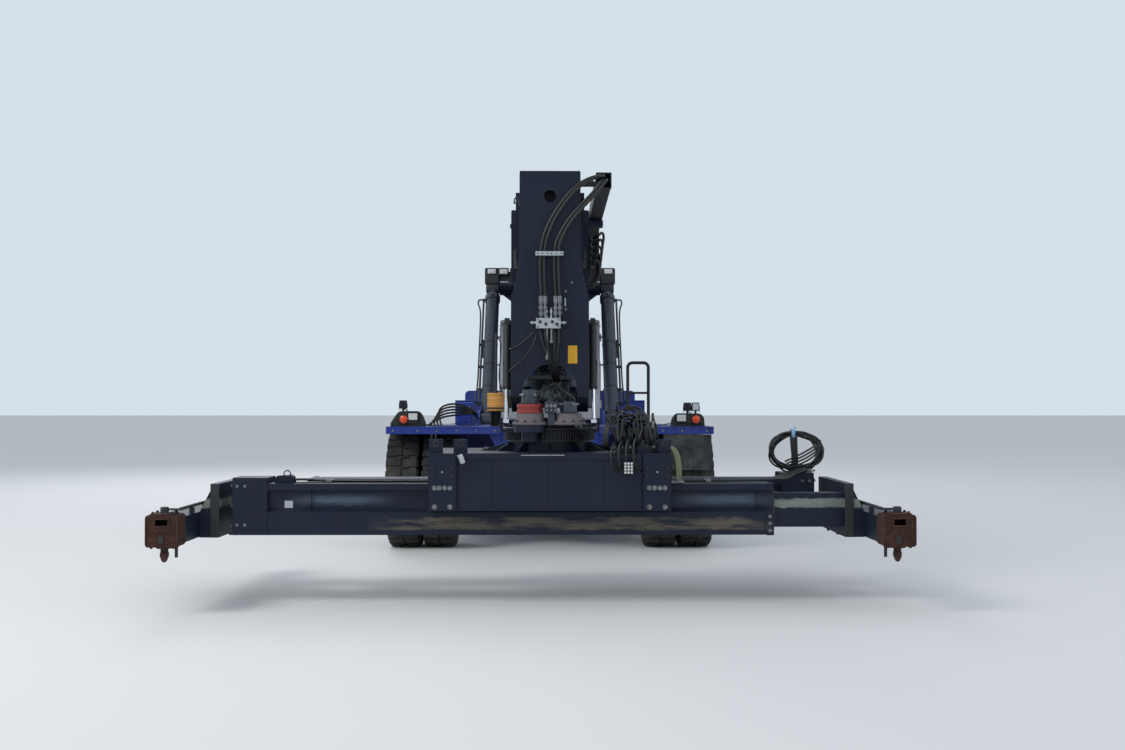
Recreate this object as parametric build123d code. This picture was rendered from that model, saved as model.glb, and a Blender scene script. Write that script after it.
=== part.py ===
from build123d import *
from math import cos, hypot, pi, radians, sin
import os

# A light container reach stacker. Lengths are in millimetres.
# X is across the machine, Y runs from the spreader to the counterweight, Z is up.
# The model is laid out from the middle of the drive axle on the ground,
# and every piece is moved at export so that the origin is under the middle.

# Tyres and axles
tyre_diameter = 1380.0
tyre_width = 385.0
rim_diameter = 624.0
rim_wall = 14.0
lug_count = 16
wall_sides = 18
lug_height = 22.0
dual_pitch = 410.0
drive_track = 2980.0
steer_track = 2600.0
wheelbase = 5400.0
axle_height = tyre_diameter / 2
kingpin_x = 960.0
kingpin_radius = 38.0
pin_fit = 0.3
running_gap = 8.0
seat_gap = 0.3

# Frame
rail_outside = 560.0
rail_plate = 30.0
frame_top = 1400.0
nose_y = -650.0
frame_rear = wheelbase + 880
rail_low = 640.0
rail_over_axle = 940.0
axle_beam_radius = 150.0

# Boom
boom_pivot = (wheelbase - 600, 2800.0)
boom_pin_radius = 70.0
outer_width = 740.0
outer_low = 2930.0
outer_high = 3630.0
outer_wall = 12.0
outer_front = -2400.0
outer_rear = boom_pivot[0] + 450
collar_length = 260.0
collar_thick = 20.0
grow_clear = 60.0
duct_low = 3560.0
duct_high = 3690.0
inner_width = 620.0
inner_low = 2990.0
inner_high = 3570.0
inner_wall = 12.0
inner_rear = boom_pivot[0] - 750
inner_front = -3900.0
pad_length = 240.0

# Boom head: the tilt pin, the front plate and the arch between its legs
head_front = -4450.0
head_plate = 25.0
head_top = 3700.0
head_half = 262.0
head_leg_outside = 335.0
head_leg_inside = 235.0
head_flare_high = 2880.0
head_flare_low = 2560.0
head_arch_spring = 1800.0
head_eye = (0.0, 3480.0, 60.0)
hose_radius = 17.5
tilt_pin = (-4180.0, 1740.0)
tilt_pin_radius = 50.0
tilt_boss_radius = 130.0

# Lift cylinders
cylinder_x = 800.0
cylinder_foot = (1330.0, 1450.0)
cylinder_top = (2900.0, 3300.0)
barrel_radius = 92.0
lift_rod_radius = 62.0
eye_radius = 108.0
eye_width = 170.0
eye_pin_radius = 46.0
ear_plate = 30.0

# Slewing gear
rotator_y = tilt_pin[0]
ring_radius = 402.0
ring_low = 1354.0
ring_high = 1440.0
tooth_count = 96
tooth_height = 18.0
turret_low = ring_high + seat_gap
turret_plate_top = 1500.0
damper_x = 378.0
damper_top = (-4200.0, 2400.0)
damper_foot = (-4410.0, 1525.0)
damper_barrel_radius = 34.0
damper_rod_radius = 16.0
damper_barrel_length = 600.0
damper_eye_width = 44.0
damper_pin_radius = 18.0

# Spreader
lock_pitch_x = 5853.0
lock_pitch_y = 2259.0
sideshift_rest = -145.0
sideshift_travel = 800.0
telescope_travel = 3066.0
tube_pitch = 780.0
tube_half = 170.0
tube_web_half = 128.0
tube_low = 580.0
tube_box_top = 770.0
tube_flange_low = 955.0
tube_high = 1010.0
tube_wall = 12.0
tube_open_end = 2030.0
tube_closed_end = 2520.0
beam_half = 100.0
beam_low = 640.0
beam_high = 925.0
beam_wall = 12.0
beam_inner_end = 2000.0
end_beam_width = 260.0
end_beam_low = 545.0
end_beam_high = 800.0
corner_overhang = 91.0
lock_tip = 420.0
coil_radius = 150.0
coil_thick = 90.0

# Cab
cab_half = 700.0
cab_length = 1280.0
cab_rear = boom_pivot[0] - 620
cab_front = cab_rear - cab_length
cab_floor = 1450.0
cab_roof = 2860.0
cab_wall = 40.0
cab_nose_lean = 90.0
seat_front = cab_front + 530

# Deck, rear and sides
deck_top = 1422.0
deck_plate = 12.0
deck_half = 1860.0
deck_front = -750.0
deck_rear = 800.0
deck_lip = 82.0
rear_end = frame_rear + 820
rear_half = 1400.0
tank_half = 1450.0
tank_front = 1700.0
tank_rear = wheelbase - 1050
engine_front = wheelbase + 20
tow_low = 760.0
tow_high = 1020.0
tow_ear = 60.0
tow_bore_radius = 26.0

# Where the origin lies in the layout above
front_end = rotator_y - lock_pitch_y / 2 - corner_overhang
origin = Vector(sideshift_rest, (front_end + rear_end) / 2, 0)


def block(x, y, z):
    size = [high - low for low, high in (x, y, z)]
    middle = [(low + high) / 2 for low, high in (x, y, z)]
    return Pos(*middle) * Box(*size)


def face_of(plane, points, radius):
    if radius:
        return plane * make_face(FilletPolyline(*points, radius=radius, close=True))
    return plane * make_face(Polyline(*points, close=True))


# A plate square to X, from its (y, z) outline
def plate_x(points, x, radius=0):
    return extrude(face_of(Plane.YZ.offset(x[0]), points, radius), amount=x[1] - x[0])


# A plate square to Y, from its (x, z) outline
def plate_y(points, y, radius=0):
    return extrude(face_of(Plane.XZ.offset(-y[1]), points, radius), amount=y[1] - y[0])


# A plate square to Z, from its (x, y) outline
def plate_z(points, z, radius=0):
    return extrude(face_of(Plane.XY.offset(z[0]), points, radius), amount=z[1] - z[0])


def bar(start, end, radius, bore=0):
    way = Vector(*end) - Vector(*start)
    section = Circle(radius) - Circle(bore) if bore else Circle(radius)
    return extrude(Plane(origin=start, z_dir=way) * section, amount=way.length)


def disc_x(x, y, z, radius, bore=0):
    return bar((x[0], y, z), (x[1], y, z), radius, bore)


def disc_z(x, y, z, radius, bore=0):
    return bar((x, y, z[0]), (x, y, z[1]), radius, bore)


def both_sides(shape):
    return [shape, mirror(shape, Plane.YZ)]


# A round pipe or hose through points, its corners rounded
def pipe(points, radius, bend):
    path = FilletPolyline(*points, radius=bend)
    return sweep(Plane(origin=path @ 0, z_dir=path % 0) * Circle(radius), path=path)


# An eight-sided hose through points, mitred at each one
def faceted_hose(points, radius):
    path = Polyline(*points)
    section = Plane(origin=path @ 0, z_dir=path % 0) * RegularPolygon(radius, 8)
    return sweep(section, path=path, transition=Transition.RIGHT)


# Solids that stand apart in one piece's file
def group(shapes):
    return Compound([solid for shape in shapes for solid in shape.solids()])


def fused(shapes):
    total = shapes[0]
    for shape in shapes[1:]:
        total = total + shape
    return total


# Wheels

# A flat-sided outline whose flats lie at the radius, one flat at the bottom
def flat_sided(radius, count, turn=0.0):
    corner = radius / cos(pi / count)
    angles = [2 * pi * (index + 0.5) / count - pi / 2 + turn for index in range(count)]
    return [(corner * cos(angle), corner * sin(angle)) for angle in angles]


# Lugs and the gaps between them, as one closed outline
def lug_outline(turn):
    pitch = 2 * pi / lug_count
    tip = tyre_diameter / 2
    root = tyre_diameter / 2 - lug_height
    points = []
    for index in range(lug_count):
        middle = index * pitch - pi / 2 + turn
        for radius, share in ((root, -0.42), (tip, -0.33), (tip, 0.33), (root, 0.42)):
            angle = middle + share * pitch
            points.append((radius * cos(angle), radius * sin(angle)))
    return points


def tyre(x, y):
    half = tyre_width / 2
    tread_half = half - 34
    rib_half = tread_half - 62
    root = tyre_diameter / 2 - lug_height
    bead_half = half - 45
    wall_middle = (rim_diameter / 2 + tyre_diameter / 2) / 2
    pieces = [plate_x(flat_sided(tyre_diameter / 2, 2 * lug_count), (-rib_half, rib_half))]
    for side in (-1, 1):
        turn = 0 if side > 0 else pi / lug_count
        pieces.append(plate_x(lug_outline(turn), sorted((side * rib_half, side * tread_half))))
        # half width, radius of each edge of the sidewall
        rings = ((tread_half, root), (half, wall_middle + 40), (bead_half, rim_diameter / 2 + seat_gap))
        for (inner_x, inner_radius), (outer_x, outer_radius) in zip(rings, rings[1:]):
            low, high = sorted(((side * inner_x, inner_radius), (side * outer_x, outer_radius)))
            faces = [face_of(Plane.YZ.offset(place), flat_sided(radius, wall_sides), 0)
                     for place, radius in (low, high)]
            pieces.append(loft(faces, ruled=True))
    bore = plate_x(flat_sided(rim_diameter / 2 + seat_gap, wall_sides), (-half - 5, half + 5))
    return Pos(x, y, axle_height) * (fused(pieces) - bore)


# One barrel under all the tyres that stand side by side
def rim_barrel(places, y):
    half = tyre_width / 2 - 45
    seat = rim_diameter / 2
    span = (min(places) - half, max(places) + half)
    barrel = disc_x(span, y, axle_height, seat, seat - rim_wall)
    lips = [disc_x((x + side * half - 7, x + side * half + 7), y, axle_height, seat, seat - rim_wall - 12)
            for x in places for side in (-1, 1)]
    return [barrel] + lips


def drive_wheel_parts(side):
    middle = side * drive_track / 2
    places = [middle - dual_pitch / 2, middle + dual_pitch / 2]
    tyres = group([tyre(x, 0) for x in places])
    hub_inner = side * (drive_track / 2 - 425)
    hub_outer = side * (drive_track / 2 + 250)
    pieces = rim_barrel(places, 0)
    pieces.append(disc_x(sorted((hub_inner, hub_outer)), 0, axle_height, 185))
    pieces.append(disc_x((middle - 20, middle + 20), 0, axle_height, rim_diameter / 2 - 4))
    hub = fused(pieces)
    spindle_end = side * (drive_track / 2 - 90)
    hub = hub - disc_x(sorted((hub_inner - side, spindle_end)), 0, axle_height, 90 + pin_fit)
    cover = disc_x(sorted((hub_outer, hub_outer + side * 30)), 0, axle_height, 120)
    return hub + cover, tyres


def steer_wheel_parts(side):
    middle = side * steer_track / 2
    rubber = tyre(middle, wheelbase)
    disc_x0 = middle + side * 40
    hub_inner = middle - side * 110
    hub_outer = middle + side * 130
    pieces = rim_barrel([middle], wheelbase)
    pieces.append(disc_x((disc_x0 - 12, disc_x0 + 12), wheelbase, axle_height, rim_diameter / 2 - 4))
    pieces.append(disc_x(sorted((hub_inner, hub_outer)), wheelbase, axle_height, 130))
    hub = fused(pieces)
    bore = disc_x(sorted((hub_inner - side, middle + side * 80)), wheelbase, axle_height, 55 + pin_fit)
    return hub - bore, rubber


def knuckle(side):
    x = side * kingpin_x
    ear = 78.0
    web = (side * (kingpin_x + ear + 6), side * (kingpin_x + ear + 36))
    rows = ((500.0, 560.0), (820.0, 880.0))
    pieces = [disc_z(x, wheelbase, z, ear) for z in rows]
    pieces += [block(sorted((x, web[1])), (wheelbase - 60, wheelbase + 60), z) for z in rows]
    pieces.append(block(sorted(web), (wheelbase - 60, wheelbase + 60), (rows[0][0], rows[1][1])))
    pieces.append(disc_z(x, wheelbase, (rows[0][0], rows[1][1]), kingpin_radius))
    spindle_end = side * (steer_track / 2 + 75)
    pieces.append(disc_x(sorted((web[1], spindle_end)), wheelbase, axle_height, 55))
    arm = plate_z([(x, wheelbase), (x + side * 60, wheelbase + 40), (x - side * 10, wheelbase + 260),
                   (x - side * 70, wheelbase + 250)], (rows[0][0], rows[0][0] + 30))
    pieces.append(arm)
    return fused(pieces)


def drive_axle():
    end = drive_track / 2 - 425 - running_gap
    beam = disc_x((-end, end), 0, axle_height, axle_beam_radius)
    differential = Pos(0, 0, axle_height) * Sphere(265)
    nose = bar((0, 0, axle_height), (0, 420, axle_height), 130)
    spindles = disc_x((-drive_track / 2 + 95, drive_track / 2 - 95), 0, axle_height, 90)
    brakes = [disc_x((x, x + 90), 0, axle_height, 200) for x in (-end, end - 90)]
    pads = [block(sorted((side * 380, side * rail_outside)), (-170, 170), (axle_height, rail_over_axle))
            for side in (-1, 1)]
    return fused([beam, differential, nose, spindles] + brakes + pads)


def steer_axle():
    eye = 75.0
    beam_end = kingpin_x - eye + 15
    beam = block((-beam_end, beam_end), (wheelbase - 110, wheelbase + 110),
                 (axle_height - 90, axle_height + 110))
    eyes = [disc_z(side * kingpin_x, wheelbase, (570, 810), eye) for side in (-1, 1)]
    arms = [block(sorted((side * (kingpin_x - 260), side * kingpin_x)), (wheelbase - 60, wheelbase + 60),
                  (590, 790)) for side in (-1, 1)]
    saddle = block((-240, 240), (wheelbase - 150, wheelbase + 150), (axle_height + 110, 1000))
    cylinder = disc_x((-330, 330), wheelbase + 190, axle_height, 60)
    rods = disc_x((-520, 520), wheelbase + 190, axle_height, 28)
    clamp = [block((x, x + 60), (wheelbase + 100, wheelbase + 190), (axle_height - 50, axle_height + 50))
             for x in (-300, 240)]
    solid = fused([beam, saddle, cylinder, rods] + eyes + arms + clamp)
    for side in (-1, 1):
        solid = solid - disc_z(side * kingpin_x, wheelbase, (560, 820), kingpin_radius + pin_fit)
    return solid


# Frame

def chassis_frame():
    rail = plate_x([
        (nose_y, rail_over_axle), (nose_y, frame_top), (frame_rear, frame_top), (frame_rear, 1000),
        (wheelbase - 620, 1000), (wheelbase - 920, rail_low), (860, rail_low), (560, rail_over_axle)],
        (rail_outside - rail_plate, rail_outside), radius=60)
    tower_top = boom_pivot[1] + 240
    tower = plate_x([
        (cab_rear - 10, frame_top - 200), (boom_pivot[0] - 250, tower_top), (boom_pivot[0] + 250, tower_top),
        (wheelbase + 360, frame_top - 200)], (rail_outside - rail_plate, rail_outside), radius=190)
    boss = disc_x((rail_outside, rail_outside + 30), *boom_pivot, 140)
    side = rail + tower + boss
    side = side - disc_x((rail_outside - rail_plate - 5, rail_outside + 40), *boom_pivot,
                         boom_pin_radius + pin_fit)
    inside = rail_outside - rail_plate
    # across the frame: y from, y to, z from, z to
    members = (
        (nose_y, nose_y + 30, rail_over_axle, frame_top - 24),
        (nose_y, cab_rear, frame_top - 24, frame_top),
        (520, 560, rail_over_axle, frame_top - 24),
        (1180, 1480, 1000, 1200),
        (2500, 2600, rail_low + 20, 900),
        (cab_rear + 120, cab_rear + 220, rail_low + 20, 1200),
        (wheelbase - 150, wheelbase + 150, 1000, 1060),
        (wheelbase + 650, wheelbase + 750, 1000, 1060),
        (frame_rear - 30, frame_rear, 1060, frame_top))
    pieces = both_sides(side) + [block((-inside, inside), (y0, y1), (z0, z1)) for y0, y1, z0, z1 in members]
    foot_y, foot_z = cylinder_foot
    gap = eye_width / 2 + running_gap
    ear = plate_x([(foot_y - 250, 1000), (foot_y - 150, foot_z + 150), (foot_y + 150, foot_z + 150),
                   (foot_y + 230, 1000)], (cylinder_x - gap - ear_plate, cylinder_x - gap), radius=130)
    ears = [ear, Pos(2 * gap + ear_plate, 0, 0) * ear]
    carrier = block((rail_outside, cylinder_x + gap + ear_plate), (1180, 1480), (1000, 1200))
    pin = disc_x((cylinder_x - gap - ear_plate - 15, cylinder_x + gap + ear_plate + 15), foot_y, foot_z,
                 eye_pin_radius)
    for shape in ears + [carrier, pin]:
        pieces += both_sides(shape)
    # slide rails that carry the cab
    for side in (-1, 1):
        pieces.append(block(sorted((side * 430, side * 490)), (cab_front - 140, cab_rear), (frame_top, cab_floor)))
    return fused(pieces)


def front_deck():
    inner = rail_outside
    outline = [(inner, deck_front), (deck_half, deck_front), (deck_half, deck_rear), (tank_half, deck_rear),
               (tank_half, 1650), (970, 1650), (970, deck_rear), (inner, deck_rear)]
    top = plate_z(outline, (deck_top - deck_plate, deck_top))
    low = deck_top - deck_lip
    lip = block((inner, deck_half), (deck_front, deck_front + deck_plate), (low, deck_top))
    edge = block((deck_half - deck_plate, deck_half), (deck_front, deck_rear), (deck_top - 27, deck_top))
    rear = block((inner, deck_half), (deck_rear - deck_plate, deck_rear), (900, deck_top))
    top_end = (1200, 1600)
    locker = block((970, 1210), top_end, (deck_top - deck_plate, 1720))
    gusset = plate_y([(inner, 1190), (inner, deck_top - deck_plate), (700, deck_top - deck_plate),
                      (700, low), (620, 1190)], (-640, -616))
    return group(both_sides(fused([top, lip, edge, rear, gusset, locker])))


# Black head-lamp housings on the deck's front corners, with the work lamps on top of them
def lamp_housings():
    y = (deck_front + 40, deck_front + 190)
    low = deck_top + seat_gap
    # x of the foot's two ends, x of the top's two ends, top, work lamps' middles
    rows = (((-1817, -1417), (-1737, -1474), 1600, (-1676,)), ((1380, 1766), (1420, 1737), 1574, (1571, 1664)))
    pieces = []
    for foot, top, high, lamps in rows:
        housing = plate_y([(foot[0], low), (foot[1], low), (top[1], high), (top[0], high)], y, radius=30)
        for x in lamps:
            stem = disc_z(x, y[0] + 75, (high - 20, high + 30), 10)
            lamp = block((x - 46, x + 46), (y[0] + 40, y[0] + 110), (high + 20, high + 125))
            housing = housing + stem + lamp
        pieces.append(housing)
    return group(pieces)


# The ochre canister on its stand, before the boom's left
def canister():
    x, y = -622.0, -500.0
    low = deck_top + seat_gap
    stand = block((x - 70, x + 57), (y - 60, y + 60), (low, 1600))
    drum = disc_z(x, y, (1600, 1806), 103)
    stem = disc_z(x, y, (1806, 2500), 17)
    return fused([stand, drum, stem])


def mud_flap():
    return block((1290, deck_half - 25), (deck_front + deck_plate, deck_front + deck_plate + 8),
                 (930, deck_top - deck_plate))


def counterweight():
    outline = [(-rear_half, frame_rear), (rear_half, frame_rear), (rear_half, rear_end), (-rear_half, rear_end)]
    body = plate_z(outline, (620, 1900))
    uprights = body.edges().filter_by(Axis.Z).sort_by(Axis.Y)[-2:]
    body = fillet(uprights, 320)
    body = fillet(body.faces().sort_by(Axis.Z)[-1].edges().sort_by(Axis.Y)[1:], 70)
    # the towing jaw: two ears with room under, between and over them
    for low, high in ((610, tow_low), (tow_low + tow_ear, tow_high - tow_ear), (tow_high, tow_high + 260)):
        body = body - block((-150, 150), (rear_end - 200, rear_end + 10), (low, high))
    return body - disc_z(0, rear_end - 90, (tow_low - 5, tow_high + 5), tow_bore_radius)


def engine_cover():
    wall = 16.0
    slope = (engine_front + 180, frame_rear - 130)
    high = 2300.0
    outer = [(engine_front, frame_top), (engine_front, 1960), (slope[0], high), (slope[1], high),
             (frame_rear, 2200), (frame_rear, frame_top)]
    inner = [(engine_front + wall, frame_top), (engine_front + wall, 1960), (slope[0] + wall, high - wall),
             (slope[1] - wall, high - wall), (frame_rear - wall, 2200 - wall), (frame_rear - wall, frame_top)]
    half = rail_outside - rail_plate - 10
    cover = plate_x(outer, (-half, half)) - plate_x(inner, (-half + wall, half - wall))
    for z in range(1560, 2220, 60):
        cover = cover - block((-half - 5, half + 5), (slope[0] + 130, slope[1]), (z, z + 26))
    pipe_y = slope[1] - 130
    stack = disc_z(330, pipe_y, (high, 2760), 55, 50)
    return cover + stack


def engine_block():
    return block((-370, 370), (engine_front + 40, frame_rear - 90), (1060, 1920))


def side_tanks():
    left = block((-tank_half, -rail_outside), (tank_front, tank_rear), (720, frame_top))
    right = block((rail_outside, tank_half), (tank_front, tank_rear), (720, frame_top))
    rounded = []
    for tank, outside in ((left, 0), (right, -1)):
        face = tank.faces().sort_by(Axis.X)[outside]
        rounded.append(fillet(face.edges(), 60))
    return group(rounded)


def access_steps():
    x = (1010.0, 1410.0)
    rows = (470.0, 760.0, 1050.0)
    sides = [plate_x([(900, 420), (900, deck_top - deck_plate), (1560, deck_top - deck_plate), (1560, 420)],
                     (edge, edge + 16)) for edge in (x[0], x[1] - 16)]
    window = [plate_x([(960, 520), (960, 1340), (1500, 1340), (1500, 520)], (edge - 2, edge + 18), radius=60)
              for edge in (x[0], x[1] - 16)]
    treads = [block((x[0] + 16, x[1] - 16), (920, 1540), (z, z + 30)) for z in rows]
    frames = [side - hole for side, hole in zip(sides, window)]
    return fused(frames + treads)


def handrail():
    post_x = (960.0, 1240.0)
    y = 960.0
    high = 2200.0
    base = deck_top
    route = [(post_x[0] + 20, y, base), (post_x[0] + 20, y, high), (post_x[1], y, high), (post_x[1], y, base)]
    return pipe(route, 20, 60)


# Cab

def cab_outline(inset):
    return [(cab_front + inset, cab_floor + inset), (cab_front + inset, 2050),
            (cab_front + cab_nose_lean + inset, cab_roof - inset), (cab_rear - inset, cab_roof - inset),
            (cab_rear - inset, cab_floor + inset)]


door_opening = ((cab_front + 130, cab_front + 1010), (cab_floor + 40, cab_roof - 110))
door_gap = 6.0


def cab_frame():
    body = plate_x(cab_outline(0), (-cab_half, cab_half), radius=40)
    room = plate_x(cab_outline(cab_wall), (-cab_half + cab_wall, cab_half - cab_wall), radius=20)
    shell = body - room
    for window in window_cuts().values():
        shell = shell - window
    y, z = door_opening
    shell = shell - block((cab_half - 60, cab_half + 5), y, z)
    hinges = [disc_z(cab_half + 14, y[0] - 14, (level, level + 60), 12) for level in hinge_levels]
    leaves = [block((cab_half, cab_half + 14), (y[0] - 40, y[0] - 14), (level, level + 60))
              for level in hinge_levels]
    return fused([shell] + hinges + leaves)


hinge_levels = (1620.0, 2560.0)


def window_cuts():
    depth = cab_wall + 4
    front = block((-cab_half + 80, cab_half - 80), (cab_front - 5, cab_front + depth + 30), (1640, 2040))
    y, z = door_opening
    return {
        "front_low": front,
        "front_high": block((-cab_half + 80, cab_half - 80), (cab_front - 5, cab_front + 160), (2070, 2740)),
        "left": block((-cab_half - 5, -cab_half + depth), y, (1900, 2740)),
        "rear": block((-cab_half + 120, cab_half - 120), (cab_rear - depth, cab_rear + 5), (1950, 2740)),
    }


def cab_glass():
    wall = cab_wall / 2
    lean = cab_nose_lean / (cab_roof - 2050)
    upper = [(cab_front + 14 + lean * 20, 2070), (cab_front + 14 + lean * 690, 2740),
             (cab_front + 22 + lean * 690, 2740), (cab_front + 22 + lean * 20, 2070)]
    y, z = door_opening
    panes = [
        block((-cab_half + 80, cab_half - 80), (cab_front + wall - 4, cab_front + wall + 4), (1640, 2040)),
        plate_x(upper, (-cab_half + 80, cab_half - 80)),
        block((-cab_half + wall - 4, -cab_half + wall + 4), y, (1900, 2740)),
        block((-cab_half + 120, cab_half - 120), (cab_rear - wall - 4, cab_rear - wall + 4), (1950, 2740))]
    return group(panes)


def cab_door():
    (y0, y1), (z0, z1) = door_opening
    x = (cab_half - cab_wall, cab_half)
    panel = block(x, (y0 + door_gap, y1 - door_gap), (z0 + door_gap, z1 - door_gap))
    window = block((x[0] - 5, x[1] + 5), (y0 + 80, y1 - 80), (1900, z1 - 80))
    straps = [block((cab_half, cab_half + 14), (y0 - 14, y0 + 60), (level + 60.5, level + 112))
              for level in hinge_levels]
    knuckles = [disc_z(cab_half + 14, y0 - 14, (level + 60.5, level + 112), 12) for level in hinge_levels]
    handle = block((cab_half, cab_half + 30), (y1 - 150, y1 - 110), (1760, 1880))
    return fused([panel - window, handle] + straps + knuckles)


def cab_door_glass():
    (y0, y1), (z0, z1) = door_opening
    middle = cab_half - cab_wall / 2
    return block((middle - 4, middle + 4), (y0 + 80, y1 - 80), (1900, z1 - 80))


def operator_seat():
    floor = cab_floor + cab_wall
    pedestal = block((-170, 170), (seat_front + 70, seat_front + 430), (floor, floor + 250))
    return pedestal


def seat_cushions():
    low = cab_floor + cab_wall + 250 + seat_gap
    cushion = block((-250, 250), (seat_front, seat_front + 500), (low, low + 130))
    back = block((-250, 250), (seat_front + 400, seat_front + 500), (low + 130, low + 760))
    cushion = fillet((cushion + back).edges().filter_by(Axis.X), 25)
    return cushion


def cab_controls():
    floor = cab_floor + cab_wall
    hub = (0, seat_front - 146, 2186)
    foot_y = hub[1] - 159
    foot = block((-60, 60), (foot_y - 65, foot_y + 65), (floor, floor + 50))
    column = bar((0, foot_y, floor + 20), hub, 35)
    way = Plane(origin=hub, z_dir=(0, 160, 680))
    wheel = way * Torus(190, 15)
    spoke = way * Box(380, 40, 14)
    console = block((330, 470), (seat_front - 10, seat_front + 450), (floor, floor + 480))
    return group([fused([foot, column, wheel, spoke]), console])


# Boom

def box_tube(width, low, high, front, rear, wall):
    outer = block((-width / 2, width / 2), (front, rear), (low, high))
    return outer - block((-width / 2 + wall, width / 2 - wall), (front - 5, rear + 5), (low + wall, high - wall))


def outer_boom():
    tube = box_tube(outer_width, outer_low, outer_high, outer_front, outer_rear, outer_wall)
    grow = collar_thick
    collar = block((-outer_width / 2 - grow, outer_width / 2 + grow), (outer_front, outer_front + collar_length),
                   (outer_low - grow, outer_high + grow))
    collar = collar - block((-outer_width / 2, outer_width / 2), (outer_front - 5, outer_front + collar_length + 5),
                            (outer_low, outer_high))
    half, low, high = outer_width / 2 - outer_wall, outer_low + outer_wall, outer_high - outer_wall
    bore = (inner_width / 2 + seat_gap, inner_low - seat_gap, inner_high + seat_gap)
    y = (outer_front, outer_front + pad_length)
    pads = block((-half, half), y, (low, high)) - block((-bore[0], bore[0]), (y[0] - 5, y[1] + 5), bore[1:])
    back = block((-half, half), (outer_rear - 20, outer_rear), (low, high))
    pivot_y, pivot_z = boom_pivot
    lug_top = outer_low + outer_wall
    lug = plate_x([(pivot_y - 520, lug_top), (pivot_y - 160, pivot_z - 170), (pivot_y + 160, pivot_z - 170),
                   (outer_rear, lug_top)], (outer_width / 2 - 70, outer_width / 2), radius=120)
    tube_half_length = rail_outside - rail_plate - running_gap
    pivot_tube = disc_x((-tube_half_length, tube_half_length), pivot_y, pivot_z, 115)
    pin = disc_x((-rail_outside - 25, rail_outside + 25), pivot_y, pivot_z, boom_pin_radius)
    pieces = [tube, collar, pads, back, pivot_tube, pin] + both_sides(lug)
    top_y, top_z = cylinder_top
    arm_end = cylinder_x - eye_width / 2 - running_gap - 2
    arm = disc_x((outer_width / 2, arm_end), top_y, top_z, 95)
    web = plate_y([(outer_width / 2, outer_low + 60), (outer_width / 2, top_z + 160), (arm_end, top_z + 60),
                   (arm_end, top_z - 60)], (top_y - 20, top_y + 20))
    for shape in (arm, web):
        pieces += both_sides(shape)
    # the saddle that the hose duct slides over
    saddle_x = (outer_width / 2, outer_width / 2 + grow + 150)
    saddle_y = (outer_front + 20, outer_front + 200)
    pieces.append(block(saddle_x, saddle_y, (duct_low - running_gap - 60, duct_low - running_gap)))
    return fused(pieces)


# Steel pipes along the boom's right side, held by clamps
def boom_pipes():
    side = outer_width / 2 + seat_gap
    run = (outer_front + 30, cylinder_top[0] - 520)
    pieces = []
    for z in (3080.0, 3150.0, 3220.0, 3290.0, 3360.0):
        pieces.append(faceted_hose([(side + grow_clear, run[0] - 10, z), (side + grow_clear, run[1], z)], 21))
    clamp_rows = (run[0] + 10, -900.0, 300.0, 1300.0, run[1] - 60)
    for y in clamp_rows:
        reach = collar_thick + seat_gap if y < outer_front + collar_length else 0
        pieces.append(block((side + reach, side + grow_clear + 26), (y, y + 50), (3040, 3400)))
    edge = side + 34
    plate = plate_y([(edge, 2900), (edge, 3480), (edge + 96, 3480), (edge + 96, 3080), (edge + 40, 2900)],
                    (run[0] - 20, run[0]))
    return fused([plate] + pieces)


def inner_boom():
    tube = box_tube(inner_width, inner_low, inner_high, inner_front, inner_rear, inner_wall)
    half = outer_width / 2 - outer_wall - seat_gap
    low, high = outer_low + outer_wall + seat_gap, outer_high - outer_wall - seat_gap
    y = (inner_rear - pad_length, inner_rear)
    pads = block((-half, half), y, (low, high))
    hole = block((-inner_width / 2, inner_width / 2), (y[0] - 5, y[1] + 5), (inner_low, inner_high))
    return tube + (pads - hole)


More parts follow.
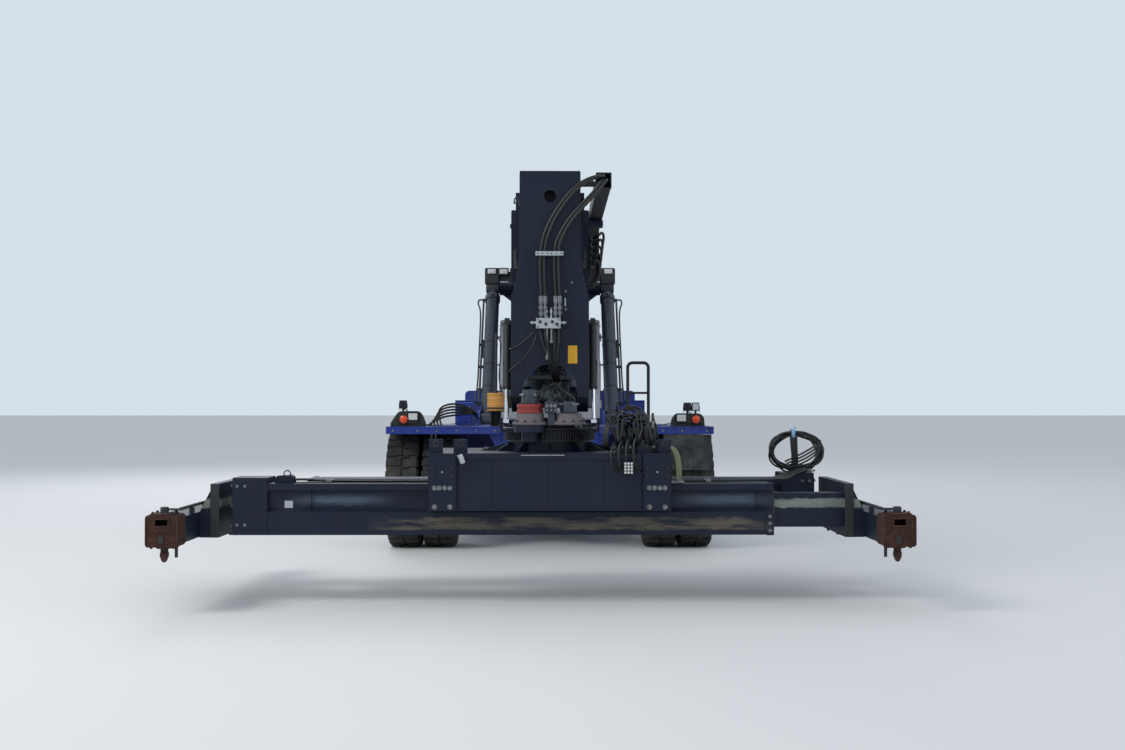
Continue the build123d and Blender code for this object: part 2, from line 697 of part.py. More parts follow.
def boom_head():
    flange = block((-inner_width / 2, inner_width / 2), (inner_front - 30, inner_front), (inner_low, inner_high + 20))
    edge = [(-head_half, head_top), (head_half, head_top), (head_half, head_flare_high),
            (head_leg_outside, head_flare_low), (head_leg_outside, tilt_pin[1]),
            (-head_leg_outside, tilt_pin[1]), (-head_leg_outside, head_flare_low), (-head_half, head_flare_high)]
    front = plate_y(edge, (head_front, head_front + head_plate))
    arch = bar((0, head_front - 5, head_arch_spring), (0, tilt_pin[0] + 400, head_arch_spring), head_leg_inside)
    under = block((-head_leg_inside, head_leg_inside), (head_front - 5, tilt_pin[0] + 400),
                  (tilt_pin[1] - 200, head_arch_spring))
    eye_x, eye_z, eye_r = head_eye
    front = front - arch - under - bar((eye_x, head_front - 5, eye_z), (eye_x, head_front + 40, eye_z), eye_r)
    back_y = inner_front
    upper = [(head_front, head_top), (back_y - 150, head_top), (back_y, inner_high + 20), (back_y, inner_low),
             (tilt_pin[0] + 190, 2560), (head_front, 2560)]
    cheek = plate_x(upper, (head_half - head_plate, head_half))
    lower = [(head_front, 2640), (tilt_pin[0] + 200, 2640), (tilt_pin[0] + 128, tilt_pin[1]), (head_front + 60, tilt_pin[1])]
    leg = plate_x(lower, (head_leg_inside, head_leg_outside))
    boss = disc_x((head_leg_inside, head_leg_outside), *tilt_pin, tilt_boss_radius)
    damper_pin = disc_x((head_leg_outside, damper_x + damper_eye_width / 2 + 8), *damper_top, damper_pin_radius)
    top = block((-head_half, head_half), (head_front, back_y - 150), (head_top - head_plate, head_top))
    rear = plate_x([(tilt_pin[0] + 165, 2000), (tilt_pin[0] + 200, 2640), (back_y, inner_low),
                    (back_y - 30, inner_low), (tilt_pin[0] + 172, 2640), (tilt_pin[0] + 137, 2000)],
                   (-head_half, head_half))
    roof = block((-head_leg_outside, head_leg_outside), (head_front, tilt_pin[0] + 165), (2035, 2060))
    crown = bar((0, head_front, head_arch_spring), (0, tilt_pin[0] + 165, head_arch_spring), head_leg_inside + 20)
    crown = crown - block((-400, 400), (head_front - 5, 0), (1000, head_arch_spring)) - arch
    shelf = block((-head_leg_outside, head_leg_outside), (head_front, tilt_pin[0] + 200), (2610, 2640))
    solid = fused([flange, front, top, rear, roof, crown, shelf] + both_sides(cheek) + both_sides(leg)
                  + both_sides(boss) + both_sides(damper_pin))
    bores = disc_x((-head_leg_outside - 5, head_leg_outside + 5), *tilt_pin, tilt_pin_radius + pin_fit)
    return solid - bores - under


def boom_lamps():
    top_y, top_z = cylinder_top
    box = block((cylinder_x - 110, cylinder_x + 95), (top_y - 440, top_y - 300), (top_z + 20, top_z + 250))
    holder = block((outer_width / 2, cylinder_x - 110), (top_y - 400, top_y - 320), (top_z + 90, top_z + 200))
    return group(both_sides(box + holder))


def hose_guide():
    x = (outer_width / 2 + collar_thick + 14, outer_width / 2 + collar_thick + 140)
    y = (head_front + 60, 400)
    z = (duct_low, duct_high)
    wall = 6.0
    duct = block(x, y, z) - block((x[0] + wall, x[1] - wall), (y[0] - 5, y[1] + 5), (z[0] + wall, z[1] - wall))
    bracket = block((head_half, x[0]), (y[0], y[0] + 120), (z[0] + 30, z[0] + 60))
    return duct + bracket


# Four hoses from the duct's mouth, through a clamp, to the fittings over the valve block
def boom_hoses():
    near = head_front - 62
    outer_way = [(432, 3654), (171, 3514), (26, 3317), (-60, 3128), (-86, 2974), (-77, 2450)]
    inner_way = [(456, 3620), (300, 3430), (154, 3274), (51, 3086), (34, 2974), (48, 2450)]
    solids = []
    for way in (outer_way, inner_way):
        for step in (0, 42):
            mouth_x = way[0][0] + step
            points = [(mouth_x, head_front + 150, way[0][1]), (mouth_x, near, way[0][1])]
            points += [(x + step, near, z) for x, z in way[1:]]
            solids.append(faceted_hose(points, hose_radius))
    clamp = block((-120, 110), (near - 30, head_front - seat_gap), (2958, 2990))
    return fused([clamp] + solids)


def valve_block():
    body = block((-120, 90), (head_front - 85, head_front), (2330, 2418))
    stand = bar((-26, head_front - 42, 2060), (-26, head_front - 42, 2330), 12)
    return body + stand


# Lift cylinders: the barrel stands on the frame, the rod reaches to the boom's arm

def along(start, end, distance):
    length = hypot(end[0] - start[0], end[1] - start[1])
    return (start[0] + (end[0] - start[0]) * distance / length,
            start[1] + (end[1] - start[1]) * distance / length)


cylinder_length = hypot(cylinder_top[0] - cylinder_foot[0], cylinder_top[1] - cylinder_foot[1])
gland_end = cylinder_length - eye_radius - 60


def lift_barrel(side):
    x = side * cylinder_x
    low = along(cylinder_foot, cylinder_top, 60)
    high = along(cylinder_foot, cylinder_top, gland_end)
    collar = along(cylinder_foot, cylinder_top, gland_end - 90)
    tube = bar((x, *low), (x, *high), barrel_radius)
    gland = bar((x, *collar), (x, *high), barrel_radius + 12)
    eye = disc_x((x - eye_width / 2, x + eye_width / 2), *cylinder_foot, eye_radius)
    bore_start = along(cylinder_foot, cylinder_top, 160)
    bore_end = along(cylinder_foot, cylinder_top, gland_end + 10)
    bore = bar((x, *bore_start), (x, *bore_end), lift_rod_radius + pin_fit)
    pin = disc_x((x - eye_width / 2 - 5, x + eye_width / 2 + 5), *cylinder_foot, eye_pin_radius + pin_fit)
    away = side * (barrel_radius + 30)
    ends = [along(cylinder_foot, cylinder_top, distance) for distance in (330, gland_end - 60)]
    line = bar((x + away, *ends[0]), (x + away, *ends[1]), 14)
    feet = [bar((x, *end), (x + away, *end), 22) for end in ends]
    return fused([tube, gland, eye, line] + feet) - bore - pin


def lift_rod(side):
    x = side * cylinder_x
    start = along(cylinder_foot, cylinder_top, 180)
    rod = bar((x, *start), (x, *cylinder_top), lift_rod_radius)
    eye = disc_x((x - eye_width / 2, x + eye_width / 2), *cylinder_top, eye_radius)
    inward = x - side * (eye_width / 2 + running_gap - 4)
    stub = disc_x(sorted((inward, x)), *cylinder_top, eye_pin_radius)
    return fused([rod, eye, stub])


# Rotator: hangs on the tilt pin and carries the slewing motors

def rotator_yoke():
    plate = disc_z(0, rotator_y, (turret_low, turret_plate_top), 385)
    turret = disc_z(0, rotator_y, (turret_plate_top, 1560), 300)
    ear_x = (head_leg_inside - 70, head_leg_inside - running_gap)
    ear = plate_x([(tilt_pin[0] - 200, turret_plate_top), (tilt_pin[0] - 95, tilt_pin[1] + 95),
                   (tilt_pin[0] + 95, tilt_pin[1] + 95), (tilt_pin[0] + 200, turret_plate_top)], ear_x, radius=85)
    pin = disc_x((ear_x[0] - 20, head_leg_outside + 4), *tilt_pin, tilt_pin_radius)
    foot_y, foot_z = damper_foot
    bracket_x = damper_x + damper_eye_width / 2 + running_gap
    bracket = block((bracket_x, bracket_x + 20), (foot_y - 40, foot_y + 40), (turret_low, foot_z + 35))
    foot = block((240, bracket_x + 20), (foot_y - 40, foot_y + 60), (turret_low, turret_low + 22))
    saddle = disc_z(*motor_place, (turret_low, turret_plate_top), 140)
    cover = disc_z(*motor_place, (ring_low + 6, turret_low), 76)
    cover = cover - disc_z(0, rotator_y, (ring_low, ring_high + 5), ring_radius + running_gap)
    pieces = [plate, turret, saddle, cover]
    for shape in (ear, pin, foot, bracket):
        pieces += both_sides(shape)
    return fused(pieces)


motor_place = (-170.0, rotator_y - 430.0)


# Tilt dampers: the barrels hang on the head, the rods reach down to the yoke

def damper_barrels():
    low = along(damper_top, damper_foot, damper_barrel_length)
    start = along(damper_top, damper_foot, 20)
    bore = along(damper_top, damper_foot, 120)
    half = damper_eye_width / 2
    tube = bar((damper_x, *start), (damper_x, *low), damper_barrel_radius)
    eye = disc_x((damper_x - half, damper_x + half), *damper_top, 40)
    hole = disc_x((damper_x - 50, damper_x + 50), *damper_top, damper_pin_radius + pin_fit)
    past = along(damper_top, damper_foot, damper_barrel_length + 5)
    barrel = tube + eye - hole - bar((damper_x, *bore), (damper_x, *past), damper_rod_radius + pin_fit)
    return group(both_sides(barrel))


def damper_rods():
    start = along(damper_top, damper_foot, 140)
    half = damper_eye_width / 2
    rod = bar((damper_x, *start), (damper_x, *damper_foot), damper_rod_radius)
    eye = disc_x((damper_x - half, damper_x + half), *damper_foot, 32)
    stub = disc_x((damper_x, damper_x + half + running_gap - 3), *damper_foot, damper_pin_radius)
    return group(both_sides(fused([rod, eye, stub])))



def slew_motor():
    x, y = motor_place
    # radius, bottom, top of the flange, gearbox, brake and motor
    stages = ((126.0, turret_plate_top, 1530.0), (112.0, 1530.0, 1610.0), (118.0, 1610.0, 1680.0),
              (78.0, 1680.0, 1830.0))
    return fused([disc_z(x, y, (low, high), radius) for radius, low, high in stages])


def slew_ring():
    points = []
    for index in range(tooth_count):
        for radius, share in ((ring_radius - tooth_height, -0.34), (ring_radius, -0.14), (ring_radius, 0.14),
                              (ring_radius - tooth_height, 0.34)):
            angle = 2 * pi * (index + share) / tooth_count
            points.append((radius * cos(angle), rotator_y + radius * sin(angle)))
    ring = plate_z(points, (ring_low + 16, ring_high - 6))
    rims = [disc_z(0, rotator_y, z, ring_radius - tooth_height - 2)
            for z in ((ring_low, ring_low + 16), (ring_high - 6, ring_high))]
    return fused([ring] + rims) - disc_z(0, rotator_y, (ring_low - 5, ring_high + 5), 300)


# Spreader carrier: turns with the ring, the spreader slides sideways in it

carrier_half = 1010.0
carrier_low = 790.0
carrier_high = 1270.0
carrier_reach = 710.0
carrier_plate = 30.0
portal_inside = 770.0


def carrier():
    low_seat = tube_high + seat_gap
    tube_face = tube_pitch / 2 + tube_half
    hook_reach = tube_pitch / 2 + tube_web_half + running_gap
    pieces = [block((-carrier_half, carrier_half), (rotator_y - carrier_reach, rotator_y + carrier_reach),
                    (carrier_high - 25, carrier_high))]
    for end in (-1, 1):
        face = sorted((rotator_y + end * carrier_reach, rotator_y + end * (carrier_reach - carrier_plate)))
        pieces.append(block((-carrier_half, carrier_half), face, (carrier_low, carrier_high)))
        for side in (-1, 1):
            span = sorted((side * portal_inside, side * carrier_half))
            proud = sorted((rotator_y + end * carrier_reach, rotator_y + end * (carrier_reach + 20)))
            pieces.append(block(span, proud, (carrier_low, carrier_high)))
            hook = sorted((rotator_y + end * hook_reach, rotator_y + end * carrier_reach))
            pieces.append(block(span, hook, (carrier_low + 10, tube_flange_low - seat_gap)))
    for side in (-1, 1):
        span = sorted((side * portal_inside, side * carrier_half))
        pieces.append(block(span, (rotator_y - carrier_reach, rotator_y + carrier_reach),
                            (low_seat, carrier_high - 25)))
    pieces.append(disc_z(0, rotator_y, (carrier_high, ring_low), 345))
    rib = plate_y([(330, ring_low), (330, carrier_high), (620, carrier_high)], (rotator_y - 15, rotator_y + 15))
    pieces += both_sides(rib)
    # x from, x to, top of each upright lug
    rows = ((-1010, -895, 1385), (-805, -690, 1385), (735, 850, 1385), (905, 1010, 1385))
    y = (rotator_y - carrier_reach + 60, rotator_y - carrier_reach + 100)
    pieces += [block((x0, x1), y, (carrier_high - 25, top)) for x0, x1, top in rows]
    return fused(pieces)


# The valve manifold on the carrier's right, a body with three rows of sections
def carrier_valves():
    low = carrier_high + seat_gap
    back = rotator_y - carrier_reach + 130
    body = block((560, 960), (back, back + 190), (low, low + 90))
    sections = [block((x, x + 52), (back + 20, back + 170), (low + 90, low + 205)) for x in range(580, 900, 66)]
    ends = [disc_z(x + 26, back + 95, (low + 205, low + 250), 20) for x in range(580, 900, 66)]
    return fused([body] + sections + ends)


def carrier_lamps():
    # x, z, how far the seat stands before the front plate
    rows = ((-729.0, 1225.0, 0.0), (650.0, 1150.0, 0.0))
    lamps = []
    for x, z, proud in rows:
        face = rotator_y - carrier_reach - proud
        lamps.append(block((x - 40, x + 40), (face - 60, face), (z - 50, z + 50)))
    return group(lamps)


# Spreader frame: two slotted tubes side by side, closed at opposite ends

def tube_outline(middle, inset):
    outside = tube_half - inset
    web = tube_web_half - inset
    return [
        (middle - outside, tube_low + inset), (middle + outside, tube_low + inset),
        (middle + outside, tube_box_top - inset), (middle + web, tube_box_top + 30 - inset),
        (middle + web, tube_flange_low + inset), (middle + outside, tube_flange_low + inset),
        (middle + outside, tube_high - inset), (middle - outside, tube_high - inset),
        (middle - outside, tube_flange_low + inset), (middle - web, tube_flange_low + inset),
        (middle - web, tube_box_top + 30 - inset), (middle - outside, tube_box_top - inset)]


def spreader_frame():
    pieces = []
    for end in (-1, 1):
        # the front tube, end = -1, is open to +X, the rear one to -X
        middle = rotator_y + end * tube_pitch / 2
        x = sorted((end * tube_closed_end, -end * tube_open_end))
        x = (x[0] + sideshift_rest, x[1] + sideshift_rest)
        tube = plate_x(tube_outline(middle, 0), x)
        room = (beam_half + seat_gap + tube_wall, beam_low - seat_gap, beam_high + seat_gap)
        closed = sideshift_rest + end * (tube_closed_end - 30)
        opened = sideshift_rest - end * (tube_open_end + 5)
        cavity = block(sorted((closed, opened)), (middle - room[0] + tube_wall, middle + room[0] - tube_wall),
                       (room[1], room[2]))
        pieces.append(tube - cavity)
        cap_x = sorted((end * tube_closed_end, end * (tube_closed_end - 290)))
        cap_x = (cap_x[0] + sideshift_rest, cap_x[1] + sideshift_rest)
        cap = block(cap_x, (middle - tube_half, middle + tube_half), (tube_low, tube_high + 50))
        cap = cap - block((cap_x[0] + 30, cap_x[1] - 30), (middle - tube_half + 30, middle + tube_half - 30),
                          (tube_low + 30, tube_high + 20)) - cavity
        pieces.append(cap)
    inside = tube_pitch / 2 - tube_half
    for x in (-1850.0, 0.0, 1850.0):
        pieces.append(block((sideshift_rest + x - 75, sideshift_rest + x + 75),
                            (rotator_y - inside, rotator_y + inside), (tube_low + 40, tube_high - 60)))
    return fused(pieces)


# The outer shape of the coil of spare hose that stands on the rear tube's closed end
def hose_coil():
    x = sideshift_rest + 2380
    middle = rotator_y + tube_pitch / 2 - 60
    low = tube_high + 50 + seat_gap
    section = Plane.XZ * Pos(coil_radius, 0) * RegularPolygon(coil_thick / 2, 8)
    ring = Pos(x, middle, low + coil_radius + coil_thick / 2) * Rot(90, 0, 0) * revolve(section, Axis.Z)
    foot = block((x - 60, x + 60), (middle - 30, middle + 30), (low, low + 30))
    return ring + foot


def telescopic_beam(side):
    # side = 1 slides in the front tube, side = -1 in the rear one
    middle = rotator_y - side * tube_pitch / 2
    centre = sideshift_rest
    lock_x = lock_pitch_x / 2
    end_inner = lock_x - end_beam_width / 2
    end_outer = lock_x + end_beam_width / 2
    upright = (end_inner - 165, end_inner - 95)
    x = sorted((centre - side * beam_inner_end, centre + side * upright[0]))
    beam = block(x, (middle - beam_half, middle + beam_half), (beam_low, beam_high))
    beam = beam - block((x[0] - 5, x[1] + 5), (middle - beam_half + beam_wall, middle + beam_half - beam_wall),
                        (beam_low + beam_wall, beam_high - beam_wall))
    span = (rotator_y - tube_pitch / 2 - tube_half, rotator_y + tube_pitch / 2 + tube_half)
    plate = block(sorted((centre + side * upright[0], centre + side * upright[1])), span, (560, tube_high))
    gussets = []
    for y in (span[0], rotator_y - 10, span[1] - 20):
        gussets.append(plate_y([(centre + side * upright[1], 560), (centre + side * upright[1], 960),
                                (centre + side * end_inner, 770), (centre + side * end_inner, 560)], (y, y + 20)))
    ends = (rotator_y - lock_pitch_y / 2 - corner_overhang, rotator_y + lock_pitch_y / 2 + corner_overhang)
    bar_x = sorted((centre + side * (end_inner), centre + side * end_outer))
    cross = block(bar_x, (ends[0] + 230, ends[1] - 230), (end_beam_low + 20, end_beam_high - 25))
    cross = cross - block((bar_x[0] + 14, bar_x[1] - 14), (ends[0] + 225, ends[1] - 225),
                          (end_beam_low + 34, end_beam_high - 39))
    pieces = [beam, plate, cross] + gussets
    for y in ((ends[0], ends[0] + 230), (ends[1] - 230, ends[1])):
        corner = plate_y([(bar_x[0], end_beam_low), (bar_x[0], end_beam_high), (bar_x[1], end_beam_high),
                          (bar_x[1], end_beam_low)], y, radius=25)
        pieces.append(corner)
    solid = fused(pieces)
    for lock_y in (rotator_y - lock_pitch_y / 2, rotator_y + lock_pitch_y / 2):
        room = block((centre + side * lock_x - 75, centre + side * lock_x + 75), (lock_y - 75, lock_y + 75),
                     (end_beam_low + 60, end_beam_high - 30))
        bore = disc_z(centre + side * lock_x, lock_y, (end_beam_low - 10, end_beam_low + 80), 32 + pin_fit)
        solid = solid - room - bore
        outward = -1 if lock_y < rotator_y else 1
        slot_y = sorted((lock_y, lock_y + outward * 200))
        solid = solid - block((centre + side * lock_x - 50, centre + side * lock_x + 50), slot_y, (715, 765))
    return solid


def twistlock(x, y):
    shaft = disc_z(x, y, (lock_tip + 75, end_beam_low + 100), 32)
    head = block((x - 29, x + 29), (y - 49, y + 49), (lock_tip + 45, lock_tip + 75))
    tip = loft([Plane.XY.offset(lock_tip + 45) * Pos(x, y) * Rectangle(58, 98),
                Plane.XY.offset(lock_tip) * Pos(x, y) * Rectangle(26, 34)])
    nut = disc_z(x, y, (end_beam_low + 60 + 1, end_beam_low + 110), 60)
    return fused([shaft, head, tip, nut])


def place(shape):
    return Pos(-origin.X, -origin.Y, -origin.Z) * shape


nodes = {
    "chassis_frame": chassis_frame(),
    "front_deck": front_deck(),
    "mud_flap": mud_flap(),
    "lamp_housings": lamp_housings(),
    "canister": canister(),
    "counterweight": counterweight(),
    "engine_cover": engine_cover(),
    "engine_block": engine_block(),
    "side_tanks": side_tanks(),
    "access_steps": access_steps(),
    "handrail": handrail(),
    "cab_frame": cab_frame(),
    "cab_glass": cab_glass(),
    "cab_door": cab_door(),
    "cab_door_glass": cab_door_glass(),
    "operator_seat": operator_seat(),
    "seat_cushions": seat_cushions(),
    "cab_controls": cab_controls(),
    "drive_axle": drive_axle(),
    "steer_axle": steer_axle(),
    "outer_boom": outer_boom(),
    "inner_boom": inner_boom(),
    "boom_head": boom_head(),
    "boom_lamps": boom_lamps(),
    "boom_pipes": boom_pipes(),
    "hose_guide": hose_guide(),
    "boom_hoses": boom_hoses(),
    "valve_block": valve_block(),
    "damper_barrels": damper_barrels(),
    "damper_rods": damper_rods(),
    "rotator_yoke": rotator_yoke(),
    "slew_motor": slew_motor(),
    "slew_ring": slew_ring(),
    "carrier": carrier(),
    "carrier_valves": carrier_valves(),
    "carrier_lamps": carrier_lamps(),
    "spreader_frame": spreader_frame(),
    "hose_coil": hose_coil(),
}
for name, side in (("left", -1), ("right", 1)):
    nodes["drive_hub_" + name], nodes["drive_tyres_" + name] = drive_wheel_parts(side)
    nodes["steer_hub_" + name], nodes["steer_tyre_" + name] = steer_wheel_parts(side)
    nodes["knuckle_" + name] = knuckle(side)
    nodes["lift_barrel_" + name] = lift_barrel(side)
    nodes["lift_rod_" + name] = lift_rod(side)
    nodes["beam_" + name] = telescopic_beam(side)
    for end, sign in (("front", -1), ("rear", 1)):
        nodes["twistlock_" + end + "_" + name] = twistlock(
            sideshift_rest + side * lock_pitch_x / 2, rotator_y + sign * lock_pitch_y / 2)

os.makedirs("parts", exist_ok=True)
for name, shape in nodes.items():
    export_step(place(shape), "parts/" + name + ".step")
print(len(nodes), "nodes")
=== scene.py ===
import math
import random
import bmesh
import bpy
from mathutils import Matrix, Vector


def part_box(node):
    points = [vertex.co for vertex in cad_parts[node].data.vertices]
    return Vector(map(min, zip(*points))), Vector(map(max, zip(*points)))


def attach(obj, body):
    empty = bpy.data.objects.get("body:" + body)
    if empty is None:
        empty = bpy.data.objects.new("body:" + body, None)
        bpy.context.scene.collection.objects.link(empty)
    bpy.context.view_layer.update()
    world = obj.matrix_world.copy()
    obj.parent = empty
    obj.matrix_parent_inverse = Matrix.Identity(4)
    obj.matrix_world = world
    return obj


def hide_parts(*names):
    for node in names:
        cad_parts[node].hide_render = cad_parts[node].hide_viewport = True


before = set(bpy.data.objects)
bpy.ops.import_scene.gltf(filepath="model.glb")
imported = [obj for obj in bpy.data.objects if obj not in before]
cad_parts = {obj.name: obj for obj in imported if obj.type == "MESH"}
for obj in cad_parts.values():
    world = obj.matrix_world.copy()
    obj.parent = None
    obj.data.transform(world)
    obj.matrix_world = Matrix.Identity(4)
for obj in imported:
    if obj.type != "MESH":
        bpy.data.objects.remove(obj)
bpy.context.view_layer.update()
print("frame loaded:", len(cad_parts), "nodes")

# The pieces below are placed from the drive axle's middle, on the ground: front is -Y, +X is the
# steps' side. The model's own origin lies elsewhere, so each piece's mesh is moved by this much.
shift = Vector((0.145, -0.84975, 0.0))


# Small helpers for meshes

def newBmesh():
    return bmesh.new()


def addBlock(bm, first, last, bevel=0.0, segments=2):
    # between two opposite corners, given in either order
    low, high = ([pick(pair) for pair in zip(first, last)] for pick in (min, max))
    size = [b - a for a, b in zip(low, high)]
    middle = [(a + b) / 2 for a, b in zip(low, high)]
    made = bmesh.ops.create_cube(bm, size=1.0)["verts"]
    bmesh.ops.scale(bm, vec=size, verts=made)
    bmesh.ops.translate(bm, vec=middle, verts=made)
    if bevel:
        edges = {edge for vert in made for edge in vert.link_edges}
        bmesh.ops.bevel(bm, geom=list(edges), offset=bevel, segments=segments, affect="EDGES",
                        profile=0.5, material=-1)
    return made


def turnTo(start, end):
    way = Vector(end) - Vector(start)
    turn = way.to_track_quat("Z", "Y").to_matrix().to_4x4()
    return Matrix.Translation((Vector(start) + Vector(end)) / 2) @ turn, way.length


def addRod(bm, start, end, radius, sides=24, radiusEnd=None, bevel=0.0):
    place, length = turnTo(start, end)
    made = bmesh.ops.create_cone(bm, cap_ends=True, segments=sides, radius1=radius,
                                 radius2=radius if radiusEnd is None else radiusEnd, depth=length)["verts"]
    if bevel:
        rims = [edge for edge in {e for v in made for e in v.link_edges}
                if len(edge.link_faces) == 2 and any(len(face.verts) > 4 for face in edge.link_faces)]
        made = list({v for v in bmesh.ops.bevel(bm, geom=rims, offset=bevel, segments=2, affect="EDGES",
                                                profile=0.5, material=-1)["verts"]} | {v for v in made
                                                    if v.is_valid})
    bmesh.ops.transform(bm, matrix=place, verts=made)
    return made


def addTurned(bm, profile, start, end, sides=32):
    # profile: (radius, distance from start) pairs, turned about the line from start to end
    place, length = turnTo(start, end)
    place = place @ Matrix.Translation((0, 0, -length / 2))
    verts = [bm.verts.new((radius, 0, along)) for radius, along in profile]
    edges = [bm.edges.new(pair) for pair in zip(verts, verts[1:])]
    spun = bmesh.ops.spin(bm, geom=verts + edges, cent=(0, 0, 0), axis=(0, 0, 1), dvec=(0, 0, 0),
                          angle=2 * math.pi, steps=sides, use_merge=True, use_duplicate=False)
    made = list({v for v in spun["geom_last"] if isinstance(v, bmesh.types.BMVert)} | set(verts))
    linked = set(made)
    grow = list(made)
    while grow:
        vert = grow.pop()
        for edge in vert.link_edges:
            other = edge.other_vert(vert)
            if other not in linked:
                linked.add(other)
                grow.append(other)
    bmesh.ops.transform(bm, matrix=place, verts=list(linked))
    return list(linked)


def addPlate(bm, outline, direction, thickness):
    # outline: corners of one flat face; the plate grows along direction
    verts = [bm.verts.new(corner) for corner in outline]
    face = bm.faces.new(verts)
    grown = bmesh.ops.extrude_face_region(bm, geom=[face])["geom"]
    moved = [v for v in grown if isinstance(v, bmesh.types.BMVert)]
    bmesh.ops.translate(bm, vec=Vector(direction).normalized() * thickness, verts=moved)
    return verts + moved


def addHexBolts(bm, places, direction, size, height):
    way = Vector(direction).normalized()
    for place in places:
        start = Vector(place)
        addRod(bm, start, start + way * height * 0.25, size * 0.62, 16)
        addRod(bm, start + way * height * 0.25, start + way * height, size * 0.5, 6)


def around(count, radius, turn=0.0):
    # equal steps round a circle, as two offsets each
    angles = [turn + index * 2 * math.pi / count for index in range(count)]
    return [(radius * math.cos(angle), radius * math.sin(angle)) for angle in angles]


def addArc(bm, middle, wide, high, radius, sides, first=0, last=12):
    # a bent rod in an upright plane across the machine, in steps of 15 degrees
    for index in range(first, last):
        start, end = (Vector(middle) + Vector((-wide * math.cos(angle), 0, high * math.sin(angle)))
                      for angle in (index * math.pi / 12, (index + 1) * math.pi / 12))
        addRod(bm, start, end, radius, sides)


def sideName(side):
    return "left" if side < 0 else "right"


# the slot that a finish belongs to, where a piece names no other and replaces nothing
usualSlots = {"dark_navy_enamel": "navy_paint", "black_chassis_enamel": "dark_paint",
              "royal_blue_enamel": "blue_paint",
              "pale_cab_enamel": "white_paint", "cast_iron_motor": "cast_iron", "rusted_steel": "cast_iron",
              "zinc_plated_bolt_steel": "aluminium", "milled_aluminium": "aluminium", "black_abs": "plastic",
              "nylon_slide_pad": "plastic", "pale_blue_tie": "plastic", "painted_hole_shade": "plastic",
              "mud_flap_rubber": "rubber", "orange_lens": "glass", "clear_lens": "glass", "red_lens": "glass",
              "screen_glass": "glass", "mirror_glass": "chrome", "woven_seat_cloth": "fabric"}


def finishPiece(name, bm, material, body, smooth=False, replaces=(), slot=None):
    bmesh.ops.remove_doubles(bm, verts=bm.verts, dist=0.00001)
    bmesh.ops.recalc_face_normals(bm, faces=bm.faces)
    bmesh.ops.translate(bm, vec=shift, verts=bm.verts)
    mesh = bpy.data.meshes.new(name)
    bm.to_mesh(mesh)
    bm.free()
    piece = bpy.data.objects.new(name, mesh)
    bpy.context.scene.collection.objects.link(piece)
    mesh.materials.append(material)
    if smooth:
        for face in mesh.polygons:
            face.use_smooth = True
        mesh.set_sharp_from_angle(angle=math.radians(32))
    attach(piece, body)
    if replaces:
        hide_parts(*replaces)
    else:
        slot = slot or usualSlots.get(material.name)
    return piece


def hosePiece(name, routes, radius, body, material=None, sides=3):
    curve = bpy.data.curves.new(name, "CURVE")
    curve.dimensions = "3D"
    curve.bevel_depth = radius
    curve.bevel_resolution = sides
    curve.resolution_u = 10
    curve.use_fill_caps = True
    for route in routes:
        spline = curve.splines.new("NURBS")
        spline.points.add(len(route) - 1)
        for point, place in zip(spline.points, route):
            point.co = (*(Vector(place) + shift), 1.0)
        spline.order_u = 3
        spline.use_endpoint_u = True
    piece = bpy.data.objects.new(name, curve)
    bpy.context.scene.collection.objects.link(piece)
    curve.materials.append(material or hoseRubber)
    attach(piece, body)


# Materials

def hexColour(text):
    parts = [int(text[i:i + 2], 16) / 255 for i in (1, 3, 5)]
    return tuple(c / 12.92 if c <= 0.04045 else ((c + 0.055) / 1.055) ** 2.4 for c in parts) + (1.0,)


def feed(node, sockets):
    # each socket takes a link, or a constant of its own
    for socket, value in sockets.items():
        if isinstance(value, bpy.types.NodeSocket):
            node.id_data.links.new(value, node.inputs[socket])
        else:
            node.inputs[socket].default_value = value


def addNode(material, kind, sockets=None, **settings):
    node = material.node_tree.nodes.new("ShaderNode" + kind)
    for key, value in settings.items():
        setattr(node, key, value)
    feed(node, sockets or {})
    return node


def newMaterial(name):
    material = bpy.data.materials.new(name)
    material.use_nodes = True
    material.node_tree.nodes.clear()
    shader = addNode(material, "BsdfPrincipled")
    addNode(material, "OutputMaterial", {"Surface": shader.outputs[0]})
    return material, shader


def objectPlace(material):
    return addNode(material, "TexCoord").outputs["Object"]


def stretch(material, where, scale):
    return addNode(material, "Mapping", {"Vector": where, "Scale": scale}).outputs[0]


def texture(material, where, kind, scale, *shape):
    names = {"Noise": ("Detail", "Roughness"), "Wave": ("Distortion", "Detail")}[kind]
    return addNode(material, "Tex" + kind, {"Vector": where, "Scale": scale,
                                            **dict(zip(names, shape))}).outputs["Fac"]


def remap(material, value, low=0.0, high=1.0, toLow=0.0, toHigh=1.0):
    return addNode(material, "MapRange", {"Value": value, "From Min": low, "From Max": high, "To Min": toLow,
                                          "To Max": toHigh}).outputs[0]


def combine(material, operation, first, second=0.0, clamp=False):
    return addNode(material, "Math", {0: first, 1: second}, operation=operation, use_clamp=clamp).outputs[0]


def distanceFrom(material, value, middle):
    return combine(material, "ABSOLUTE", combine(material, "ADD", value, -middle))


def mixTones(material, factor, first, second):
    tones = [hexColour(tone) if isinstance(tone, str) else tone for tone in (first, second)]
    return addNode(material, "Mix", {0: factor, 6: tones[0], 7: tones[1]}, data_type="RGBA").outputs[2]


def addBump(material, shader, height, strength, distance):
    bump = addNode(material, "Bump", {"Strength": strength, "Distance": distance, "Height": height})
    feed(shader, {"Normal": bump.outputs[0]})


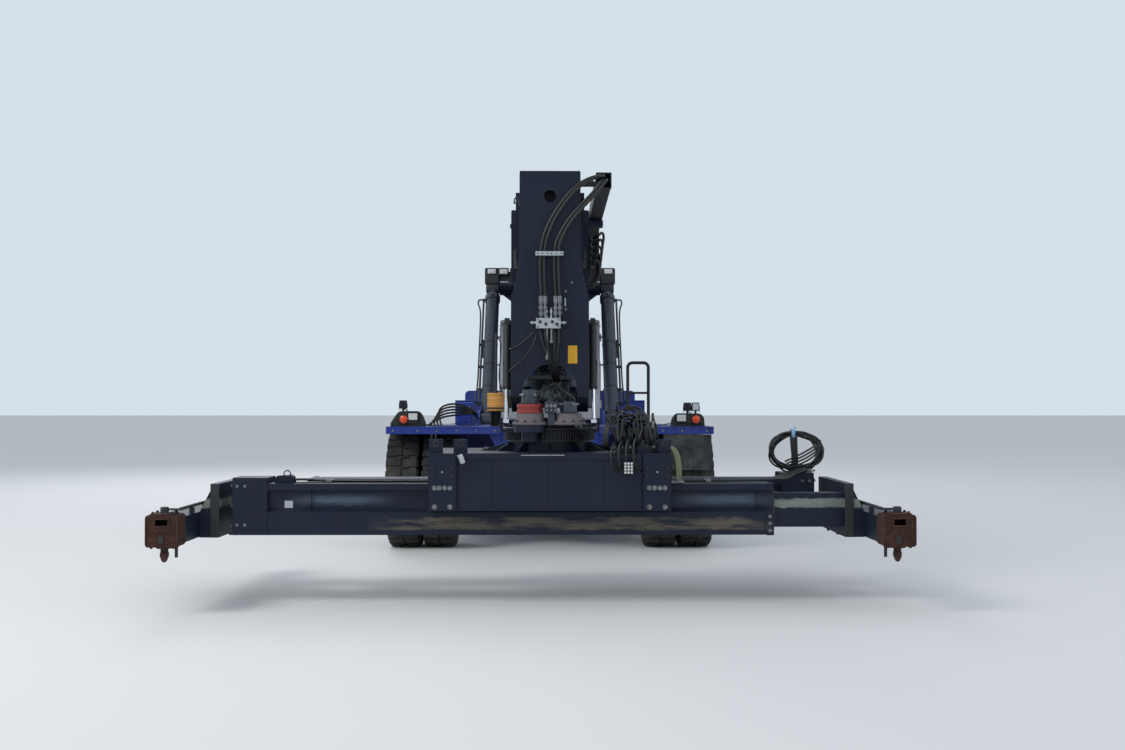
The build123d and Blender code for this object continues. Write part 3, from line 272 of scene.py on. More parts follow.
# Sprayed two-part enamel on steel plate: even and slightly orange-peeled, dulled by road dust that
# settles in broad patches and on ledges, with knocked-off chips and dark grease stains
enamelLook = {"chipMm": 70.0, "peelMm": 6.0, "dustPatchMm": 420.0, "stainMm": 900.0, "grainMm": 60.0}


def enamel(name, base, shade, dust, roughness=0.34, dustAmount=0.35, stain="#0c0c0e", stainAmount=0.35,
           shine=0.5):
    material, shader = newMaterial(name)
    where = addNode(material, "TexCoord")
    position = where.outputs["Object"]
    scale = {key[:-2]: 1000 / size for key, size in enamelLook.items()}
    patch = texture(material, position, "Noise", scale["dustPatch"], 6.0, 0.62)
    streak = texture(material, stretch(material, position, (6.0, 6.0, 0.7)), "Noise", scale["stain"], 8.0,
                     0.7)
    grain = texture(material, position, "Noise", scale["grain"], 5.0, 0.7)
    flake = texture(material, position, "Noise", scale["chip"], 9.0, 0.78)
    upward = addNode(material, "SeparateXYZ", {"Vector": where.outputs["Normal"]}).outputs["Z"]
    ledge = combine(material, "MULTIPLY", remap(material, upward, 0.55, 1.0, 0.0, dustAmount * 1.1), grain)
    dustMask = combine(material, "ADD", remap(material, patch, 0.42, 0.78, 0.0, dustAmount), ledge,
                       clamp=True)
    chips = combine(material, "MULTIPLY", remap(material, flake, 0.64, 0.66),
                    remap(material, patch, 0.50, 0.62, 0.0, 0.8))
    tone = mixTones(material, grain, base, shade)
    tone = mixTones(material, remap(material, streak, 0.5, 0.74, 0.0, stainAmount), tone, stain)
    tone = mixTones(material, chips, tone, "#3a2a24")
    feed(shader, {"Base Color": mixTones(material, dustMask, tone, dust), "Specular IOR Level": shine,
                  "Roughness": remap(material, dustMask, 0.0, 0.6, roughness, 0.78)})
    addBump(material, shader, texture(material, position, "Noise", scale["peel"], 2.0), 0.05, 0.002)
    return material


blueEnamel = enamel("royal_blue_enamel", "#17338f", "#132b7d", "#4d535f", dustAmount=0.26)
navyTones = {"base": "#101b31", "shade": "#0d1628", "dust": "#2b3037", "roughness": 0.42, "dustAmount": 0.22,
             "shine": 0.28}
navyEnamel = enamel("dark_navy_enamel", **navyTones)
blackEnamel = enamel("black_chassis_enamel", "#151619", "#1b1c20", "#44423f", roughness=0.5)
cabEnamel = enamel("pale_cab_enamel", "#b6bbc0", "#a9afb5", "#86827a", roughness=0.35, dustAmount=0.2)
greyEnamel = enamel("grey_cylinder_enamel", "#2b3442", "#252d3a", "#55585c", dustAmount=0.22)
ochreEnamel = enamel("ochre_canister_enamel", "#d29a4a", "#b98238", "#4a2d16", roughness=0.5, dustAmount=0.7,
                     stain="#5a3318", stainAmount=0.8)
redEnamel = enamel("red_brake_enamel", "#96302b", "#7e2824", "#54443e", roughness=0.5, dustAmount=0.45)
yellowEnamel = enamel("yellow_plate_enamel", "#e0a81c", "#d39a12", "#8a7440", roughness=0.45)
flangeEnamel = enamel("pinkish_grey_primer", "#6c6468", "#5f585c", "#3a3636", roughness=0.6)


# Scaled and rusted hot-rolled steel: matt brown with darker pits, orange blooms and some paint left
def rustedSteel():
    material, shader = newMaterial("rusted_steel")
    position = objectPlace(material)
    broad = texture(material, position, "Noise", 9.0, 9.0, 0.72)
    fine = texture(material, position, "Noise", 120.0, 6.0, 0.7)
    left = remap(material, texture(material, position, "Noise", 5.0, 7.0, 0.6), 0.50, 0.58, 0.0, 0.75)
    tone = mixTones(material, remap(material, broad, 0.38, 0.66), "#2f201b", "#5f3524")
    tone = mixTones(material, remap(material, fine, 0.45, 0.7), tone, "#1f1715")
    feed(shader, {"Base Color": mixTones(material, left, tone, "#191b24"), "Roughness": 0.86})
    addBump(material, shader, fine, 0.5, 0.003)
    return material


def simpleFinish(name, tones, film, roughness, bump=None, span=None, extra=None):
    # film: the texture that mixes two tones, over span (from, to, most); roughness: a constant, or
    # the film's range and what it becomes; bump: its texture (None for the film), strength, distance
    material, shader = newMaterial(name)
    position = objectPlace(material)
    patch = texture(material, position, *film)
    if len(tones) == 2:
        mask = remap(material, patch, span[0], span[1], 0.0, span[2]) if span else patch
        feed(shader, {"Base Color": mixTones(material, mask, *tones)})
    else:
        feed(shader, {"Base Color": hexColour(tones[0])})
    rough = remap(material, patch, *roughness) if isinstance(roughness, tuple) else roughness
    feed(shader, {"Roughness": rough, **(extra or {})})
    if bump:
        height = texture(material, position, *bump[0]) if bump[0] else patch
        addBump(material, shader, height, bump[1], bump[2])
    return material


# Greased bare steel: dark, uneven and half glossy where the grease lies thick
def greasedSteel(name, base, shade, roughness):
    return simpleFinish(name, (base, shade), ("Noise", 18.0, 7.0, 0.66),
                        (0.3, 0.7, roughness, roughness + 0.3),
                        (("Noise", 260.0, 3.0), 0.25, 0.001), (0.35, 0.68, 1.0), {"Metallic": 0.75})


# Carbon-black rubber, moulded: near black, dull, greyed by dust in its pores; the valve's side hoses instead
# get two pale tones that are a painted sunlit highlight
def mouldedRubber(name, base, dust, roughness, grainMm):
    return simpleFinish(name, (base, dust), ("Noise", 5.0, 8.0, 0.68), roughness,
                        (("Noise", 1000 / grainMm, 4.0), 0.25, 0.0015), (0.4, 0.75, 0.6))


# Moulded ABS or nylon: fine sand-blasted grain, slightly shiny
def mouldedPlastic(name, base, shade, roughness):
    return simpleFinish(name, (base, shade), ("Noise", 14.0, 5.0), roughness,
                        (("Noise", 900.0, 2.0), 0.15, 0.0005))


# Coloured polycarbonate lens: glossy, with the ribs of a Fresnel lens
def lampLens(name, text):
    colour = hexColour(text)
    return simpleFinish(name, (colour, tuple(c * 0.6 for c in colour[:3]) + (1.0,)), ("Wave", 40.0, 0.0),
                        0.15,
                        (None, 0.3, 0.001), extra={"Coat Weight": 0.6})


rust = rustedSteel()
gearSteel = greasedSteel("greased_gear_steel", "#26272a", "#4d4e50", 0.35)
boltSteel = greasedSteel("zinc_plated_bolt_steel", "#8d9093", "#5b5d60", 0.32)
castIron = greasedSteel("cast_iron_motor", "#33353a", "#53565b", 0.55)
# hard chrome on a ground rod: mirror bright, very slightly clouded
chrome = simpleFinish("hard_chrome", ("#d6d8da",), ("Noise", 40.0, 4.0), (0.0, 1.0, 0.08, 0.22),
                      extra={"Metallic": 1.0})
# milled aluminium: pale, satin, with fine parallel tool marks
aluminium = simpleFinish("milled_aluminium", ("#c9ccce", "#9da1a4"), ("Noise", 30.0, 5.0), 0.38,
                         (("Wave", 160.0, 1.5, 2.0), 0.12, 0.0005), extra={"Metallic": 0.9})
tyreRubber = mouldedRubber("tyre_tread_rubber", "#1a1a1b", "#55524c", 0.82, 5.0)
hoseRubber = mouldedRubber("hose_rubber", "#0c0c0e", "#1b1b1d", 0.42, 2.0)
# black hoses painted pale yellow-green all over: a painted sunlit highlight
paintedSunlitHose = mouldedRubber("hose_painted_sunlit_highlight", "#5f6546", "#8c936a", 0.5, 3.0)
flapRubber = mouldedRubber("mud_flap_rubber", "#202226", "#6a6d6f", 0.8, 6.0)
# tinted laminated glass: clear with a blue-green cast and a sharp reflection
glass = simpleFinish("tinted_glass", ("#d3ecec",), ("Noise", 3.0, 6.0), (0.4, 0.8, 0.02, 0.12),
                     extra={"IOR": 1.5, "Transmission Weight": 1.0})
blackPlastic = mouldedPlastic("black_abs", "#141416", "#1d1d20", 0.5)
# woven polyester seat cloth: dark, matt, with a soft sheen and visible yarns
clothCover = simpleFinish("woven_seat_cloth", ("#23252a", "#303339"), ("Noise", 25.0, 5.0), 0.9,
                          (("Wave", 130.0, 0.4), 0.4, 0.0008), extra={"Sheen Weight": 0.3})
orangeLens = lampLens("orange_lens", "#f04a08")
clearLens = lampLens("clear_lens", "#d8dde0")
redLens = lampLens("red_lens", "#b01010")
nylonPad = mouldedPlastic("nylon_slide_pad", "#4a473e", "#37352f", 0.55)
paleTie = mouldedPlastic("pale_blue_tie", "#7fb0d4", "#6a98ba", 0.5)
# near-black discs that stand in for the heat shield's holes: painted shade
holeShadeBlack = mouldedPlastic("painted_hole_shade", "#060606", "#0c0b0b", 0.95)
mirrorGlass = greasedSteel("mirror_glass", "#c9ced2", "#b4b9bd", 0.04)
screenGlass = mouldedPlastic("screen_glass", "#0c1418", "#10202a", 0.08)
print("materials made:", len(bpy.data.materials))


# Beam and tube paint: the dark navy enamel, rubbed down to primer and scuffed steel in a band where
# the beams slide (wear: middle, reach and least share), hazy webs, and rust at the corner boxes
def beamFinish(name, bandLow, bandHigh, wear, cornerX, cornerY, primerTones, hazeAmount):
    material = enamel(name, **navyTones)
    shader = next(node for node in material.node_tree.nodes if node.type == "BSDF_PRINCIPLED")
    painted, roughPaint = (shader.inputs[socket].links[0].from_socket for socket in ("Base Color",
        "Roughness"))
    position = objectPlace(material)
    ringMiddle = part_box("slew_ring")[0][1] + 0.402
    centred = addNode(material, "Mapping", {"Vector": position, "Location": (0, -ringMiddle, 0)})
    axes = addNode(material, "SeparateXYZ", {"Vector": centred.outputs[0]}).outputs
    wobble = remap(material, texture(material, position, "Noise", 7.0, 8.0, 0.7), 0.0, 1.0, -0.03, 0.03)
    height = combine(material, "ADD", axes["Z"], wobble)
    band = combine(material, "MULTIPLY", remap(material, height, bandLow, bandLow + 0.015),
                   remap(material, height, bandHigh - 0.015, bandHigh, 1.0, 0.0))
    scuff = texture(material, stretch(material, position, (0.6, 5.0, 60.0)), "Noise", 2.0, 8.0, 0.75)
    reach = distanceFrom(material, combine(material, "ADD", axes["X"], wobble), wear[0])
    inside = remap(material, reach, wear[1] - 0.35, wear[1], 1.0, 0.0)
    blotch = texture(material, stretch(material, position, (1.0, 3.0, 6.0)), "Noise", 2.6, 7.0, 0.65)
    rubbed = combine(material, "MULTIPLY", combine(material, "MULTIPLY", band, inside),
                     remap(material, blotch, 0.40, 0.56, wear[2], 1.0))
    tone = mixTones(material, rubbed, painted, mixTones(material, scuff, *primerTones))
    farOut = combine(material, "ABSOLUTE", axes["X"])
    haze = remap(material, distanceFrom(material, farOut, 1.62), 0.15, 0.48, 0.75, 0.0)
    web = remap(material, distanceFrom(material, height, 0.875), 0.015, 0.055, hazeAmount, 0.0)
    hazy = combine(material, "MULTIPLY", combine(material, "MULTIPLY", haze, web), scuff)
    tone = mixTones(material, hazy, tone, "#6f7f92")
    far = [remap(material, combine(material, "ADD", combine(material, "ABSOLUTE", axes[axis]), wobble),
                 at - 0.02, at + 0.02)
           for axis, at in (("X", cornerX), ("Y", cornerY))]
    corner = combine(material, "MULTIPLY", *far)
    pits = texture(material, position, "Noise", 26.0, 8.0, 0.7)
    rusty = mixTones(material, remap(material, pits, 0.35, 0.65), "#241b19", "#4c2e22")
    rough = combine(material, "ADD", roughPaint, combine(material, "MULTIPLY", corner, 0.4), clamp=True)
    feed(shader, {"Base Color": mixTones(material, corner, tone, rusty), "Roughness": rough})
    return material


beamEnamel = beamFinish("beam_enamel_worn_and_rusted", 0.80, 0.885, (0.0, 9.0, 0.75), 2.76, 0.99,
                        ("#8f988f", "#5f665f"), 0.0)
tubeEnamel = beamFinish("tube_enamel_scuffed", 0.615, 0.735, (0.35, 1.75, 0.0), 9.0, 9.0,
                        ("#6d655a", "#3c3833"), 1.0)


# Lift rods: hard chrome up to the collar, dark paint on the eye, so that the pin's end doesn't shine
def rodFinish():
    material, shader = newMaterial("chrome_rod_with_painted_eye")
    foot, top = Vector((0, 1.33, 1.45)) + shift, Vector((0, 2.90, 3.30)) + shift
    way = (top - foot).normalized()
    position = objectPlace(material)
    along = addNode(material, "VectorMath", {0: position, 1: tuple(way)},
                    operation="DOT_PRODUCT").outputs["Value"]
    eyeFrom = top.dot(way) - 0.125
    eye = remap(material, along, eyeFrom, eyeFrom + 0.004)
    paint = mixTones(material, texture(material, position, "Noise", 14.0, 6.0), "#2b3442", "#3b4048")
    feed(shader, {"Base Color": mixTones(material, eye, "#c9ccd0", paint),
                  "Metallic": combine(material, "SUBTRACT", 1.0, eye),
                  "Roughness": remap(material, eye, 0.0, 1.0, 0.12, 0.5)})
    return material


rodChrome = rodFinish()

nodeFinish = {
    "chassis_frame": blueEnamel, "front_deck": blueEnamel, "mud_flap": flapRubber,
              "counterweight": blueEnamel,
    "engine_cover": blueEnamel, "engine_block": castIron, "lamp_housings": blackPlastic,
              "canister": ochreEnamel,
    "boom_pipes": blackEnamel, "boom_hoses": hoseRubber, "hose_coil": hoseRubber, "carrier_valves": castIron,
              "side_tanks": blueEnamel,
    "access_steps": blackEnamel, "handrail": blackEnamel, "cab_frame": cabEnamel, "cab_glass": glass,
    "cab_door": cabEnamel, "cab_door_glass": glass, "operator_seat": blackPlastic,
              "seat_cushions": clothCover,
    "cab_controls": blackPlastic, "drive_axle": blackEnamel, "steer_axle": blackEnamel,
    "outer_boom": navyEnamel, "inner_boom": navyEnamel, "boom_head": navyEnamel, "boom_lamps": blackPlastic,
    "hose_guide": blackEnamel, "valve_block": aluminium, "damper_barrels": blackEnamel, "damper_rods": chrome,
    "rotator_yoke": navyEnamel, "slew_motor": castIron, "slew_ring": gearSteel, "carrier": navyEnamel,
    "carrier_lamps": blackPlastic, "spreader_frame": tubeEnamel,
}
for side in ("left", "right"):
    nodeFinish["drive_hub_" + side] = blueEnamel
    nodeFinish["steer_hub_" + side] = blueEnamel
    nodeFinish["drive_tyres_" + side] = tyreRubber
    nodeFinish["steer_tyre_" + side] = tyreRubber
    nodeFinish["knuckle_" + side] = blackEnamel
    nodeFinish["lift_barrel_" + side] = greyEnamel
    nodeFinish["lift_rod_" + side] = rodChrome
    nodeFinish["beam_" + side] = beamEnamel
    for end in ("front", "rear"):
        nodeFinish["twistlock_" + end + "_" + side] = rust
for nodeName, finish in nodeFinish.items():
    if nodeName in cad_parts:
        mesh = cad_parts[nodeName].data
        mesh.materials.clear()
        mesh.materials.append(finish)
print("CAD nodes finished:", len(nodeFinish))


# Tyres: moulded lugs in two staggered rows, each lug split by a cut, sidewalls with raised rings

tyreLook = {"radius": 0.69, "rootDepth": 0.022, "halfWidth": 0.1925, "treadHalf": 0.1585, "ribHalf": 0.0965,
            "rimRadius": 0.3123, "lugs": 16, "cut": 0.045}


def addWedge(bm, centre, acrossRange, ring, angles, taper, bevel=0.004):
    # a block on a wheel: across the wheel, between two radii, between two angles; its top is narrowed
    corners = []
    for across, inward in ((acrossRange[0], 1), (acrossRange[1], -1)):
        for radius, narrow in ((ring[0], 0.0), (ring[1], taper)):
            for angle, turn in ((angles[0], narrow), (angles[1], -narrow)):
                place = angle + turn
                corners.append((centre[0] + across + inward * narrow * 0.35,
                                centre[1] + radius * math.cos(place),
                                centre[2] + radius * math.sin(place)))
    verts = [bm.verts.new(corner) for corner in corners]
    faces = [bm.faces.new([verts[i] for i in order]) for order in
             ((0, 1, 3, 2), (4, 6, 7, 5), (0, 4, 5, 1), (2, 3, 7, 6), (0, 2, 6, 4), (1, 5, 7, 3))]
    if bevel:
        edges = list({edge for face in faces for edge in face.edges})
        bmesh.ops.bevel(bm, geom=edges, offset=bevel, segments=1, affect="EDGES", profile=0.5, material=-1)


def addTyre(bm, centre):
    look = tyreLook
    top, root = look["radius"], look["radius"] - look["rootDepth"]
    half, tread, rib, rim = look["halfWidth"], look["treadHalf"], look["ribHalf"], look["rimRadius"]
    wall = [(rim, half - 0.052), (rim + 0.012, half - 0.036), (rim + 0.035, half - 0.027),
            (rim + 0.06, half - 0.012),
            (0.42, half - 0.004), (0.43, half + 0.002), (0.445, half + 0.002), (0.452, half - 0.002),
            (0.52, half - 0.001),
            (0.545, half + 0.001), (0.56, half - 0.004), (0.60, half - 0.012), (0.632, half - 0.024),
            (root, tread + 0.006)]
    profile = [(radius, half + across) for radius, across in reversed(wall)]
    left = [(radius, half - across) for radius, across in wall]
    outline = left + [(root, half - rib), (root, half + rib)] + profile
    start = (centre[0] - half, centre[1], centre[2])
    end = (centre[0] + half, centre[1], centre[2])
    addTurned(bm, outline + [outline[0]], start, end, 72)
    pitch = 2 * math.pi / look["lugs"]
    for side in (-1, 1):
        turn = 0.0 if side > 0 else pitch / 2
        for index in range(look["lugs"]):
            middle = index * pitch - math.pi / 2 + turn
            for low, high in ((-0.40, -look["cut"]), (look["cut"], 0.40)):
                across = sorted((side * (rib - 0.03), side * (tread + 0.012)))
                addWedge(bm, centre, across, (root - 0.03, top),
                         (middle + low * pitch, middle + high * pitch), 0.008)
                shoulder = sorted((side * (tread - 0.01), side * (half - 0.006)))
                addWedge(bm, centre, shoulder, (root - 0.075, root - 0.004),
                         (middle + (low + 0.02) * pitch, middle + (high - 0.02) * pitch), 0.004, 0.0)
    for index in range(2 * look["lugs"]):
        middle = (index + 0.5) * pitch / 2 - math.pi / 2
        for side in (-1, 1):
            across = sorted((side * 0.006, side * (rib - 0.022)))
            swing = side * 0.05 * pitch
            addWedge(bm, centre, across, (root - 0.03, top), (middle - 0.21 * pitch + swing,
                                                              middle + 0.21 * pitch + swing),
                     0.006)


# Rims: the lock ring's lip, a bead flange and a ring of wheel nuts on the disc, a hub cap and a valve
def addRimTrim(bm, centre, side, discAt, capRadius, nuts, nutRing):
    outer = centre[0] + side * 0.183
    for radius, thick in ((0.309, 0.009), (0.296, 0.006)):
        ring = [(radius - 0.012, 0.0), (radius, -0.004), (radius + thick * 0.4, thick),
                (radius - 0.012, thick * 1.4)]
        start = (outer, centre[1], centre[2])
        end = (outer + side * 0.02, centre[1], centre[2])
        addTurned(bm, ring + [ring[0]], start, end, 48)
    for dy, dz in around(nuts, nutRing) if nuts else ():
        place = (discAt, centre[1] + dy, centre[2] + dz)
        addHexBolts(bm, [place], (side, 0, 0), 0.036, 0.034)
        addRod(bm, place, (place[0] + side * 0.052, place[1], place[2]), 0.011, 10)
    cap = [(0.0, 0.05), (capRadius * 0.55, 0.047), (capRadius * 0.8, 0.036), (capRadius, 0.022),
           (capRadius + 0.006, 0.0),
           (capRadius - 0.02, -0.004)]
    addTurned(bm, cap, (discAt, centre[1], centre[2]), (discAt + side * 0.05, centre[1], centre[2]), 32)
    addHexBolts(bm, [(discAt + side * 0.03, centre[1] + dy, centre[2] + dz)
                     for dy, dz in around(6, capRadius * 0.86, math.pi / 6)], (side, 0, 0), 0.014, 0.014)
    addRod(bm, (discAt, centre[1] + 0.262, centre[2]), (discAt + side * 0.075, centre[1] + 0.262, centre[2]),
           0.0055, 10)


# Spreader: welds, bolts, blank plates and slide pads on the two tubes

spreaderPlaces = {"rest": -0.145, "middleY": -4.18, "tubeY": 0.39, "tubeHalf": 0.17, "webHalf": 0.128,
                  "low": 0.58,
                  "boxTop": 0.77, "flangeLow": 0.955, "top": 1.01, "closed": 2.52, "opened": 2.03,
                  "capLength": 0.29}


def addWeld(bm, start, end, size=0.007, step=0.03):
    # a weld bead: short overlapping lumps along the seam
    way = Vector(end) - Vector(start)
    count = max(2, int(way.length / step))
    for index in range(count):
        first = Vector(start) + way * index / count
        last = Vector(start) + way * (index + 1) / count
        addRod(bm, first, last, size * (0.85 + 0.15 * (index % 3) / 2), 6, size * 0.95)


def makeSpreaderTrim():
    at = spreaderPlaces
    trim, bolts, pads, pale = newBmesh(), newBmesh(), newBmesh(), newBmesh()
    for end in (-1, 1):
        middle = at["middleY"] + end * at["tubeY"]
        closed, opened = at["rest"] + end * at["closed"], at["rest"] - end * at["opened"]
        inner = closed - end * at["capLength"]
        for face in (-1, 1):
            web = middle + face * (at["webHalf"] + 0.001)
            addWeld(trim, (inner, web, at["boxTop"] + 0.031), (opened, web, at["boxTop"] + 0.031), 0.006,
                    0.09)
            addWeld(trim, (inner, web, at["flangeLow"] - 0.001), (opened, web, at["flangeLow"] - 0.001),
                    0.006, 0.09)
            lip = middle + face * at["tubeHalf"]
            addBlock(trim, (opened, lip, at["low"] - 0.004),
                     (opened + end * 0.065, lip + face * 0.012, at["boxTop"] + 0.004), 0.004)
            addBlock(trim, (opened, lip, at["flangeLow"] - 0.004),
                     (opened + end * 0.05, lip + face * 0.010, at["top"] + 0.004), 0.004)
            # slide-pad keepers by the open end
            addHexBolts(bolts, [(opened + end * 0.034, lip + face * 0.012, z) for z in (0.615, 0.675, 0.735)],
                        (0, face, 0), 0.024, 0.014)
            # the closed end box: cover plate's bolts and its edge welds
            across = middle + face * (at["tubeHalf"] + 0.001)
            addHexBolts(bolts, [(closed - end * along, across, z) for along in (0.04, 0.105) for z in (0.665,
                0.99)],
                        (0, face, 0), 0.022, 0.016)
            addWeld(trim, (inner, across, at["low"] + 0.01), (inner, across, at["top"] + 0.04), 0.005, 0.03)
            # the outside's stay clear of the carrier's hooks at full side shift
            for along in ((0.36, 4.13) if face == end else (0.36, 1.35, 2.2, 3.05, 4.13)):
                place = inner - end * along
                addBlock(trim, (place - 0.004, web, at["boxTop"] + 0.03),
                         (place + 0.004, web + face * 0.030, at["flangeLow"]), 0.002)
        # nylon slide pads seen in the open end around the beam
        for low, high in (((-0.112, 0.927), (0.112, 0.945)), ((-0.112, 0.618), (0.112, 0.638))):
            addBlock(pads, (opened, middle + low[0], low[1]),
                     (opened - end * 0.014, middle + high[0], high[1]), 0.003)
        for across in (-0.118, 0.102):
            addBlock(pads, (opened, middle + across, 0.66),
                     (opened - end * 0.014, middle + across + 0.016, 0.91), 0.003)
        addBlock(trim, (closed, middle - 0.13, 0.62),
                 (closed + end * 0.012, middle + 0.13, 1.02), 0.004)
        addHexBolts(bolts, [(closed + end * 0.012, middle + y, z) for y in (-0.1, 0.1) for z in (0.65, 0.82,
            0.99)],
                    (end, 0, 0), 0.022, 0.014)
        addBlock(trim, (inner, middle - 0.075, at["top"]),
                 (inner - end * 1.2, middle + 0.075, at["top"] + 0.003), 0.001)
    # the blank plate, its ring and the rounded hose cover on the front tube's left
    front = at["middleY"] - at["tubeY"] - at["webHalf"]
    addBlock(pale, (-2.235, front - 0.004, 0.80), (-2.165, front - 0.0005, 0.865), 0.0015)
    addArc(trim, (-2.21, front - 0.020, 1.092), -0.028, 0.028, 0.005, 8, 0, 24)
    hood = [(-2.33, 1.012), (-2.33, 1.05), (-2.31, 1.072), (-2.20, 1.078), (-2.175, 1.06), (-2.17, 1.012)]
    addPlate(trim, [(x, front + 0.05, z) for x, z in hood], (0, 1, 0), 0.12)
    # cross members' gussets between the tubes
    inside = at["tubeY"] - at["tubeHalf"]
    for x in (-1.85, 0.0, 1.85):
        for side in (-1, 1):
            edge = at["rest"] + x + side * 0.075
            for end in (-1, 1):
                corner = at["middleY"] + end * inside
                outline = [(edge, corner, 0.94), (edge, corner - end * 0.11, 0.94), (edge, corner, 0.80)]
                addPlate(trim, outline, (side, 0, 0), 0.012)
    finishPiece("spreader_welds_and_lips", trim, tubeEnamel, "spreader")
    finishPiece("spreader_bolts", bolts, boltSteel, "spreader")
    finishPiece("spreader_slide_pads", pads, nylonPad, "spreader")
    finishPiece("spreader_blank_plate", pale, cabEnamel, "spreader")


makeSpreaderTrim()
print("spreader trim made")


# Corner boxes: a raised rim around the locking slot, the lower slot's cover, guide ribs, the bearing
# pad under the box, and on top the lock's lever with its link to the next corner

cornerPlaces = {"lockX": 2.9265, "lockY": 1.1295, "half": 0.13, "low": 0.545, "high": 0.80, "overhang": 0.091}


def makeCornerTrim(side):
    at, name = cornerPlaces, sideName(side)
    rest, middleY = spreaderPlaces["rest"], spreaderPlaces["middleY"]
    lockX = rest + side * at["lockX"]
    rusty, dark, link = newBmesh(), newBmesh(), newBmesh()
    for end in (-1, 1):
        face = middleY + end * (at["lockY"] + at["overhang"])
        lockY = middleY + end * at["lockY"]
        far = face + end * 0.008
        # the slot's rim
        for low, high in (((-0.062, 0.765), (0.062, 0.776)), ((-0.062, 0.704), (0.062, 0.715)),
                          ((-0.062, 0.715), (-0.050, 0.765)), ((0.050, 0.715), (0.062, 0.765))):
            addBlock(rusty, (lockX + low[0], face, low[1]), (lockX + high[0], far, high[1]), 0.003)
        # the small lower slot in its plate, left of the middle
        addBlock(dark, (lockX - 0.030, face, 0.575),
                 (lockX + 0.012, face + end * 0.003, 0.632), 0.001)
        for low, high in (((-0.036, 0.632), (0.018, 0.640)), ((-0.036, 0.567), (0.018, 0.575)),
                          ((-0.036, 0.575), (-0.030, 0.632)), ((0.012, 0.575), (0.018, 0.632))):
            addBlock(rusty, (lockX + low[0], face, low[1]),
                     (lockX + high[0], face + end * 0.006, high[1]), 0.001)
        # edge ribs, worn round
        for x in (-at["half"], at["half"] - 0.012):
            addBlock(rusty, (lockX + x, face, 0.575),
                     (lockX + x + 0.012, face + end * 0.007, 0.775), 0.003)
        # pad and collar around the lock, under the box
        addTurned(rusty, [(0.036, 0.0), (0.062, 0.0), (0.066, 0.006), (0.066, 0.014), (0.036, 0.014),
                          (0.036, 0.0)],
                  (lockX, lockY, at["low"] - 0.014), (lockX, lockY, at["low"]), 32)
        for x, y in ((-0.088, -0.06), (0.088, -0.06), (-0.088, 0.06), (0.088, 0.06)):
            addHexBolts(rusty, [(lockX + x, lockY + y, at["low"])], (0, 0, -1), 0.022, 0.012)
        # landing pin beside the lock
        pin = (lockX - side * 0.095, lockY)
        addTurned(dark, [(0.0, 0.0), (0.010, 0.002), (0.013, 0.010), (0.013, 0.09), (0.022, 0.092),
                         (0.022, 0.12)],
                  (*pin, 0.455), (*pin, 0.575), 20)
        # lid over the lock with its bolts, a lever and the link rod
        addBlock(rusty, (lockX - 0.095, lockY - 0.085, at["high"]),
                 (lockX + 0.095, lockY + 0.085, at["high"] + 0.012), 0.003)
        addHexBolts(rusty, [(lockX + x, lockY + y, at["high"] + 0.012) for x in (-0.075, 0.075)
                            for y in (-0.065, 0.065)],
                    (0, 0, 1), 0.022, 0.014)
        addTurned(link, [(0.0, 0.05), (0.028, 0.048), (0.034, 0.04), (0.034, 0.0), (0.05, 0.0),
                         (0.05, -0.012)],
                  (lockX, lockY, at["high"] + 0.012), (lockX, lockY, at["high"] + 0.062), 24)
        lever = Vector((lockX - side * 0.11, lockY - end * 0.05, at["high"] + 0.04))
        addBlock(link, (min(lockX, lever.x) - 0.012, min(lockY, lever.y) - 0.012, at["high"] + 0.032),
                 (max(lockX, lever.x) + 0.012, max(lockY, lever.y) + 0.012, at["high"] + 0.046), 0.004)
    # link rod between the levers, its cylinder and clamps, on the end beam
    rodX = lockX - side * 0.11
    y0, y1 = middleY - at["lockY"] + 0.05, middleY + at["lockY"] - 0.05
    addRod(link, (rodX, y0, at["high"] + 0.04), (rodX, y1, at["high"] + 0.04), 0.013, 16)
    cylinderAt = middleY + 0.15
    addRod(link, (rodX, cylinderAt - 0.16, at["high"] + 0.04), (rodX, cylinderAt + 0.16, at["high"] + 0.04),
           0.033, 24, bevel=0.006)
    for y in (cylinderAt - 0.13, cylinderAt + 0.13):
        addRod(link, (rodX, y, at["high"] + 0.06), (rodX, y, at["high"] + 0.095), 0.014, 6)
    for y in (-0.72, -0.3, 0.5, 0.8):
        addBlock(dark, (rodX - 0.02, middleY + y - 0.015, at["high"] - 0.025),
                 (rodX + 0.02, middleY + y + 0.015, at["high"] + 0.026), 0.003)
    # the upright plate's stiffening edges
    upright = rest + side * (at["lockX"] - 0.13 - 0.13)
    for end in (-1, 1):
        y = middleY + end * 0.56
        addBlock(dark, (upright - 0.037, y, 0.56), (upright + 0.037, y + end * 0.01, 1.01), 0.003)
    finishPiece("corner_boxes_trim_" + name, rusty, rust, "beam_" + name)
    finishPiece("corner_pins_and_clamps_" + name, dark, blackEnamel, "beam_" + name)
    finishPiece("lock_linkage_" + name, link, castIron, "beam_" + name, smooth=True)


for side in (-1, 1):
    makeCornerTrim(side)
print("corner boxes made")


# Twistlocks: a forged head with a pointed tip on a turned neck, in place of the plain one

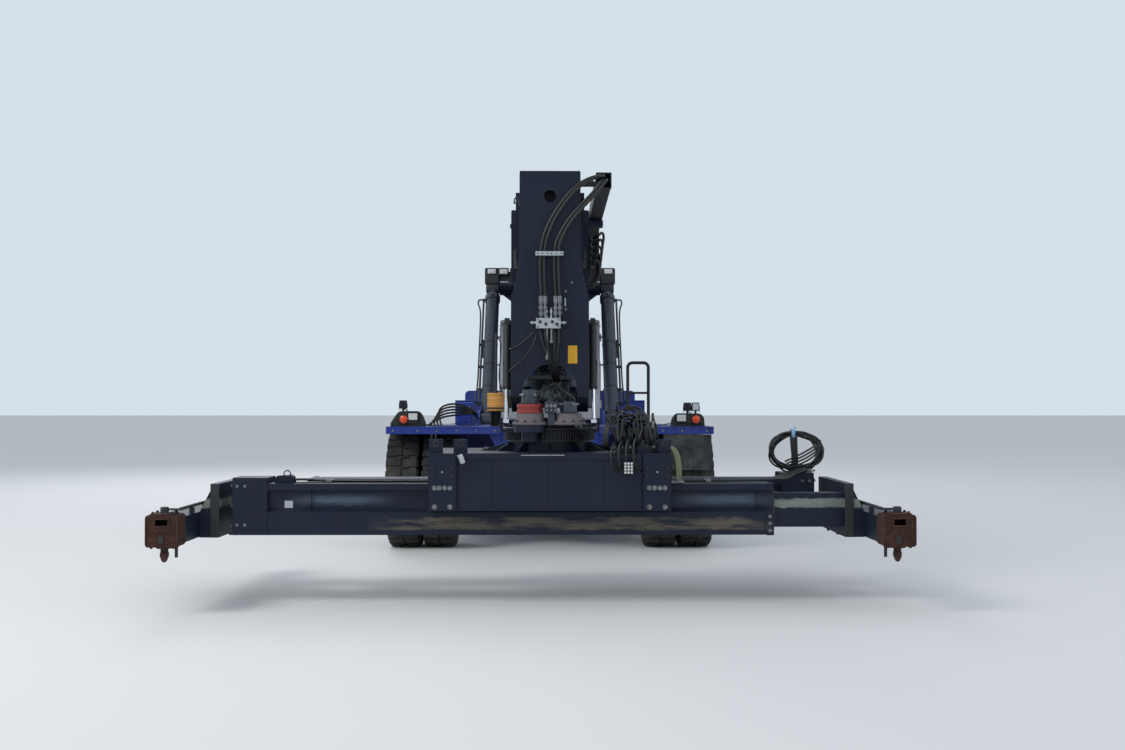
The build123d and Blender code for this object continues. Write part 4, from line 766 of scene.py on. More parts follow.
def makeTwistlock(end, side):
    name = "twistlock_%s_%s" % ("front" if end < 0 else "rear", sideName(side))
    x = spreaderPlaces["rest"] + side * cornerPlaces["lockX"]
    y = spreaderPlaces["middleY"] + end * cornerPlaces["lockY"]
    bm = newBmesh()
    addTurned(bm, [(0.0, 0.0), (0.028, 0.0), (0.031, 0.006), (0.031, 0.07), (0.060, 0.078), (0.060, 0.122),
                   (0.048, 0.130),
                   (0.030, 0.132), (0.030, 0.158), (0.026, 0.160), (0.0, 0.160)], (x, y, 0.485),
              (x, y, 0.645), 32)
    # rings of the head, from its neck to the tip: half width, half length, height
    rings = [(0.020, 0.026, 0.499), (0.0285, 0.047, 0.497), (0.029, 0.049, 0.490), (0.029, 0.049, 0.470),
             (0.027, 0.045, 0.462),
             (0.021, 0.032, 0.440), (0.015, 0.020, 0.425), (0.009, 0.012, 0.420)]
    squareness = 0.45

    def rounded(value):
        return math.copysign(abs(value) ** squareness, value)
    rows = [[bm.verts.new((x + halfX * rounded(across), y + halfY * rounded(along), z)) for across,
             along in around(32, 1.0)]
            for halfX, halfY, z in rings]
    for first, second in zip(rows, rows[1:]):
        for index in range(32):
            bm.faces.new((first[index], first[(index + 1) % 32], second[(index + 1) % 32], second[index]))
    bm.faces.new(rows[0])
    bm.faces.new(list(reversed(rows[-1])))
    finishPiece(name + "_forged", bm, rust, name, smooth=True, replaces=(name,))


for side in (-1, 1):
    for end in (-1, 1):
        makeTwistlock(end, side)
print("twistlocks made")


# Carrier: bolted end plates, the worn front panel's seams, lamps, lugs and their rods

carrierPlaces = {"front": -4.89, "proud": 0.02, "inside": 0.77, "half": 1.01, "low": 0.79, "high": 1.27}


def makeCarrierTrim():
    at = carrierPlaces
    plates, bolts, dark, pale = newBmesh(), newBmesh(), newBmesh(), newBmesh()
    face = at["front"] - at["proud"]
    for side in (-1, 1):
        x0, x1 = sorted((side * (at["inside"] + 0.004), side * (at["half"] - 0.004)))
        addBlock(plates, (x0 + 0.004, face - 0.012, at["low"] + 0.006),
                 (x1 - 0.004, face + 0.001, at["high"] - 0.03), 0.006, 3)
        middle = side * (at["inside"] + at["half"]) / 2
        for z, xs, size in ((1.148, (-0.082, 0.082), 0.022), (1.082, (-0.082, 0.082), 0.022),
                            (0.985, (-0.066, -0.026, 0.020, 0.062), 0.034), (0.828, (-0.066, 0.062), 0.036)):
            addHexBolts(bolts if size > 0.03 else dark, [(middle + x, face - 0.012, z) for x in xs],
                        (0, -1, 0), size, 0.018)
        addTurned(pale, [(0.0, 0.012), (0.006, 0.011), (0.010, 0.004), (0.011, 0.0)],
                  (middle, face - 0.012, 1.116), (middle, face - 0.024, 1.116), 16)
        # guide rollers' cover strips at the plate's rear, and a stiffening flange
        rear = -4.18 * 2 - face
        addBlock(plates, (x0 + 0.004, rear - 0.001, at["low"] + 0.006),
                 (x1 - 0.004, rear + 0.012, at["high"] - 0.03), 0.006, 3)
        for z, xs in ((1.148, (-0.082, 0.082)), (0.985, (-0.066, -0.026, 0.020, 0.062)),
                      (0.828, (-0.066, 0.062))):
            addHexBolts(bolts, [(middle + x, rear + 0.012, z) for x in xs], (0, 1, 0), 0.03, 0.018)
    # front panel: a folded top strip, a low stiffener, and weld seams upright across it and at both edges
    front = at["front"]
    addBlock(plates, (-0.765, front - 0.010, 1.215), (0.765, front + 0.002, 1.262), 0.004)
    addBlock(plates, (-0.765, front - 0.006, 0.796), (0.765, front + 0.002, 0.812), 0.003)
    for x in (-0.48, -0.02, 0.44):
        addWeld(plates, (x, front - 0.002, 0.815), (x, front - 0.002, 1.21), 0.004, 0.04)
    for x in (-0.765, 0.765):
        addWeld(plates, (x, front - 0.003, 0.80), (x, front - 0.003, 1.26), 0.006, 0.03)
    # top of the box: gussets of the ring's foot, a ribbed hatch, lifting eyes
    for index in range(10):
        angle = math.radians(18 + index * 36)
        way = Vector((math.cos(angle), math.sin(angle), 0))
        across = Vector((-way.y, way.x, 0)) * 0.006
        foot = Vector((0, -4.18, at["high"]))
        outline = [foot + way * 0.345 - across, foot + way * 0.345 + Vector((0, 0, 0.075)) - across,
                   foot + way * 0.37 + Vector((0, 0, 0.075)) - across, foot + way * 0.50 - across]
        addPlate(plates, outline, across, 0.012)
    for x in (-0.45, 0.45):
        addBlock(plates, (x - 0.16, -3.95, 1.27), (x + 0.16, -3.62, 1.278), 0.003)
        addHexBolts(bolts, [(x + i, y, 1.278) for i in (-0.14, 0.14) for y in (-3.93, -3.64)], (0, 0, 1),
                    0.02, 0.012)
    # bright edge scrape on the top strip, in front of the ring
    addBlock(pale, (-0.24, front - 0.0115, 1.252), (0.12, front - 0.0095, 1.258), 0.0008)
    # upright lugs: rounded heads with a pin hole, stiffened behind
    for low, high in ((-1.01, -0.895), (-0.805, -0.69), (0.735, 0.85), (0.905, 1.01)):
        middle = (low + high) / 2
        for y, way in ((front + 0.06, -1), (front + 0.10, 1)):
            addTurned(dark, [(0.014, 0.0), (0.030, 0.0), (0.030, 0.006), (0.014, 0.006), (0.014, 0.0)],
                      (middle, y, 1.35), (middle, y + way * 0.006, 1.35), 24)
        addPlate(plates, [(middle - 0.006, front + 0.10, 1.27), (middle - 0.006, front + 0.10, 1.36),
                          (middle - 0.006, front + 0.19, 1.27)],
                 (1, 0, 0), 0.012)
    for x in (-0.99, -0.955):
        addRod(dark, (x, front + 0.08, 1.27), (x, front + 0.08, 1.43), 0.007, 12)
    finishPiece("carrier_plates_and_seams", plates, navyEnamel, "carrier")
    finishPiece("carrier_large_bolts", bolts, boltSteel, "carrier")
    finishPiece("carrier_small_bolts_and_rods", dark, blackEnamel, "carrier")
    finishPiece("carrier_bright_marks", pale, aluminium, "carrier")


makeCarrierTrim()


# Work lamps on the carrier: the left one slants on its bracket, the right one is a square grid of diodes

def makeCarrierLamps():
    casing, lens, holder = newBmesh(), newBmesh(), newBmesh()
    start, end = Vector((-0.745, -4.965, 1.262)), Vector((-0.715, -4.955, 1.188))
    addTurned(casing, [(0.0, 0.0), (0.022, 0.0), (0.024, 0.004), (0.024, 0.072), (0.020, 0.078),
                       (0.0, 0.078)], start, end, 28)
    for share in (0.2, 0.35, 0.5, 0.65, 0.8):
        place = start.lerp(end, share)
        way = (end - start).normalized()
        addTurned(casing, [(0.023, 0.0), (0.0265, 0.001), (0.0265, 0.003), (0.023, 0.004)], place,
                  place + way * 0.004, 28)
    addBlock(holder, (-0.76, -4.952, 1.195), (-0.70, -4.91, 1.25), 0.004)
    addRod(holder, (-0.73, -4.955, 1.225), (-0.73, -4.885, 1.225), 0.012, 16)
    x, z, y = 0.650, 1.150, -4.952
    addBlock(holder, (x - 0.043, y - 0.002, z - 0.052), (x + 0.043, y + 0.05, z + 0.052), 0.008, 3)
    for row in range(4):
        for column in range(3):
            place = (x - 0.026 + column * 0.026, y - 0.002, z - 0.037 + row * 0.0247)
            addTurned(lens, [(0.0, 0.005), (0.007, 0.004), (0.0105, 0.0), (0.0105, -0.002)], place,
                      (place[0], place[1] - 0.005, place[2]), 14)
    for index in range(7):
        fin = z - 0.045 + index * 0.015
        addBlock(holder, (x - 0.036, y + 0.048, fin), (x + 0.036, y + 0.060, fin + 0.005), 0.001)
    finishPiece("left_carrier_lamp", casing, aluminium, "carrier", smooth=True)
    finishPiece("carrier_lamp_holders", holder, blackPlastic, "carrier", replaces=("carrier_lamps",))
    finishPiece("right_carrier_lamp_diodes", lens, clearLens, "carrier")


makeCarrierLamps()
print("carrier made")


# Valve cluster on the carrier's right: solenoid valves in rows, their coils and plugs, and hoses that
# arc from it over the front edge and to the spreader

def makeValveCluster():
    body, coils, metal, hoses = newBmesh(), newBmesh(), newBmesh(), []
    low, back = 1.2703, -4.76
    addBlock(body, (0.556, back - 0.004, low), (0.964, back + 0.194, low + 0.094), 0.006, 3)
    for index in range(5):
        x = 0.58 + index * 0.066
        addBlock(body, (x - 0.001, back + 0.017, low + 0.092), (x + 0.053, back + 0.173, low + 0.207), 0.005,
                 2)
        for end, length in ((-1, 0.085), (1, 0.075)):
            y = back + (0.017 if end < 0 else 0.173)
            addTurned(coils, [(0.0, 0.0), (0.019, 0.0), (0.022, 0.004), (0.022, length - 0.018),
                              (0.012, length - 0.015),
                              (0.010, length), (0.0, length)], (x + 0.026, y, low + 0.15),
                      (x + 0.026, y + end * length, low + 0.15), 20)
            addBlock(coils, (x + 0.010, y + end * 0.02, low + 0.168),
                     (x + 0.042, y + end * 0.052, low + 0.20), 0.004)
            addTurned(metal, [(0.0, 0.0), (0.012, 0.001), (0.014, 0.006), (0.014, 0.014), (0.0, 0.015)],
                      (x + 0.026, back - 0.004 if end < 0 else back + 0.194, low + 0.05),
                      (x + 0.026, back - 0.019 if end < 0 else back + 0.209, low + 0.05), 6)
        addTurned(metal, [(0.0, 0.0), (0.020, 0.0), (0.020, 0.016), (0.013, 0.018), (0.013, 0.042),
                          (0.017, 0.044), (0.017, 0.060), (0.0, 0.062)],
                  (x + 0.026, back + 0.095, low + 0.205), (x + 0.026, back + 0.095, low + 0.267), 6)
        hoses.append([(x + 0.026, back + 0.095, low + 0.255), (x + 0.03, back + 0.10, low + 0.34),
                      (x + 0.03, back + 0.18, low + 0.35 - 0.012 * index),
                      (0.80 + 0.03 * index, back + 0.30, low + 0.20),
                      (0.82 + 0.03 * index, back + 0.45, low + 0.03),
                      (0.82 + 0.03 * index, back + 0.58, low + 0.012)])
    finishPiece("valve_manifold", body, castIron, "carrier", replaces=("carrier_valves",))
    finishPiece("valve_coils", coils, blackPlastic, "carrier", smooth=True)
    finishPiece("valve_fittings", metal, boltSteel, "carrier")
    hosePiece("valve_rear_hoses", hoses, 0.011, "carrier")
    # the tangle over the valves: loops that leave a coil or a fitting, rise, cross and come back
    loose = random.Random(11)
    tangle = []
    for index in range(16):
        x = 0.58 + 0.36 * loose.random()
        over = x + loose.uniform(-0.14, 0.14)
        rise = low + 0.22 + 0.09 * loose.random()
        near = back - 0.02 - 0.10 * loose.random()
        tangle.append([(x, back + 0.10, low + 0.20), (x, back + 0.06, rise), (over, near + 0.02, rise + 0.02),
                       (over, near, rise - 0.06),
                       (max(0.57, min(0.97, over + loose.uniform(-0.06, 0.06))), near - 0.02, low + 0.08),
                       (max(0.57, min(0.97, over)), back - 0.005, low + 0.05)])
    for index in range(4):
        tangle.append([(0.60 + 0.02 * index, back + 0.12, low + 0.18),
                       (0.56, back + 0.02, low + 0.30 + 0.012 * index),
                       (0.50 - 0.012 * index, back - 0.06, low + 0.25),
                       (0.475 - 0.012 * index, back - 0.09, low + 0.12),
                       (0.48 - 0.01 * index, back - 0.06, low + 0.03), (0.53, back + 0.03, low + 0.014)])
    hosePiece("valve_hose_tangle", tangle, 0.0088, "carrier")
    front = carrierPlaces["front"]
    arcs = []
    for index in range(4):
        x = 0.58 + 0.062 * index
        arcs.append([(x, back - 0.01, low + 0.05), (x - 0.03, back - 0.09, low + 0.10 + 0.015 * index),
                     (x - 0.07, front - 0.02, low + 0.05 + 0.02 * index),
                     (x - 0.08, front - 0.05, low - 0.06), (x - 0.05, front - 0.03, low - 0.13),
                     (x + 0.01, front + 0.02, low - 0.16)])
    hosePiece("valve_front_hoses", arcs, 0.010, "carrier")
    # the hoses down the right side: black hoses, painted pale as a sunlit highlight
    right = []
    for index in range(5):
        y = back + 0.03 + 0.034 * index
        reach = 0.012 * index
        right.append([(0.95, y, low + 0.05), (1.00 + reach, y - 0.01, low + 0.055),
                      (1.045 + reach, y - 0.03, low - 0.01),
                      (1.06 + reach, y - 0.05, low - 0.10), (1.065 + reach, y - 0.06, low - 0.20),
                      (1.06 + reach, y - 0.065, low - 0.225)])
    hosePiece("valve_side_hoses", right, 0.009, "carrier", material=paintedSunlitHose)
    ends = newBmesh()
    for route in right:
        x, y, z = route[-1]
        addTurned(ends, [(0.0, 0.0), (0.011, 0.0), (0.011, 0.02), (0.014, 0.022), (0.014, 0.036),
                         (0.0, 0.038)], (x, y, z + 0.01), (x, y, z - 0.028), 6)
    addBlock(ends, (1.015, back - 0.06, low - 0.252), (1.13, back + 0.10, low - 0.241), 0.003)
    finishPiece("valve_side_hose_ends", ends, boltSteel, "carrier")


makeValveCluster()
print("valve cluster made")


# Slewing gear: the cover plate with its bolts, motors with a red brake band, and their fittings

rotatorPlaces = {"y": -4.18, "motorX": -0.17, "motorY": -4.61}


def makeTurretTrim():
    at = rotatorPlaces
    cover, bolts, red, flange, motor, metal = (newBmesh() for index in range(6))
    addTurned(cover, [(0.36, 0.0), (0.418, 0.0), (0.424, 0.006), (0.424, 0.020), (0.412, 0.028),
                      (0.36, 0.028), (0.36, 0.0)],
              (0, at["y"], 1.452), (0, at["y"], 1.480), 72)
    addHexBolts(bolts, [(dx, at["y"] + dy, 1.480) for dx, dy in around(28, 0.392)
                        if not 0.235 <= abs(dx) <= 0.345],
                (0, 0, 1), 0.024, 0.016)
    for x in (0.225, 0.262):
        addTurned(metal, [(0.0, 0.0), (0.014, 0.0), (0.014, 0.02), (0.018, 0.022), (0.018, 0.04),
                          (0.010, 0.042), (0.010, 0.052), (0.0, 0.053)],
                  (x, -4.575, 1.48), (x, -4.575, 1.533), 8)
    # the front motor: a flanged gearbox, a red brake band, the motor's own ribbed housing and its cap
    for x, y, big in ((at["motorX"], at["motorY"], True), (0.155, -4.60, False)):
        top = 1.80 if big else 1.70
        addTurned(flange, [(0.0, 0.0), (0.145, 0.0), (0.150, 0.005), (0.150, 0.024), (0.128, 0.030),
                           (0.118, 0.052), (0.118, 0.098), (0.0, 0.100)],
                  (x, y, 1.502), (x, y, 1.602), 40)
        addHexBolts(bolts, [(x + dx, y + dy, 1.531) for dx, dy in around(10, 0.134)], (0, 0, 1), 0.020, 0.013)
        if big:
            addTurned(red, [(0.0, 0.0), (0.108, 0.0), (0.112, 0.004), (0.112, 0.030), (0.106, 0.034),
                            (0.106, 0.044), (0.112, 0.048),
                            (0.112, 0.074), (0.106, 0.078), (0.0, 0.079)], (x, y, 1.602), (x, y, 1.681), 40)
        base = 1.681 if big else 1.602
        addTurned(motor, [(0.0, 0.0), (0.088, 0.0), (0.090, 0.008), (0.074, 0.016),
                          (0.070, top - base - 0.02), (0.066, top - base), (0.0, top - base + 0.004)],
                  (x, y, base), (x, y, top + 0.004), 32)
        for angle in (0.4, 1.5, 2.6, 3.9, 5.2):
            place = Vector((x + 0.068 * math.cos(angle), y + 0.068 * math.sin(angle), base + 0.075))
            addTurned(metal, [(0.0, 0.0), (0.013, 0.0), (0.013, 0.018), (0.009, 0.020), (0.009, 0.034),
                              (0.0, 0.035)], place,
                      place + Vector((0.035 * math.cos(angle), 0.035 * math.sin(angle), 0)), 6)
    addBlock(motor, (-0.045, -4.70, 1.60), (0.06, -4.62, 1.70), 0.006)
    addBlock(motor, (-0.02, -4.69, 1.50), (0.04, -4.63, 1.60), 0.004)
    for x in (-0.025, 0.01, 0.045):
        addTurned(metal, [(0.0, 0.0), (0.012, 0.0), (0.012, 0.018), (0.016, 0.020), (0.016, 0.032),
                          (0.0, 0.033)], (x, -4.70, 1.665), (x, -4.733, 1.665), 8)
        addTurned(metal, [(0.0, 0.0), (0.009, 0.0), (0.009, 0.02), (0.0, 0.021)], (x, -4.70, 1.63),
                  (x, -4.721, 1.63), 8)
    finishPiece("slew_cover_ring", cover, blackEnamel, "rotator", smooth=True)
    finishPiece("slew_cover_bolts", bolts, castIron, "rotator")
    finishPiece("slew_brake_band", red, redEnamel, "rotator", smooth=True, slot="blue_paint")
    finishPiece("slew_gearboxes", flange, flangeEnamel, "rotator", smooth=True, slot="cast_iron",
                replaces=("slew_motor",))
    finishPiece("slew_motors", motor, greyEnamel, "rotator", smooth=True, slot="cast_iron")
    finishPiece("slew_fittings", metal, boltSteel, "rotator")
    routes = []
    for index, (x, y) in enumerate(((-0.10, -4.66), (-0.12, -4.58), (0.09, -4.64), (0.21, -4.63),
                                    (0.04, -4.665))):
        routes.append([(x, y, 1.70), (x * 0.8 + 0.02, y - 0.05, 1.755), (x * 0.4, -4.60 + 0.02 * index, 1.80),
                       (0.02 + 0.02 * index, -4.50, 1.86)])
    hosePiece("slew_hoses", routes, 0.010, "rotator")
    # yoke: welds, pin keepers and damper brackets' bolts
    yoke = newBmesh()
    for side in (-1, 1):
        for y in (-4.30, -4.06):
            addHexBolts(yoke, [(side * 0.43, y, 1.50)], (0, 0, 1), 0.03, 0.02)
        addWeld(yoke, (side * 0.228, -4.38, 1.503), (side * 0.228, -3.98, 1.503), 0.006, 0.03)
        addWeld(yoke, (side * 0.342, -4.38, 1.503), (side * 0.342, -3.98, 1.503), 0.006, 0.03)
    finishPiece("yoke_welds_and_bolts", yoke, navyEnamel, "rotator")


makeTurretTrim()
print("turret made")


# Boom head: bolted tilt pins, blank yellow plate, valve block with fittings, four hoses through a
# clamp, the shackle on the left, and the loose hoses that hang through the arch to the motors

headPlaces = {"front": -4.45, "half": 0.262, "legOutside": 0.335, "hole": (0.0, -4.45, 3.48)}


def addFitting(bm, place, way, radius, length, sides=6):
    start = Vector(place)
    end = start + Vector(way).normalized() * length
    addTurned(bm, [(0.0, 0.0), (radius, 0.0), (radius, length * 0.24), (radius * 0.72, length * 0.27),
                   (radius * 0.72, length * 0.48),
                   (radius * 1.12, length * 0.5), (radius * 1.12, length * 0.78),
                   (radius * 0.66, length * 0.80),
                   (radius * 0.66, length), (0.0, length)], start, end, sides)


def makeHeadTrim():
    at = headPlaces
    front = at["front"]
    seams, bolts, yellow, alloy, dark, hole = (newBmesh() for index in range(6))
    # the round hole in the head plate: a turned rim and a dark tube behind it
    x, y, z = at["hole"]
    addTurned(seams, [(0.052, 0.0), (0.061, 0.0), (0.063, 0.002), (0.063, 0.004), (0.052, 0.005),
                      (0.052, 0.0)],
              (x, front, z), (x, front - 0.005, z), 40)
    addTurned(hole, [(0.0595, 0.0), (0.0595, 0.16), (0.0, 0.16)], (x, front - 0.001, z),
              (x, front + 0.159, z), 40)
    # weld seams down both edges of the plate and across its folds
    for side in (-1, 1):
        y, edge, leg = front + 0.012, side * (at["half"] - 0.002), side * (at["legOutside"] - 0.002)
        for first, last in (((edge, y, 3.69), (edge, y, 2.88)),
                            ((edge, y, 2.88), (side * at["legOutside"], y, 2.56)),
                            ((leg, y, 2.56), (leg, y, 1.75))):
            addWeld(seams, first, last, 0.006, 0.05)
        # tilt pin: keeper plate, two bolts and a grease nipple on each boss
        pin = side * (at["legOutside"] + 0.001)
        inner = side * 0.2345
        addTurned(dark, [(0.0, 0.0008), (0.046, 0.0008), (0.050, 0.0)], (pin - side * 0.0005, -4.18, 1.74),
                  (pin + side * 0.0005, -4.18, 1.74), 32)
        addBlock(dark, (inner, -4.25, 1.845), (inner - side * 0.006, -4.11, 1.885), 0.002)
        # damper eye bolts and the head's side ribs
        addHexBolts(bolts, [(side * 0.408, -4.20, 2.40)], (side, 0, 0), 0.04, 0.02)
        for z0 in (2.20, 2.62, 3.05):
            x = side * (at["legOutside"] if z0 < 2.5 else at["half"])
            addWeld(seams, (x, -4.42, z0), (x, -4.05, z0), 0.005, 0.04)
    for x, z in ((0.190, 2.73), (0.1357, 2.655), (0.1357, 2.50)):
        addHexBolts(bolts, [(x, front, z)], (0, -1, 0), 0.018, 0.012)
    addBlock(yellow, (0.155, front - 0.0035, 2.03), (0.236, front - 0.0005, 2.185), 0.001)
    addBlock(alloy, (0.126, front - 0.003, 2.525), (0.137, front - 0.0005, 2.595), 0.001)
    # valve block: drilled aluminium with plugs, cartridge heads and a mounting foot
    low, high, near = 2.33, 2.418, front - 0.085
    for index, x in enumerate((-0.085, -0.035, 0.02, 0.06)):
        addTurned(dark, [(0.0, -0.004), (0.010, -0.004), (0.011, 0.0), (0.014, 0.0), (0.015, 0.003),
                         (0.0, 0.003)] if index % 2 else
                  [(0.0, 0.012), (0.012, 0.012), (0.014, 0.010), (0.014, 0.0)],
                  (x, near, low + 0.055 - 0.02 * (index % 2)),
                  (x, near - 0.012, low + 0.055 - 0.02 * (index % 2)), 20)
    for x in (-0.105, 0.075):
        addHexBolts(bolts, [(x, near, low + 0.014), (x, near, high - 0.014)], (0, -1, 0), 0.013, 0.008)
    for side, x in ((-1, -0.12), (1, 0.09)):
        addFitting(alloy, (x, near + 0.04, low + 0.05), (side, 0, 0), 0.013, 0.05)
    for x in (-0.03, 0.01):
        addFitting(alloy, (x, near + 0.03, high), (0, 0, 1), 0.013, 0.09)
    finishPiece("head_welds", seams, navyEnamel, "boom_section")
    finishPiece("head_eye_tube", hole, blackEnamel, "boom_section", smooth=True)
    finishPiece("head_bolts", bolts, boltSteel, "boom_section")
    finishPiece("head_yellow_plate", yellow, yellowEnamel, "boom_section", slot="white_paint")
    finishPiece("head_keepers_and_plugs", dark, blackEnamel, "boom_section")
    finishPiece("head_valve_fittings", alloy, aluminium, "boom_section")


makeHeadTrim()


def makeHeadHoses():
    near = headPlaces["front"] - 0.062
    ways = ([(0.432, 3.654), (0.30, 3.615), (0.171, 3.514), (0.026, 3.317), (-0.06, 3.128), (-0.086, 2.974),
             (-0.088, 2.80), (-0.077, 2.60)],
            [(0.456, 3.620), (0.39, 3.525), (0.300, 3.430), (0.154, 3.274), (0.051, 3.086), (0.034, 2.974),
             (0.036, 2.80), (0.048, 2.60)])
    hoses, ferrules, guard, cords = [], newBmesh(), newBmesh(), []
    for way in ways:
        for step in (0.0, 0.034):
            route = [(way[0][0] + step, headPlaces["front"] + 0.45, way[0][1]),
                     (way[0][0] + step, headPlaces["front"] + 0.05, way[0][1])]
            route += [(x + step, near + (0.012 if index == 0 else 0.0), z) for index,
                      (x, z) in enumerate(way)]
            hoses.append(route)
            x = way[-1][0] + step
            addTurned(ferrules, [(0.0, 0.0), (0.017, 0.0), (0.021, 0.004), (0.021, 0.014), (0.019, 0.017),
                                 (0.021, 0.02), (0.021, 0.034), (0.019, 0.037),
                                 (0.021, 0.04), (0.021, 0.056), (0.017, 0.06), (0.017, 0.07)],
                      (x, near, 2.61), (x, near, 2.54), 20)
            addTurned(ferrules, [(0.014, 0.0), (0.014, 0.02), (0.023, 0.022), (0.023, 0.05), (0.016, 0.054),
                                 (0.016, 0.07), (0.022, 0.072), (0.022, 0.10),
                                 (0.012, 0.102), (0.012, 0.124)], (x, near, 2.544), (x, near, 2.418), 6)
    addTurned(ferrules, [(0.0, 0.0), (0.009, 0.0), (0.009, 0.14), (0.015, 0.142), (0.015, 0.165),
                         (0.0, 0.166)], (0.012, near, 2.37), (0.012, near, 2.204), 12)
    addRod(ferrules, (-0.026, headPlaces["front"] - 0.042, 2.06), (-0.026, headPlaces["front"] - 0.042, 2.33),
           0.0125, 16)
    addBlock(guard, (-0.125, near - 0.026, 2.955), (0.115, near + 0.061, 2.993), 0.004)
    for x in (-0.107, -0.065, -0.022, 0.013, 0.055, 0.098):
        addHexBolts(ferrules, [(x, near - 0.026, 2.974)], (0, -1, 0), 0.012, 0.010)
    hosePiece("head_hoses", hoses, 0.0142, "boom_section", sides=5)
    finishPiece("head_hose_ferrules", ferrules, boltSteel, "boom_section")
    finishPiece("head_hose_clamp", guard, aluminium, "boom_section", replaces=("boom_hoses",))
    # hoses from the block into the arch, and a loose loop at the left
    for index, (x, sag) in enumerate(((-0.09, 0.0), (-0.05, 0.02), (0.03, 0.03), (0.07, 0.05))):
        cords.append([(x, near + 0.02, 2.335), (x + 0.01, near, 2.24), (x * 0.6 + 0.02, near + 0.01, 2.12),
                      (0.01 + sag, near + 0.07, 1.97),
                      (0.03 + sag, near + 0.15, 1.88), (0.04 + sag, near + 0.21, 1.86)])
    hosePiece("head_arch_hoses", cords, 0.0115, "boom_section")
    edge = headPlaces["front"] - 0.012
    loop = [[(-0.12, near + 0.02, 2.27), (-0.15, near, 2.16), (-0.24, edge - 0.02, 2.06), (-0.32, edge, 1.99),
             (-0.349, edge, 1.97), (-0.349, edge + 0.06, 1.96)],
            [(-0.14, near + 0.03, 2.30), (-0.22, edge - 0.01, 2.22), (-0.30, edge, 2.17),
             (-0.347, edge, 2.15), (-0.347, edge + 0.06, 2.16)]]
    hosePiece("head_left_cables", loop, 0.0065, "boom_section")
    # shackle on the left cheek
    metal = newBmesh()
    addArc(metal, (-0.285, -4.42, 3.44), 0.026, 0.034, 0.006, 8, -1, 13)
    addRod(metal, (-0.318, -4.42, 3.425), (-0.255, -4.42, 3.425), 0.007, 12)
    addRod(metal, (-0.285, -4.42, 3.47), (-0.285, -4.42, 3.415), 0.005, 8)
    addBlock(metal, (-0.275, -4.436, 3.395), (-0.262, -4.404, 3.45), 0.003)
    finishPiece("head_shackle", metal, castIron, "boom_section", smooth=True)


makeHeadHoses()
print("boom head made")


# Lift cylinders: gland with its bolts, a pipe down the outer side with clamps and fittings, and the
# hose from the fitting at the top

liftPlaces = {"x": 0.80, "foot": (1.33, 1.45), "top": (2.90, 3.30), "gland": 2.2584}


def alongLift(side, distance, away=0.0, up=0.0):
    foot, top = liftPlaces["foot"], liftPlaces["top"]
    length = math.hypot(top[0] - foot[0], top[1] - foot[1])
    way = ((top[0] - foot[0]) / length, (top[1] - foot[1]) / length)
    return Vector((side * (liftPlaces["x"] + away), foot[0] + way[0] * distance - way[1] * up,
                   foot[1] + way[1] * distance + way[0] * up))


